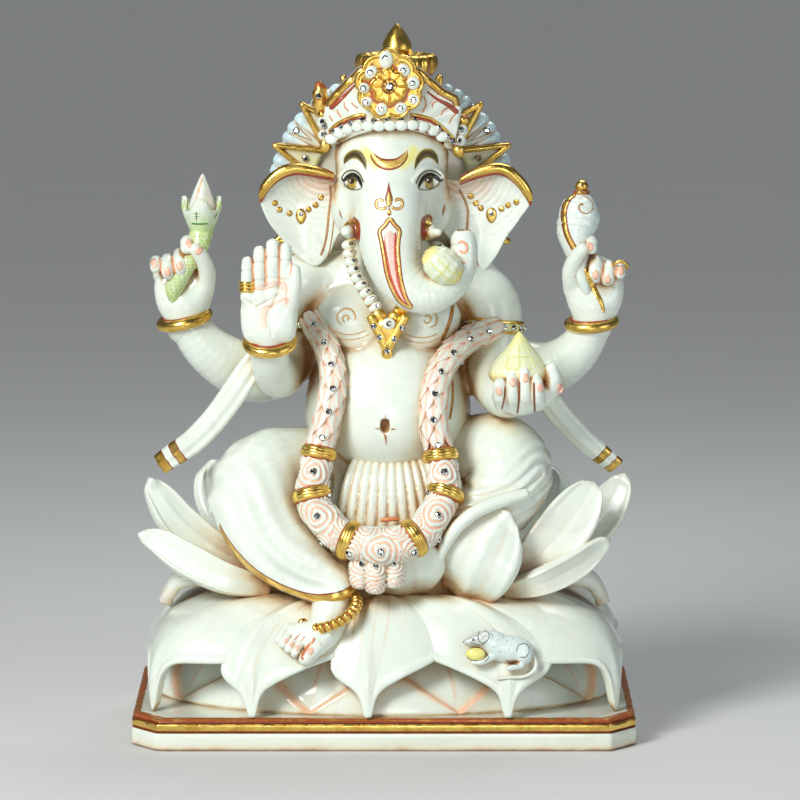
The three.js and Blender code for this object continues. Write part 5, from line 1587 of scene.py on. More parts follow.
def halo():
    """The scalloped disc, its star of leaves and its stones."""
    wide, rows = 1120, 40
    a = np.arange(wide) / wide * 2 * math.pi
    rib = np.abs(np.cos(a * LEAVES * 2))
    fan = np.cos(a * LEAVES / 2 + math.pi / 2) ** 2
    edge = HALO_R - 2.0 + 1.5 * rib**0.6 - 0.8 * (1 - fan)
    front, blue, stain = [], [], []
    for k in np.linspace(0.1, 1, rows):
        r = edge * k
        on = step01(r, 42, 47)
        y = (31.6 - on * (1.1 * rib**0.8 + 2.4 * fan) - 1.2 * step01(r, 40, 56)
             + 3.2 * step01(k, 0.93, 1.0) ** 2)
        front.append(np.stack([HALO_AT[0] + np.sin(a) * r, y, HALO_AT[1] + np.cos(a) * r], 1))
        blue.append(np.clip(0.2 + 0.9 * step01(r, 56, 64), 0, 1))
        line = (rib < 0.26) * on * 0.75
        stain.append(np.clip(line * (1 - 0.4 * step01(r, 58, 64)) + 0.5 * (1 - on), 0, 1))
    back = []
    for k in np.linspace(1, 0.1, rows // 2):
        r = edge * k
        y = 36.6 + 0.5 * rib * step01(r, 50, 60) - 1.6 * step01(k, 0.94, 1.0) - 0.4 * np.cos(r * 0.45)
        back.append(np.stack([HALO_AT[0] + np.sin(a) * r, y, HALO_AT[1] + np.cos(a) * r], 1))
        blue.append(np.full(wide, 0.35))
        stain.append(np.full(wide, 0.0) + 0.3 * (rib < 0.2) * step01(r, 50, 60))
    rings = np.array(front + back)
    points, faces = skin(rings)
    points[-2], points[-1] = rings[0].mean(0), rings[-1].mean(0)
    add("halo_disc", points, faces, STONE, ("halo",), "blue_marble",
        marks={"blue": np.r_[np.concatenate(blue), 0, 0], "stain": np.r_[np.concatenate(stain), 0, 0]})
    leaves, gold, red, stones = Mesh(), Mesh(), Mesh(), Mesh()
    for i in range(LEAVES):
        t = i / LEAVES * 2 * math.pi
        out_dir, side = np.array([math.sin(t), 0, math.cos(t)]), np.array([math.cos(t), 0, -math.sin(t)])
        c = np.array([HALO_AT[0], 28.0, HALO_AT[1]])
        rings, yellow = [], []
        for k in np.linspace(0, 1, 12):
            half = 7.6 * (1 - k) ** 0.92 + 0.15
            w = np.array([-1, -0.55, 0, 0.55, 1, 1, 0, -1]) * half
            y = np.array([-0.9, -0.2, 0.9, -0.2, -0.9, 3.6, 3.6, 3.6]) * (1 - 0.5 * k)
            rings.append(c + out_dir * (43 + 25.5 * k) + np.outer(w, side) + np.outer(y, (0, 1, 0)))
            yellow.append(np.array([0.15, 0.5, 0.75, 0.5, 0.15, 0, 0, 0]) * (1 - k) ** 0.8)
        points, faces = skin(np.array(rings))
        leaves.put(points, faces, yellow=np.r_[np.concatenate(yellow), 0, 0], stain=0.25)
        tip = c + out_dir * 69.2 + (0, -0.3, 0)
        for s in (-1, 1):
            foot_at = c + out_dir * 43.5 + side * 7.6 * s + (0, -1.0, 0)
            line = [(*(foot_at + (tip - foot_at) * k), 0.95 - 0.25 * k) for k in (0, 0.33, 0.66, 1)]
            rail(gold, line, 2.0, 10)
            rail(red, [(x, y + 1.0, z, k) for x, y, z, k in line], 2.2, 10)
        gem(stones, c + out_dir * 51 + (0, -0.6, 0), (0, -1, 0), 1.8)
        t += math.pi / LEAVES
        out_dir = np.array([math.sin(t), 0, math.cos(t)])
        gem(stones, np.array([HALO_AT[0], 27.0, HALO_AT[1]]) + out_dir * 62.4, (0, -1, 0), 1.8)
    for k in range(LEAVES):
        t = (k + 0.5) / LEAVES * 2 * math.pi
        for s in (-1, 1):
            a0, a1 = t + s * 0.5 * math.pi / LEAVES * 0.55, t
            line = [(HALO_AT[0] + math.sin(a0 + (a1 - a0) * q) * r, y,
                     HALO_AT[1] + math.cos(a0 + (a1 - a0) * q) * r, 1)
                    for q, r, y in ((0, 66.5, 27.6), (0.5, 60, 27.0), (1.0, 52, 27.0))]
            rail(leaves, line, 0.38, 6, stain=0.8)
    leaves.done("halo_star_leaves", STONE, (), "marble")
    gold.done("halo_gold_edges", GOLD, (), "gilding")
    red.done("halo_red_edges", RED, (), "gilding")
    stones.done("halo_stones", CRYSTAL, (), "gilding", smooth=False)


# ---------------------------------------------------------------- garlands
STRAND_R = [(-38.5, -16, 221, 6.2), (-31, -27, 209, 6.4), (-27.2, -37, 193, 6.8), (-29.8, -44, 175, 7.2),
            (-33.4, -46.4, 161.4, 7.4), (-34.6, -47.4, 156.4, 7.4), (-37.6, -52, 140, 8.2)]
STRAND_L = [(59, -14, 217, 6), (46.5, -21, 212.5, 6.3), (35.3, -30, 204, 6.6), (28.4, -38, 191, 7),
            (26.4, -45, 174, 7.2), (28.2, -47.2, 162, 7.4), (29.4, -48.4, 157, 7.4), (31.6, -53, 143, 8.2)]
SWAG = [(-37, -57, 126, 8.6), (-25, -63.6, 113.6, 8.6), (-20.4, -65.4, 111, 8.6), (-11, -68, 108, 9.6),
        (-1, -69, 107, 10.4), (9, -68.6, 108.4, 9.6), (16.8, -66.4, 112, 8.6), (21, -64.8, 114.4, 8.6),
        (31, -58, 129, 8.6)]


def carved(out, path, roses, pitch=2.5, depth=0.55, sides=96, per_mm=1.6):
    """A stretch of garland carved with roses: ridges wind round the nearest rose's heart, and the cuts
    between them hold the tint. roses are (share along, degrees round, radius)."""
    path = evenly(path, max(8, int(np.linalg.norm(np.diff(path[:, :3], axis=0), axis=1).sum() * per_mm)))
    along = unit(np.gradient(path[:, :3], axis=0))
    face = np.array([0, -1.0, 0.12])
    face = unit(face - (along @ face)[:, None] * along)
    across = np.cross(along, face)
    a = np.arange(sides) / sides * 2 * math.pi
    base = (path[:, None, :3] + path[:, None, 3:4]
            * (np.cos(a)[None, :, None] * face[:, None] + np.sin(a)[None, :, None] * across[:, None]))
    hearts = []
    for share, deg, size in roses:
        i = share * (len(path) - 1)
        i0 = int(min(max(i, 0), len(path) - 1))
        d = math.cos(math.radians(deg)) * face[i0] + math.sin(math.radians(deg)) * across[i0]
        hearts.append((path[i0, :3] + d * path[i0, 3], d, along[i0], size))
    reach = np.full(base.shape[:2], 1e9)
    turn_by = np.zeros(base.shape[:2])
    for c, d, y, size in hearts:
        q = base - c
        away = np.linalg.norm(q, axis=-1) / size
        angle = np.arctan2(q @ y, q @ np.cross(d, y))
        hit = away < reach
        reach = np.where(hit, away, reach)
        turn_by = np.where(hit, angle, turn_by)
    wave = np.cos(2 * math.pi * reach / pitch - turn_by + 0.8 * np.sin(3 * turn_by + reach * 0.5))
    heart = np.exp(-(reach / 1.6) ** 2)
    swell = 1.0 * np.exp(-(reach / 5.5) ** 2)
    high = depth * wave * (1 - heart) + swell
    ends = np.minimum(np.arange(len(path)), np.arange(len(path))[::-1])[:, None] / 2.0
    high = high * np.clip(ends, 0, 1) - 0.6 * (1 - np.clip(ends / 2, 0, 1))
    out_way = (base - path[:, None, :3]) / path[:, None, 3:4]
    rings = base + out_way * high[..., None]
    tint = np.clip(-wave * 1.8 + 0.02, 0, 1) * (1 - heart) + 0.6 * (1 - np.clip(ends, 0, 1))
    points, faces = skin(rings)
    out.put(points, faces, rose=np.r_[tint.ravel(), 0.4, 0.4])
    return [(c + d, d) for c, d, _, _ in hearts]


def leafed(out, path, stones, step=6.4):
    """A stretch of garland of overlapping pointed leaves, every second row with a stone in front."""
    path = evenly(path, 80)
    along, _, _ = frames(path)
    core = path.copy()
    core[:, 3] *= 0.84
    points, faces = tube(core, 20)
    out.put(points, faces, rose=0.85, stain=0.25)
    run = np.r_[0, np.cumsum(np.linalg.norm(np.diff(path[:, :3], axis=0), axis=1))]
    at, row = 0.5, 0
    while at < run[-1] - 7:
        i = int(np.searchsorted(run, at))
        c, r, t = path[i, :3], path[i, 3], along[i]
        face = np.array([0, -1.0, 0.12])
        face = unit(face - (face @ t) * t)
        across = np.cross(t, face)
        for deg in (0, 68, -68, 136, -136) if row % 2 == 0 else (34, -34, 102, -102, 180):
            d = math.cos(math.radians(deg)) * face + math.sin(math.radians(deg)) * across
            leaf(out, c + d * r * 0.84, t, d, 14.0, r * 1.42, 1.5, curl=1.5)
        if row % 2 == 0 and at < run[-1] - 9:
            gem(stones, c + face * (r * 0.84 + 2.3) + t * 5.2, face, 1.75)
        at += step
        row += 1


def garlands():
    """Two strands that come down to a swag with a tassel, with gold rings between the stretches."""
    stones, gold = Mesh(), Mesh()
    right, left = spline(STRAND_R, 12), spline(STRAND_L, 12)
    swag = spline(SWAG, 12)
    turn_r, turn_l = (-38.6, -54.8, 133.0, 8.4), (32.6, -55.8, 133.5, 8.4)

    def ring(path, i, wide=1.5, r_scale=1.06):
        along = unit(path[min(i + 1, len(path) - 1)][:3] - path[max(i - 1, 0)][:3])
        c, r = np.array(path[i][:3]), path[i][3]
        for shift in (-wide, 0, wide):
            hoop(gold, c + along * shift, r * r_scale, 1.6 if shift else 1.9, along, sides=10, around=48)
        for shift in (-wide * 1.9, wide * 1.9):
            hoop(gold, c + along * shift, r * (r_scale - 0.05), 1.0, along, sides=8, around=48, stain=1.0)

    for name, node, strand, end, roses in (
            ("garland_rope_right", "garland_right_strand", right, turn_r,
             ((0.5, 6, 1.25), (0.2, 95, 0.9), (0.8, 110, 0.9), (0.3, -100, 0.9), (0.8, -90, 0.9),
              (0.5, 180, 1.0))),
            ("garland_rope_left", "garland_left_strand", left, turn_l,
             ((0.5, -6, 1.25), (0.2, 95, 0.9), (0.8, 110, 0.9), (0.3, -100, 0.9), (0.8, -90, 0.9),
              (0.5, 180, 1.0)))):
        out = Mesh()
        z = strand[:, 2]
        cut = int(np.argmin(np.abs(z - (154 if end is turn_r else 153))))
        leafed(out, strand[:cut + 1], stones)
        lower = np.vstack([strand[cut:], [end]])
        ring(strand, cut)
        for c, d in carved(out, lower, roses)[:1]:
            gem(stones, c, d, 1.9)
        out.done(name, STONE, (node,), "peach_marble")
    out = Mesh()
    a = int(np.argmin(np.linalg.norm(swag[:, :3] - (-18.6, -66.2, 108.8), axis=1)))
    b = int(np.argmin(np.linalg.norm(swag[:, :3] - (16.2, -66.6, 111.0), axis=1)))
    first, middle, last = np.vstack([[turn_r], swag[:a + 1]]), swag[a:b + 1], np.vstack([swag[b:], [turn_l]])
    for part, roses, gems in ((first, ((0.42, 8, 1.3), (0.08, -70, 0.85), (0.72, 75, 0.8), (0.9, -60, 0.8),
                                       (0.5, 130, 1.0), (0.5, -130, 1.0)), 3),
                              (middle, ((0.5, 10, 1.3), (0.12, 40, 0.9), (0.88, 40, 0.9), (0.25, -62, 0.9),
                                        (0.75, -62, 0.9), (0.5, 120, 1.1), (0.5, -130, 1.1)), 3),
                              (last, ((0.55, 8, 1.3), (0.92, -70, 0.85), (0.25, 75, 0.8), (0.1, -60, 0.8),
                                      (0.5, 130, 1.0), (0.5, -130, 1.0)), 3)):
        for c, d in carved(out, part, roses)[:gems]:
            gem(stones, c, d, 1.85)
    ring(first, 0)
    ring(last, len(last) - 1)
    ring(swag, a)
    ring(swag, b)
    for x, y, z, r, low in ((-12.5, -68.6, 94, 5.4, 12), (5.5, -68.8, 94.5, 5.4, 12),
                            (-4.5, -70.4, 94, 6.0, 15)):
        path = spline([(x * 0.8, y + 2, z + 8, r * 0.8), (x, y, z + 2, r),
                       (x, y - 1, z - low * 0.35, r * 1.02), (x, y - 0.6, z - low * 0.75, r * 0.72)], 6)
        found = carved(out, path, ((0.95, 10, 0.9), (0.3, 0, 1.0), (0.3, 120, 1.0), (0.3, -120, 1.0)),
                       pitch=2.2, depth=0.5)
        gem(stones, found[1][0] + found[1][1] * 0.4, found[1][1], 1.5)
    out.done("garland_rope_swag", STONE, ("garland_swag",), "peach_marble")
    gold.done("garland_gold_rings", GOLD, (), "gilding")
    stones.done("garland_stones", CRYSTAL, (), "gilding", smooth=False)


# ---------------------------------------------------------------- jewellery
def necklace():
    """Two strings of white lumps on gold, meeting in a heart-shaped pendant."""
    gold, white, stones = Mesh(), Mesh(), Mesh()
    left = [(-20, -20, 264, 2.6), (-17.5, -25, 251, 3.0), (-11, -27.5, 239, 3.3), (-4, -28.5, 228, 3.6),
            (1.5, -29, 220, 3.8)]
    right = [(28, -18, 263, 2.6), (25, -24, 251, 3.0), (17, -27.5, 239, 3.3), (8, -28.5, 228, 3.6),
             (2.5, -29, 220, 3.8)]
    for path, m in ((left, 1), (right, -1)):
        p = evenly(spline(path, 8), 40)
        points, faces = tube(p, 14, flat=0.8)
        gold.put(points, faces, stain=0.55)
        whites = 9 if m > 0 else 5
        q = evenly(spline(path, 8), whites + 3)
        along, _, _ = frames(q)
        for i in range(whites + 2):
            face = unit(np.array([0, -1, 0.1]) - (np.array([0, -1, 0.1]) @ along[i]) * along[i])
            across = np.cross(along[i], face) * m
            c = q[i, :3] + along[i] * 1.5
            if i < whites:
                shift = -0.9 * m * across if m > 0 else 0.6 * across
                lump(white, c + face * 2.2 + shift, face, (3.9, 2.9, 1.9),
                     math.degrees(math.atan2(across[2], across[0])), stain=0.1)
                gem(stones, c + face * 3.5 + shift * (2.6 if m > 0 else 4.3), face, 1.35)
            else:
                lump(gold, c + face * 2.0, face, (4.2, 4.0, 3.0), 0)
    for line in ([(-7, 226), (-3.5, 219), (1.6, 208.5)], [(11.5, 226), (7.4, 219), (1.6, 208.5)]):
        rail(gold, [(x, -33.2, z) for x, z in line], 2.7, 12)
    wide = 40
    t = np.arange(wide) / wide * 2 * math.pi
    rings = []
    for k, y in ((0.7, -30.0), (1.0, -31.0), (1.0, -33.6), (0.85, -34.6), (0.3, -34.9)):
        rings.append(np.stack([2.2 + np.cos(t) * 7.4 * k * (1 - 0.35 * np.clip(-np.sin(t), 0, 1)),
                               np.full(wide, y), 219.5 + np.sin(t) * k * np.where(np.sin(t) > 0, 6, 10.5)],
                              1))
    points, faces = skin(np.array(rings))
    gold.put(points, faces, stain=0.35)
    lump(white, np.array([2.6, -35.2, 222.6]), (0, -1, 0), (3.6, 3.2, 1.6), 0)
    lump(gold, np.array([1.7, -33.6, 206.6]), (0, -1, 0), (3.0, 4.4, 2.2), 0)
    for x, z in ((-5.4, 221.4), (2.6, 222.8), (9.8, 220.6), (-2.4, 215.4), (5.4, 214.4), (1.7, 208)):
        gem(stones, np.array([x, -36.6, z]), (0, -1, 0), 1.6)
    for x, z in ((26.5, 259), (23.5, 254), (21.8, 248.6)):
        lump(white, np.array([x, -29.5, z]), (0.2, -1, 0), (3.0, 2.6, 1.8), 0)
        gem(stones, np.array([x + 0.4, -31.2, z + 0.4]), (0.2, -1, 0), 1.5)
    gold.done("necklace_gold", GOLD, ("necklace",), "gilding")
    white.done("necklace_white_beads", STONE, (), "marble")
    stones.done("necklace_stones", CRYSTAL, (), "gilding", smooth=False)


def rings_and_cuffs():
    """Bangles, beaded armlets and the anklet."""
    red, stones = Mesh(), Mesh()
    for name, node, c, r, axis, tube_r in (
            ("bangle_rear_right", "rear_right_bangle", (-107.8, -6, 221.4), 12.5, (-0.24, -0.12, 1), 3.1),
            ("bangle_rear_left", "rear_left_bangle", (112, -6, 219.4), 12.2, (-0.07, -0.12, 1), 2.8),
            ("bangle_front_right", "front_right_bangle", (-60.8, -47, 214.2), 12.0, (-0.05, -0.38, 0.93),
             2.9)):
        out = Mesh()
        hoop(out, c, r, tube_r, axis, sides=18, around=96)
        out.done(name, GOLD, (node,), "gilding")
        n = unit(axis)
        hoop(red, np.array(c) + n * 2.5, r - 1.3, 0.95, axis, sides=8, around=72)
        hoop(red, np.array(c) - n * 2.5, r - 1.2, 0.8, axis, sides=8, around=72)
    for name, node, c, r, axis in (("armlet_band_right", "right_armlet", (-56, 2, 218), 15.0, (0.05, 0.1, 1)),
                                   ("armlet_band_left", "left_armlet", (59, 2, 217), 15.4, (0.10, 0.1, 1))):
        a, b, n = basis(axis)
        t = np.arange(96) / 96 * 2 * math.pi
        rings = []
        for ang in t:
            d = math.cos(ang) * a + math.sin(ang) * b
            sec = [(-2.0, -3.6), (0.9, -3.7), (1.5, -3.0), (1.3, -2.2), (1.9, 0), (1.3, 2.2), (1.5, 3.0),
                   (0.9, 3.7), (-2.0, 3.6)]
            rings.append(np.array([np.array(c) + d * (r + p) + n * q for p, q in sec]))
        points, faces = skin(np.array(rings), loop=True)
        k = np.tile(np.array([0, 0.6, 1.0, -0.3, -5, -0.3, 1.0, 0.6, 0]), 96)
        add(name, points, faces, STONE, (node,), "gilding",
            marks={"gold": k, "yellow": np.tile(np.array([0, 0, 0, 0.7, 0.85, 0.7, 0, 0, 0]), 96),
                   "green": np.tile(np.array([0, 0, 0, 0.2, 0.35, 0.2, 0, 0, 0]), 96)})
        for ang in np.arange(18) / 18 * 2 * math.pi:
            d = math.cos(ang) * a + math.sin(ang) * b
            gem(stones, np.array(c) + d * (r + 2.0), d, 1.6)
    out = Mesh()
    hoop(out, (-28.8, -66.4, 71.6), 15.6, 2.6, (-0.42, -0.34, 1), beads=28, swell=0.55, sides=12, around=288)
    out.done("anklet_beads", GOLD, ("anklet",), "gilding")
    red.done("bangle_red_lines", RED, (), "gilding")
    stones.done("armlet_stones", CRYSTAL, (), "gilding", smooth=False)


def scarf(name, node, path, across):
    """A flat end of cloth along (x, y, z, half width, thickness) rows, with two gold bands at its tip."""
    rows = evenly(spline(path, 8), 60)
    along = unit(np.gradient(rows[:, :3], axis=0))
    side = unit(np.array(across, float) - (along @ np.array(across, float))[:, None] * along)
    up = np.cross(along, side)
    w = np.linspace(-1, 1, 25)
    rings, gold, stain = [], [], []
    for i, (half, thick) in enumerate(rows[:, 3:]):
        t = i / 59
        fold = 0.35 * np.cos(w * math.pi * 2.2 + 1.5 * t) * (1 - w**4)
        curl = 1.0 * w * w * (1 - t) + 1.6 * t * w
        edge = np.sqrt(np.clip(1 - np.abs(w) ** 2.6, 0, 1)) * thick * 0.75 + 0.1
        c = rows[i, :3]
        rings.append(np.vstack([c + np.outer(w * half, side[i]) + np.outer(fold + curl + edge, up[i]),
                                c + np.outer(w[::-1] * half, side[i])
                                + np.outer((fold + curl - edge)[::-1], up[i])]))
        run = t * 86
        bands = max(2.0 - abs(run - 73), 2.4 - abs(run - 83.5))
        gold.append(np.full(50, bands))
        # painted shade: darker in the troughs of the folds and on the back
        stain.append(np.r_[np.clip(-fold * 1.4, 0, 1) * 0.55, np.full(25, 0.2)])
    points, faces = skin(np.array(rings), closed_ends="zip")
    add(name, points, faces, STONE, (node,),
        marks={"gold": np.concatenate(gold), "stain": np.concatenate(stain)})


def scarves():
    """The two scarf ends that hang down from the arms."""
    scarf("scarf_end_right", "scarf_right",
          [(-66, -28, 206, 6.0, 3.4), (-73, -29, 196, 6.8, 4.2), (-81, -30, 184, 7.0, 4.8),
           (-91, -27, 170, 6.8, 5.0), (-103, -22, 157, 6.6, 5.0), (-113, -18, 149.5, 6.2, 4.8),
           (-121, -16, 143.5, 5.6, 4.2)], (0.8, 0.1, -0.6))
    scarf("scarf_end_left", "scarf_left",
          [(80, -15, 191, 6.0, 3.4), (86.5, -16, 182, 6.6, 4.2), (94, -16, 172, 6.8, 4.8),
           (103, -14, 162, 6.6, 5.0), (112, -11.5, 153, 6.2, 5.0), (119, -10, 147, 5.8, 4.6),
           (125.5, -8, 141.5, 5.4, 4.0)], (0.8, -0.1, 0.6))


# ---------------------------------------------------------------- things held
BUD_AT = (-98.3, -10, 270.6)


def held_bud():
    """The green stalk, its three-lobed calyx and the closed petals."""
    path = evenly(spline([(-111.8, -12.5, 228, 0.8), (-112.8, -14.2, 232.5, 2.6), (-113.2, -15.6, 238.2, 4.6),
                          (-110.6, -16.6, 244, 5.2), (-106, -17.2, 251.5, 4.6), (-102.8, -15.4, 257, 4.7),
                          (-99.6, -13.2, 262.4, 5.6), (-98.9, -11, 267.5, 6.4)], 10), 80)
    wide = 32
    t = np.arange(wide) / wide * 2 * math.pi

    def stalk(i, a):
        k = i / 80
        return 1 + 0.16 * math.exp(-((k - 0.78) / 0.03) ** 2) + 0.14 * math.exp(-((k - 0.62) / 0.03) ** 2)
    points, faces = tube(path, wide, shape=stalk)
    z = points[:, 2]
    dots = (np.cos(z * 1.9 + points[:, 0] * 0.4)
            * np.cos(points[:, 0] * 2.4 + points[:, 1] * 1.3) > 0.62).astype(float)
    add("lotus_stalk", points, faces, STONE, (), "green_marble",
        marks={"green": 0.58 + 0.2 * dots, "yellow": np.full(len(z), 0.26),
               "stain": 0.6 * np.exp(-((z - 252.5) / 1.2) ** 2) + 0.6 * np.exp(-((z - 259) / 1.2) ** 2)})
    profile = spline([(0.5, -6), (4.6, -5.4), (6.2, -3.2), (6.4, -0.5), (8.4, 4.4), (10.2, 9.5), (10.0, 13)],
                     6)
    sepals = np.cos(t * 3 + math.pi / 2 * 3)
    rings, green = [], []
    for i, (r, h) in enumerate(profile):
        k = i / (len(profile) - 1)
        spread = 1 + 0.16 * k * sepals
        rings.append(np.stack([np.cos(t) * r * spread, np.sin(t) * r * spread, np.full(wide, h) + 5.0 * k**3
                               * np.clip(sepals, -0.4, 1)], 1))
        green.append(np.clip(1.40 - 1.45 * k + 0.55 * (np.abs(sepals) < 0.12) + (0.4 if k > 0.95 else 0), 0,
                             1))
    rings += [rings[-1] * (0.86, 0.86, 1) - (0, 0, 0.4), rings[-1] * (0.5, 0.5, 0.6)]
    green += [green[-1] * 0.6, green[-1] * 0.4]
    points, faces = skin(np.array(rings) + BUD_AT)
    add("lotus_calyx", points, faces, STONE, ("lotus_bud",), "green_marble",
        marks={"green": np.r_[np.concatenate(green), 0.9, 0.2],
               "yellow": np.r_[np.concatenate(green) * 0.35, 0, 0]})
    out = Mesh()
    profile = spline([(1.0, 5), (5.0, 7), (6.6, 11), (6.2, 15.5), (4.6, 20.5), (2.6, 25.5), (0.9, 29.3),
                      (0.2, 30)], 8)
    rings, rose_tint = [], []
    for r, h in profile:
        k = (h - 5) / 25
        ridge = 1 + 0.10 * np.abs(np.cos(t * 2.5 + 0.6)) - 0.05
        rings.append(np.stack([np.cos(t) * r * ridge + 0.8 * k, np.sin(t) * r * ridge, np.full(wide, h)], 1))
        rose_tint.append(np.clip(0.60 * step01(np.cos(t + 0.7), 0.4, 0.95) * (1 - k)
                                 + 0.8 * (np.abs(np.cos(t * 2.5 + 0.6)) < 0.16), 0, 1))
    points, faces = skin(np.array(rings) + BUD_AT)
    out.put(points, faces, rose=np.r_[np.concatenate(rose_tint), 0, 0.6])
    out.done("lotus_bud_petals", STONE, (), "marble")


def held_conch():
    """The conch, tail down, with a gold knob at its top."""
    path = evenly(spline([(110.5, -12, 229, 1.0), (108.4, -15, 239, 2.8), (105.4, -15.4, 250, 4.4),
                          (103.6, -12.6, 261, 7.6), (103.6, -10.4, 271, 10.6), (105.2, -9, 280.5, 10.4),
                          (106.2, -8, 286.5, 7.3), (106.4, -8, 290.5, 3.2)], 12), 120)

    def whorl(i, a):
        return (1 + 0.05 * np.cos(a * 1.0 + i * 0.16) + (0.05 if i > 84 else 0)
                * np.abs(np.cos((i - 84) * 0.25)))
    points, faces = tube(path, 40, shape=whorl)
    x, z = points[:, 0], points[:, 2]
    mid = np.interp(z, path[:, 2], path[:, 0])
    wide = np.interp(z, path[:, 2], path[:, 3])
    place = (x - mid) / np.maximum(wide, 1)
    spiral = (np.exp(-(np.sin(z * 0.62 + place * 1.6) / 0.22) ** 2) * step01(z, 268, 276)
              * step01(place, -0.25, 0.1))
    add("conch_shell", points, faces, STONE, ("conch",), "marble",
        marks={"blue": 0.30 + 0.2 * step01(place, 0.1, 0.9), "stain": 0.75 * spiral
               + 0.2 * step01(-place, -0.1, 0.5)})
    out = Mesh()
    points, faces = globe((106.4, -8, 293.6), (3.6, 3.4, 3.4), wide=20, high=14)
    out.put(points, faces, stain=0.9 * np.exp(-((points[:, 2] - 292.2) / 0.5) ** 2))
    hoop(out, (106.3, -8, 290.4), 3.6, 1.0, (0, 0, 1), sides=8, around=32, stain=0.8)
    out.done("conch_knob", GOLD, (), "gilding")


SWEET_AT, SWEET_PLEATS = (72.4, -45, 191), 7


def sweets():
    """The pleated sweet in the hand and the round one in the trunk."""
    profile = spline([(0.5, 0.2), (9, 0.2), (14.4, 2.2), (16.2, 5.6), (15.2, 9.6), (11.8, 14.2), (8.0, 18.6),
                      (5.0, 22.6), (2.6, 26.2), (0.8, 28.2), (0.2, 28.4)], 6)
    points, faces = turned(profile, SWEET_AT, 72, lambda a, i: 1 + 0.028 * np.abs(np.cos(a * SWEET_PLEATS))
                           * min(1, max(0, (len(profile) - i) / 30)))
    z = points[:, 2] - SWEET_AT[2]
    a = np.arctan2(points[:, 1] - SWEET_AT[1], points[:, 0] - SWEET_AT[0])
    seam = np.abs(np.cos(a * SWEET_PLEATS)) < 0.2
    add("sweet_in_hand", points, faces, STONE, ("hand_modak",), "yellow_marble",
        marks={"yellow": np.clip(0.45 + 0.25 * step01(z, 18, 28) + 0.4 * step01(-z, -9, -3), 0, 1),
               "green": np.clip(0.10 + 0.20 * step01(z, 8, 24), 0, 1), "stain": 0.72 * step01(-z, -9, -3)
               + 0.28 * seam})
    points, faces = globe((0, 0, 0), (11.8, 9.2, 9.4), wide=64, high=40)
    grid = 0.30 * (np.cos(points[:, 0] * 1.15) + np.cos(points[:, 1] * 1.3 + points[:, 2] * 1.3))
    points = points * (1 + grid[:, None] * 0.045)
    rim = 1 - np.abs(points[:, 0]) / 12
    points = points @ turn(0, 40, 0).T + np.array([31.2, -60, 256.8])
    add("sweet_in_trunk", points, faces, STONE, ("trunk_modak",), "yellow_marble",
        marks={"yellow": np.clip(0.28 + 0.75 * step01(-rim, -0.45, -0.12), 0, 1),
               "green": 0.16 + 0.2 * step01(-grid, 0, 0.4), "stain": 0.55 * step01(-rim, -0.28, -0.05)})


def mouse(p):
    """The mouse, nose to the left, with both ears and two paws."""
    out = melt([ball(p, (67, -79, 53.6), (12.8, 6.6, 7.6), (0, 5, 0)),
                ball(p, (58.5, -79.4, 55.6), (8.4, 5.6, 6.4)),
                chain(p, [(58, -79.5, 58.4, 5.2), (52, -81, 59.4, 4.5), (46.5, -82, 58.4, 2.7),
                          (44, -82.4, 58.0, 1.8)], 3)], 3)
    out = smin(out, ball(p, (74.4, -82.6, 51.4), (4.8, 3.4, 5.4)), 0.8)
    out = smin(out, chain(p, [(58, -82.4, 50.6, 2.3), (52, -84.6, 48.0, 1.8), (47.8, -85.2, 48.0, 1.4)], 3),
               0.8)
    out = smin(out, chain(p, [(73, -84, 45.8, 1.9), (66.5, -85.4, 44.6, 1.5)], 2), 0.6)
    out = np.minimum(out,
                     np.maximum(ball(p, (54.4, -84.0, 60.4), (3.8, 1.7, 3.8)),
                                -ball(p, (54.4, -86.2, 60.4), (2.5, 1.5, 2.5))))
    return np.minimum(out, ball(p, (56.5, -78, 62.6), (3.0, 1.6, 2.8)))


def mouse_marks(p, n):
    """Blue on its back, grey on its head."""
    ahead = step01(-p[:, 0], -57, -52)
    return {"blue": 0.42 * (1 - ahead), "grey": 0.60 * ahead * step01(p[:, 2], 52, 55)}


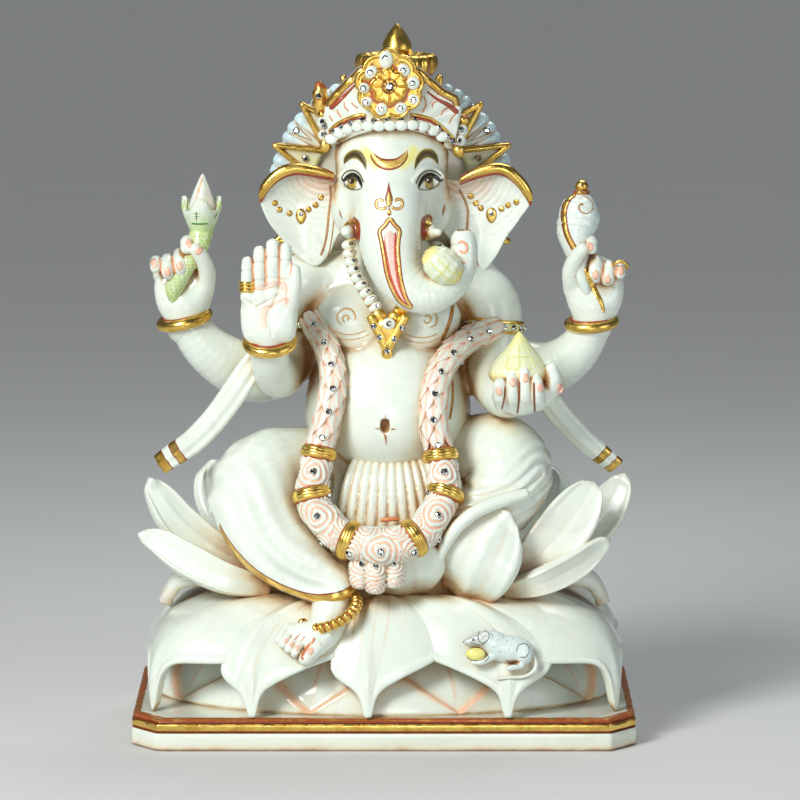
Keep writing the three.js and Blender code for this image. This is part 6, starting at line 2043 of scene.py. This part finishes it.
def mouse_bits():
    """The mouse's sweet, tail, eyes and painted fur lines."""
    out = Mesh()
    points, faces = globe((48.8, -85.0, 52.0), (5.2, 2.8, 3.6), wide=32, high=20)
    out.put(points, faces, yellow=0.95, green=np.clip(0.6 - (points[:, 0] - 44) * 0.06, 0, 0.6))
    out.done("mouse_sweet", STONE, (), "yellow_marble")
    out = Mesh()
    rail(out, [(78, -80, 52.5, 1.0), (80.6, -81.4, 48, 0.95), (80.2, -82.6, 43.4, 0.9), (75, -83.6, 40, 0.8),
               (66.5, -84.0, 39.4, 0.7), (60, -83.6, 38.6, 0.5)], 1.2, 10)
    out.done("mouse_tail", STONE, (), "blue_marble")
    dark = Mesh()
    for x, y, z, r in ((47.6, -84.4, 59.8, 0.85), (42.8, -82.6, 58.3, 0.8)):
        points, faces = globe((x, y, z), (r, r, r), wide=12, high=8)
        dark.put(points, faces)
    view = View("mouse_carved", "mouse_sweet")
    for line in ([(43.3, 48.4), (46.6, 52.2), (50.9, 53.8)], [(55.8, 46.2), (53.1, 43.5), (46.6, 44.6)],
                 [(71.5, 39.7), (73.2, 43.5), (77.0, 44.0), (78.6, 40.8), (77.0, 37.0), (73.2, 37.0)],
                 [(66.1, 35.4), (68.8, 33.2), (73.2, 32.6)], [(54.2, 39.7), (56.9, 37.0), (54.2, 34.3)],
                 [(44.4, 38.1), (46.6, 35.4), (50.9, 34.8)],
                 [(52.5, 52.7), (56.9, 49.5), (55.8, 45.7), (52.5, 44.6), (50.9, 47.8), (52.0, 51.6)]):
        stroke(dark, view, line, 0.45, lift=0.16)
    for u, v in ((59.6, 42.4), (61.8, 46.2), (64.5, 47.6), (66.6, 45.7), (62.9, 39.7), (67.7, 41.3),
                 (69.9, 46.7)):
        stroke(dark, view, [(u - 0.5, v - 0.2), (u, v), (u + 0.5, v + 0.3)], 0.4, lift=0.14)
    dark.done("mouse_painted_lines", SLATE, (), "blue_marble")


# ---------------------------------------------------------------- painted lines
def painted(view, jobs):
    """Each job: piece name, material, and its strokes (line, width, lift) and discs."""
    for name, material, slot, strokes, discs in jobs:
        out = Mesh()
        for line, width, lift in strokes:
            stroke(out, view, line, width, lift=lift)
        for u, v, ru, rv, tilt, lift in discs:
            disc(out, view, u, v, ru, rv, tilt=tilt, lift=lift)
        out.done(name, material, (), slot)


def face_paint():
    """Eyes, brows, forehead marks, the trunk's red tongue and the tusk sockets."""
    view = View("elephant_head")
    brow_r = [(-21.8, 304.2, 0.2), (-20.4, 307.2, 0.7), (-17.6, 309.5, 1.05), (-14.4, 309.6, 1.15),
              (-11.9, 307.2, 0.85), (-10.5, 304.4, 0.5), (-10.0, 301.2, 0.15)]
    brow_l = [(16.4, 301.2, 0.15), (17.4, 304.4, 0.5), (19.1, 307.8, 0.9), (22.2, 310.2, 1.15),
              (25.6, 309.8, 1.05), (27.9, 307.3, 0.65), (29.3, 304.0, 0.15)]
    crescent = [(-6.9, 311.7, 0.2), (-5.8, 308.5, 0.62), (-2.2, 305.2, 0.95), (2.6, 304.1, 1.1),
                (7.5, 305.2, 0.95), (11.2, 308.6, 0.62), (12.5, 312.1, 0.2)]
    scrolls = ([(1.8, 281.1), (-1.7, 280.0), (-4.2, 281.4), (-4.0, 284.2), (-1.7, 285.1), (-0.3, 283.7)],
               [(3.7, 281.1), (7.1, 280.0), (9.8, 281.6), (9.5, 284.6), (7.2, 285.4), (5.8, 284.0)])
    left_edge = [(3.1, 275.4), (0.5, 271.3), (-2.4, 267.9), (-1.4, 262.1), (-0.3, 255.6), (2.0, 243.1),
                 (6.6, 232.5), (10.8, 228.3), (15.5, 226.1)]
    right_edge = [(3.1, 275.4), (5.6, 271.6), (8.3, 268.2), (7.6, 262.1), (7.6, 255.1), (9.1, 241.5),
                  (12.1, 231.2), (15.5, 226.1)]
    middle = [(3.1, 268.1, 1.0), (3.3, 261.6, 0.92), (3.7, 255.1, 0.84), (5.7, 242.6, 0.72),
              (9.1, 232.3, 0.55), (14.0, 227.0, 0.15)]
    lids = ([(-23.4, 297.5, 0.15), (-22.0, 295.4, 0.7), (-20.0, 297.3, 0.9), (-17.1, 298.5, 1.1),
             (-14.5, 297.3, 1.0), (-12.8, 294.3, 0.8), (-12.0, 291.4, 0.3)],
            [(18.3, 291.1, 0.3), (19.7, 294.2, 0.8), (21.8, 297.2, 1.0), (24.9, 298.6, 1.1),
             (28.1, 297.4, 0.95), (30.5, 295.3, 0.75), (32.1, 296.8, 0.15)])
    under = ([(-22.1, 295.0), (-20.7, 292.3), (-17.8, 290.5), (-14.5, 290.5), (-12.0, 291.4)],
             [(18.3, 291.1), (21.2, 290.4), (24.9, 290.5), (28.3, 292.3), (30.7, 295.2)])
    crease = ([(-23.2, 296.8), (-20.9, 299.9), (-16.8, 301.1), (-13.3, 299.0), (-11.1, 294.1)],
              [(17.2, 293.3), (19.3, 298.2), (23.2, 300.8), (27.4, 300.4), (31.3, 297.7)])
    whites = ([(-21.5, 294.3, 0.25), (-19.3, 294.3, 0.9), (-16.9, 294.0, 1.15), (-14.5, 293.0, 0.85),
               (-12.6, 291.6, 0.2)],
              [(18.9, 291.4, 0.2), (21.3, 293.4, 0.85), (24.3, 294.2, 1.15), (27.4, 294.6, 0.9),
               (30.1, 294.9, 0.25)])
    shades = ([(-21.8, 296.3, 0.3), (-19.4, 298.4, 0.9), (-16.4, 299.4, 1.1), (-13.5, 297.6, 0.9),
               (-11.7, 293.6, 0.3)],
              [(18.1, 293.3, 0.3), (20.2, 297.1, 0.9), (23.8, 299.5, 1.1), (27.6, 298.9, 0.9),
               (30.7, 296.6, 0.3)])
    painted(view, (
        ("eye_lid_tint", LID, "blue_marble", [(s, 2.4, 0.10) for s in shades], []),
        ("eye_whites", PEARL, "marble", [(w, 4.7, 0.16) for w in whites], []),
        ("brow_halo", HALO_WASH, "marble", [(b, 4.9, 0.06) for b in (brow_r, brow_l)], []),
        ("brows", OLIVE, "marble", [(b, 3.6, 0.20) for b in (brow_r, brow_l)], []),
        ("brow_cores", BROW_DARK, "marble", [(b[1:-1], 1.9, 0.32) for b in (brow_r, brow_l)], []),
        ("eye_iris_rims", OLIVE, "marble", [],
         [(-17.4, 293.9, 3.0, 3.3, 0, 0.24), (24.4, 294.2, 3.0, 3.3, 0, 0.24)]),
        ("eye_irises", AMBER, "yellow_marble", [],
         [(-17.4, 293.6, 2.5, 2.75, 0, 0.34), (24.4, 293.9, 2.5, 2.75, 0, 0.34)]),
        ("eye_pupils", BLACK, "marble", [(lid, 2.3, 0.42) for lid in lids],
         [(-17.4, 294.7, 1.6, 1.85, 0, 0.46), (24.4, 295.0, 1.6, 1.85, 0, 0.46)]),
        ("eye_lines", OLIVE, "marble", [(u, 0.55, 0.34) for u in under] + [(c, 0.8, 0.2) for c in crease],
         []),
        # painted highlights: a white spot high on each pupil, towards the key lamp
        ("eye_painted_highlights", PEARL, "marble", [],
         [(-18.2, 295.4, 0.5, 0.6, 0, 0.62), (23.5, 295.8, 0.5, 0.6, 0, 0.62)]),
        ("forehead_red", RED, "gilding",
         [(crescent, 5.6, 0.12),
          ([(2.5, 294.9, 0.1), (2.5, 291.4, 0.35), (2.6, 288.2, 0.7), (2.6, 285.4, 1.0), (2.7, 280.8, 0.55)],
           4.2, 0.12),
          ([(2.7, 280.6, 0.6), (2.8, 277.2, 0.9), (2.8, 276.2, 0.3)], 2.8, 0.10)]
         + [(s, 1.7, 0.10) for s in scrolls], []),
        ("forehead_gold", LEAF_BRIGHT, "gilding",
         [(crescent, 3.7, 0.26),
          ([(2.6, 289.8, 0.15), (2.6, 286.5, 0.7), (2.6, 284.0, 1.0), (2.7, 281.4, 0.6)], 3.0, 0.26)]
         + [(s, 1.0, 0.24) for s in scrolls], [(2.8, 278.6, 1.15, 1.2, 0, 0.26)]),
        ("trunk_pink", PINK, "peach_marble", [(middle, 7.2, 0.10)], []),
        ("trunk_red", RED_BRIGHT, "peach_marble",
         [([(6.1, 267.5, 0.7), (5.8, 255.1, 0.8), (7.5, 242.0, 1.0), (10.8, 232.3, 1.0), (14.6, 227.1, 0.3)],
           1.7, 0.2),
          ([(0.2, 263.2, 0.3), (1.4, 254.5, 0.6), (3.7, 242.6, 0.9), (8.1, 232.3, 1.0), (13.5, 227.4, 0.3)],
           1.5, 0.2)], []),
        ("trunk_outline", RED, "gilding", [(left_edge, 2.5, 0.24), (right_edge, 2.5, 0.24)], []),
        ("trunk_gold", LEAF_BRIGHT, "gilding", [(left_edge, 1.5, 0.38), (right_edge, 1.5, 0.38)], []),
        ("tusk_sockets", RED, "gilding",
         [([(-19.3, 272.7), (-16.7, 274.6), (-14.4, 272.4), (-13.9, 267.5), (-14.6, 261.0)], 2.2, 0.2),
          ([(25.7, 273.5), (24.0, 275.9), (21.6, 274.3), (21.0, 269.2), (21.7, 263.2)], 2.6, 0.2)], []),
        ("tusk_socket_gold", GOLD, "gilding",
         [([(-18.9, 272.7), (-16.7, 274.2), (-14.8, 272.2), (-14.4, 267.5)], 0.9, 0.34),
          ([(25.4, 273.3), (23.9, 275.4), (22.1, 273.7), (21.5, 269.2), (21.9, 265.4)], 1.0, 0.34)], []),
        ("trunk_tip", PEACH, "peach_marble",
         [([(40.1, 261.6), (41.9, 262.4), (44.1, 261.2), (45.1, 258.9), (44.2, 256.7), (42.0, 256.4),
            (40.8, 258.1)], 1.5, 0.25),
          ([(35.7, 257.2), (37.9, 253.7), (41.1, 251.3), (44.4, 250.7)], 1.0, 0.2)], []),
        ("face_brown_marks", BROWN, "marble",
         [([(32.8, 282.9, 0.2), (32.7, 281.1, 0.8), (32.1, 278.9, 0.9), (31.6, 276.2, 0.2)], 1.7, 0.14),
          ([(-24.3, 280.0, 0.2), (-23.8, 277.3, 0.8), (-22.6, 274.6, 0.2)], 1.3, 0.14),
          ([(20.3, 259.9), (18.1, 259.6)], 0.4, 0.12), ([(20.0, 257.8), (17.6, 257.4)], 0.4, 0.12),
          ([(19.7, 255.6), (17.5, 255.4)], 0.4, 0.12), ([(19.4, 253.4), (17.5, 253.4)], 0.4, 0.12),
          ([(19.8, 262.1), (17.8, 261.9)], 0.4, 0.12)], []),
    ))


def ear_paint():
    """Gold dots, drops and brown speckles on the ears."""
    view = View("ear_right", "ear_left")
    stones = Mesh()
    spots = [(-59.2, 283.4), (-56.8, 279.9), (-51.3, 277.8), (-41.0, 279.9), (-37.2, 282.3), (-34.3, 286.5),
             (47.1, 287.1), (49.8, 283.3), (52.5, 280.6), (63.6, 280.3), (67.2, 282.2), (71.7, 283.8)]
    drops = [(-45.1, 277.0), (58.2, 277.5)]
    gold, brown, speckle, white = Mesh(), Mesh(), Mesh(), Mesh()
    for u, v in spots:
        disc(brown, view, u, v - 0.15, 1.75, 1.75, lift=0.16)
        disc(gold, view, u, v, 1.35, 1.35, lift=0.42)
    for u, v in drops:
        disc(brown, view, u, v - 0.5, 3.0, 3.9, lift=0.16, shape=lambda a: 1
             + 0.25 * np.clip(-np.sin(a), 0, 1) ** 6)
        disc(gold, view, u, v - 0.5, 2.6, 3.5, lift=0.42, shape=lambda a: 1
             + 0.3 * np.clip(-np.sin(a), 0, 1) ** 6)
        disc(white, view, u, v + 0.2, 1.6, 1.9, lift=0.6)
        at, n = view.drop(u, v + 0.3, 0.7)
        if at is not None:
            gem(stones, at, n, 1.15)
    for low, high in (((-63.0, 284.9), (-31.5, 251.3)), ((42.2, 290.3), (75.9, 257.8))):
        for _ in range(40):
            u, v = RNG.uniform(low[0], high[0]), RNG.uniform(high[1], low[1])
            if view.drop(u, v)[0] is not None:
                disc(speckle, view, u, v, RNG.uniform(0.28, 0.55), lift=0.14, around=8, rows=1)
    for line, w in (([(-29.4, 293.6), (-29.0, 286.0), (-30.1, 277.3), (-30.8, 269.2), (-32.1, 261.6),
                      (-34.5, 254.5)], 1.3),
                    ([(40.6, 290.9), (43.5, 285.4), (45.3, 279.5), (45.2, 273.0), (44.7, 266.5)], 1.4),
                    ([(-26.9, 284.9), (-27.4, 273.0), (-29.2, 259.9), (-32.8, 248.0), (-37.0, 238.2)], 0.7),
                    ([(-38.9, 245.0), (-36.7, 239.9), (-35.3, 233.4)], 0.9),
                    ([(50.0, 253.7), (51.8, 245.8), (52.5, 236.1), (53.3, 226.3)], 0.9)):
        stroke(brown, view, line, w, lift=0.2)
    gold.done("ear_gold_dots", GOLD, (), "gilding")
    brown.done("ear_brown_lines", BROWN, (), "marble")
    speckle.done("ear_speckles", BROWN, (), "marble")
    white.done("ear_drop_beads", PEARL, (), "marble")
    stones.done("ear_stones", CRYSTAL, (), "gilding", smooth=False)


def body_paint():
    """Rings on the chest, the sacred thread and the navel."""
    view = View("body")
    ring_r = [(-20.5 + 4.9 * c, 221.2 - 4.9 * s, k) for c, s,
              k in ((0.9, 0.44, 0.4), (0.99, -0.1, 0.8), (0.6, -0.8, 1.0), (-0.2, -0.98, 1.0),
                    (-0.9, -0.44, 1.0), (-0.95, 0.3, 0.9), (-0.5, 0.86, 0.6))]
    ring_l = [(24.1 + 4.7 * c, 220.3 - 4.8 * s, k) for c, s,
              k in ((-0.9, -0.44, 0.5), (-0.3, -0.95, 1.0), (0.5, -0.86, 1.0), (0.98, -0.15, 1.0),
                    (0.8, 0.6, 0.9), (0.1, 0.99, 0.5))]
    painted(view, (
        ("body_ochre_lines", VEIN, "marble",
         [(ring_r, 1.1, 0.14), (ring_l, 1.1, 0.14),
          ([(-21.0, 218.4), (-22.5, 219.8), (-22.0, 222.0), (-20.2, 222.3), (-19.1, 220.6), (-20.2, 219.3)],
           1.0, 0.14),
          ([(21.9, 221.8), (24.0, 222.3), (25.4, 220.7), (24.5, 218.7), (22.5, 218.2), (21.5, 220.0)], 1.2,
           0.14),
          ([(-27.7, 214.0), (-21.2, 212.0), (-14.7, 212.4), (-9.8, 214.4)], 0.7, 0.12),
          ([(-28.8, 211.7), (-21.8, 209.3), (-14.2, 209.7), (-7.7, 212.2)], 0.6, 0.12),
          ([(10.8, 212.7), (16.2, 210.6), (22.7, 210.3), (29.2, 212.4)], 0.7, 0.12),
          ([(9.7, 210.0), (15.7, 207.9), (23.2, 207.6), (30.3, 210.0)], 0.6, 0.12),
          ([(-26.1, 148.2), (-20.7, 143.3), (-12.0, 140.1), (1.0, 138.8), (15.1, 140.2), (23.8, 143.9),
            (29.2, 149.3)], 1.1, 0.14)], []),
        ("sacred_thread", THREAD, "gilding",
         [([(36.3, 232.3), (37.1, 227.4), (36.1, 220.9), (33.9, 214.4), (30.8, 208.4)], 2.0, 0.2),
          ([(35.4, 193.8), (37.1, 185.1), (37.0, 175.3), (35.5, 165.6)], 1.4, 0.2)], []),
        ("navel_star", BROWN, "marble",
         [([(-5.5, 161.0, 0.1), (-2.2, 160.8, 0.5), (0.5, 160.6, 1.0), (3.2, 160.6, 0.5), (7.0, 160.5, 0.1)],
           3.4, 0.10),
          ([(0.7, 168.8, 0.1), (0.6, 164.5, 0.5), (0.5, 160.7, 1.0), (0.7, 156.9, 0.5), (1.3, 151.4, 0.1)],
           3.2, 0.12)], []),
    ))


def hand_paint():
    """Lines between the fingers, nails and finger rings."""
    jobs = {"palm": ("open_palm",
                     [([(-71.7, 253.4), (-71.4, 246.9), (-71.1, 239.3)], 0.8),
                      ([(-64.7, 257.1), (-64.3, 248.0), (-64.0, 238.0)], 0.9),
                      ([(-57.4, 258.3), (-57.1, 249.1), (-56.9, 240.0)], 0.9),
                      ([(-50.4, 253.4), (-50.3, 248.0), (-51.2, 243.7)], 0.7),
                      ([(-71.1, 236.8), (-66.3, 236.2), (-59.8, 238.2), (-54.3, 240.4)], 0.4),
                      ([(-63.9, 215.5), (-64.2, 222.0), (-61.9, 227.1), (-57.0, 229.8), (-52.2, 231.7)], 0.5),
                      ([(-54.1, 240.4), (-52.7, 236.6), (-53.8, 232.3), (-52.2, 228.5)], 0.55),
                      ([(-52.2, 231.7), (-50.3, 229.0)], 0.4), ([(-52.2, 231.7), (-54.3, 227.4)], 0.4)]),
            "bud": ("bud_fist", [([(-121.9, 252.9), (-121.5, 248.2), (-120.0, 242.6)], 0.9),
                                 ([(-114.7, 254.0), (-113.7, 248.2), (-112.1, 242.4), (-108.0, 243.3)],
                                  0.9)]),
            "conch": ("conch_fist",
                      [([(118.4, 249.1), (118.0, 242.0), (115.5, 239.1)], 0.9),
                       ([(126.3, 249.6), (125.6, 243.1)], 0.9),
                       ([(103.0, 243.7), (106.8, 242.8), (109.5, 245.3)], 0.9),
                       ([(107.9, 241.5), (109.5, 235.5)], 0.5), ([(106.2, 241.5), (105.7, 237.2)], 0.5)]),
            "cup": ("cupped_palm",
                    [([(65.6, 184.0), (65.2, 177.5), (63.7, 171.0)], 1.0),
                     ([(73.4, 186.7), (73.3, 178.0), (72.2, 168.8)], 1.1),
                     ([(81.3, 186.4), (81.4, 178.0), (81.8, 168.5)], 1.2)])}
    nails = {"bud": [(-124.8, 250.6, 10), (-117.5, 246.2, 8), (-111.0, 249.0, -4), (-105.9, 261.4, 10),
                     (-100.4, 257.3, -40)],
             "conch": [(111.7, 259.5, 8), (114.8, 244.4, 0), (121.2, 241.8, 6), (128.3, 246.6, 4)],
             "cup": [(62.3, 181.1, 25), (69.7, 185.9, 10), (76.6, 188.3, 0), (84.9, 183.1, -4),
                     (95.4, 182.5, 0)]}
    for key, (piece, lines) in jobs.items():
        view = View(piece)
        out = Mesh()
        for line, width in lines:
            stroke(out, view, line, width, lift=0.15)
        out.done(key + "_hand_lines", CUP_LINE if key == "cup" else PEACH, (), "peach_marble")
        if key in nails:
            out = Mesh()
            for u, v, tilt in nails[key]:
                disc(out, view, u, v, 1.8, 2.6, tilt=tilt, lift=0.3)
            out.done(key + "_hand_nails", NAIL, (), "peach_marble")
    gold = Mesh()
    for k in (-1.9, 0, 1.9):
        hoop(gold, (-72.5, -52.2, 244.4 + k), 3.5, 1.15, (0.03, 0.1, 1), sides=8, around=40)
    hoop(gold, (126.8, -17.6, 251.6), 4.0, 1.0, (0.05, 0.9, 1), sides=8, around=40)
    gold.done("finger_rings", GOLD, (), "gilding")


def foot_paint():
    """Lines between the toes, and nails."""
    view = View("foot")
    painted(view, (
        ("toe_lines", TOE_LINE, "peach_marble",
         [([(-38.1, 47.8), (-38.4, 45.7), (-41.9, 42.1), (-44.4, 37.5), (-44.0, 35.1)], 1.5, 0.16),
          ([(-42.4, 48.9), (-45.7, 45.1)], 0.6, 0.14), ([(-45.1, 50.3), (-48.9, 45.9)], 0.6, 0.14),
          ([(-48.9, 49.7), (-51.9, 47.3)], 0.5, 0.14), ([(-35.4, 45.6), (-34.0, 43.4)], 0.5, 0.14)], []),
        ("toe_nails", NAIL, "peach_marble", [],
         [(-40.1, 40.0, 1.8, 2.2, -25, 0.3), (-47.1, 41.9, 1.3, 1.8, -35, 0.3),
          (-50.2, 43.8, 1.2, 1.7, -35, 0.3), (-53.1, 45.7, 1.1, 1.5, -35, 0.3)]),
    ))


def cloth_paint():
    """The small tab under the belly."""
    tab = Mesh()
    rail(tab, [(-1.4, -60.8, 120.2, 0.8), (3, -61.4, 120.9, 1), (7.8, -61, 121, 0.8)], 1.3, 12)
    tab.done("waist_tab", TOE_LINE, (), "gilding")


def thing_paint():
    """Painted lines on the conch, the bud and the sweets."""
    view = View("conch_shell")
    band = [(104.1, 288.9), (100.3, 285.8), (98.1, 281.3), (97.5, 275.7), (99.0, 267.0), (102.8, 259.2),
            (106.0, 254.3)]
    painted(view, (
        ("conch_red", RED, "gilding", [(band, 3.4, 0.16)], []),
        ("conch_gold", GOLD, "gilding", [(band, 2.0, 0.36)], []),
        ("conch_spiral", BROWN, "marble",
         [([(108.2, 282.0, 1.5), (106.9, 282.9, 1.2), (105.5, 280.8, 1.0), (107.0, 278.4, 0.8),
            (110.0, 277.6, 0.7), (113.1, 280.0, 0.6), (112.8, 283.6, 0.5), (110.0, 286.3, 0.5),
            (107.1, 287.3, 0.4)], 1.0, 0.16)], []),
    ))
    view = View("conch_fist", "conch_shell")
    painted(view,
            (("conch_tail", GOLD, "gilding",
              [([(109.2, 248.0, 0.7), (110.9, 243.1, 0.9), (113.6, 237.7, 1.0), (116.6, 231.7, 1.0),
                 (118.5, 226.9, 0.8), (119.1, 223.6, 0.4)], 2.6, 0.5)], []),))
    view = View("lotus_calyx")
    painted(view, (
        ("calyx_lines", GREEN, "green_marble",
         [([(-106.6, 286.3), (-106.7, 282.2), (-107.5, 278.4)], 0.6, 0.14),
          ([(-106.2, 282.7), (-104.2, 285.1), (-101.1, 287.3), (-99.0, 286.0), (-97.2, 283.3), (-95.5, 279.5),
            (-94.0, 279.5), (-92.6, 283.3)], 0.8, 0.14),
          ([(-104.6, 272.2), (-100.4, 271.9), (-95.6, 272.1)], 1.0, 0.16),
          ([(-101.9, 278.9), (-101.9, 273.5)], 0.6, 0.14), ([(-103.4, 277.5), (-100.4, 277.6)], 0.5, 0.14),
          ([(-103.2, 275.8), (-100.4, 275.9)], 0.5, 0.14), ([(-90.5, 278.4), (-92.0, 274.6)], 0.6, 0.14)],
         []),))
    view, dots = View("lotus_stalk"), Mesh()
    for i, v in enumerate(np.arange(227, 266, 1.9)):
        middle = np.interp(v, (226, 235.4, 240.7, 248.6, 253.9, 260.4, 268),
                           (-111.9, -113.4, -110.7, -105.8, -102.9, -99.2, -98.9))
        for across in (-3.9, -1.3, 1.3, 3.9):
            u = middle + across + 1.3 * (i % 2)
            if view.drop(u, v)[0] is not None:
                disc(dots, view, u, v, 0.6, 0.7, lift=0.14, around=8, rows=1)
    dots.done("stalk_green_dots", GREEN, (), "green_marble")
    view = View("lotus_bud_petals")
    painted(view,
            (("bud_line", VEIN, "marble", [([(-98.3, 297.6), (-99.4, 293.6), (-100.7, 288.4)], 0.7, 0.14)],
              []),))
    for piece, name, lines in (("sweet_in_hand", "hand_sweet_lines",
                                ([(65.8, 193.3), (73.2, 192.9), (80.2, 193.4)],
                                 [(68.3, 199.9), (73.6, 199.7), (79.1, 200.1)],
                                 [(73.4, 206.2), (73.5, 193.8)], [(67.7, 200.3), (65.7, 193.2)],
                                 [(79.7, 200.3), (82.1, 193.8)])),
                               ("sweet_in_trunk", "trunk_sweet_lines",
                                ([(24.9, 251.3), (30.3, 245.8), (36.8, 240.4)],
                                 [(28.7, 253.4), (34.1, 248.0), (39.5, 243.7)],
                                 [(25.4, 239.3), (30.8, 244.8), (35.7, 251.3)],
                                 [(29.8, 236.1), (35.2, 241.5), (39.5, 247.5)]))):
        view = View(piece)
        painted(view, ((name, CITRON, "yellow_marble", [(line, 0.7, 0.12) for line in lines], []),))


# ---------------------------------------------------------------- the object
studio()
sculpt("body", body, (-122, -62, 95), (128, 45, 275), 1.1,
       ("torso", "rear_right_arm", "rear_left_arm", "front_right_arm", "front_left_arm"))
sculpt("right_leg_skirt", right_leg, (-100, -85, 62), (0, 40, 170), 1.0, ("right_leg",),
       marks=right_leg_marks)
sculpt("left_leg_skirt", left_leg, (-5, -75, 85), (100, 40, 178), 1.0, ("left_leg",))
sculpt("dhoti_fan", dhoti_fan, (-45, -70, 85), (50, 5, 170), 1.0, ("dhoti_pleats",), marks=lambda p,
       n: {"stain": 0.22 * step01(-p[:, 2], -135, -110)})
sculpt("foot", foot, (-65, -95, 42), (-10, -40, 102), 0.7, ("right_foot",))
sculpt("open_palm", open_hand, (-85, -68, 196), (-36, -32, 280), 0.6, ("front_right_hand",),
       marks=paw_marks(([(-64, 223), (-64, 230), (-62, 235), (-57, 238), (-52, 240)],
                        [(-71, 245), (-66, 244.5), (-60, 246.5), (-54, 248.5)],
                        [(-54, 248.5), (-53, 245), (-54, 240.5), (-52, 236.5)]), top=0.45, width=2.2))
sculpt("bud_fist", fist(-107, 1, 0.0, 1.6), (-130, -35, 200), (-84, 12, 282), 0.6, ("rear_right_hand",))
sculpt("conch_fist", fist(112.3, -1, 3.2, 2.7), (90, -35, 200), (134, 12, 282), 0.6, ("rear_left_hand",))
sculpt("cupped_palm", cupped_hand, (50, -72, 170), (102, -25, 212), 0.6, ("front_left_hand",))
sculpt("elephant_head", head, (-36, -72, 228), (56, 34, 345), 0.7, ("head",), marks=head_marks)
sculpt("crown_carved", crown, (-40, -42, 310), (50, 36, 370), 0.8, ("crown",), marks=crown_marks)
crown_rim()
plaque()
beads_and_stones()
ears()
halo()
plinth()
lotus_core()
lower_petals()
upper_petals()
garlands()
necklace()
rings_and_cuffs()
scarves()
held_bud()
held_conch()
sweets()
sculpt("mouse_carved", mouse, (38, -94, 38), (88, -66, 72), 0.6, ("mouse",), "blue_marble", marks=mouse_marks)
mouse_bits()
face_paint()
ear_paint()
body_paint()
hand_paint()
foot_paint()
cloth_paint()
thing_paint()
for name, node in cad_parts.items():
    if not node.hide_render:
        print("CAD piece still showing:", name)

{"cad": [list(v) for v in CAD_BOX], "visual": [list(v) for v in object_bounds()]}
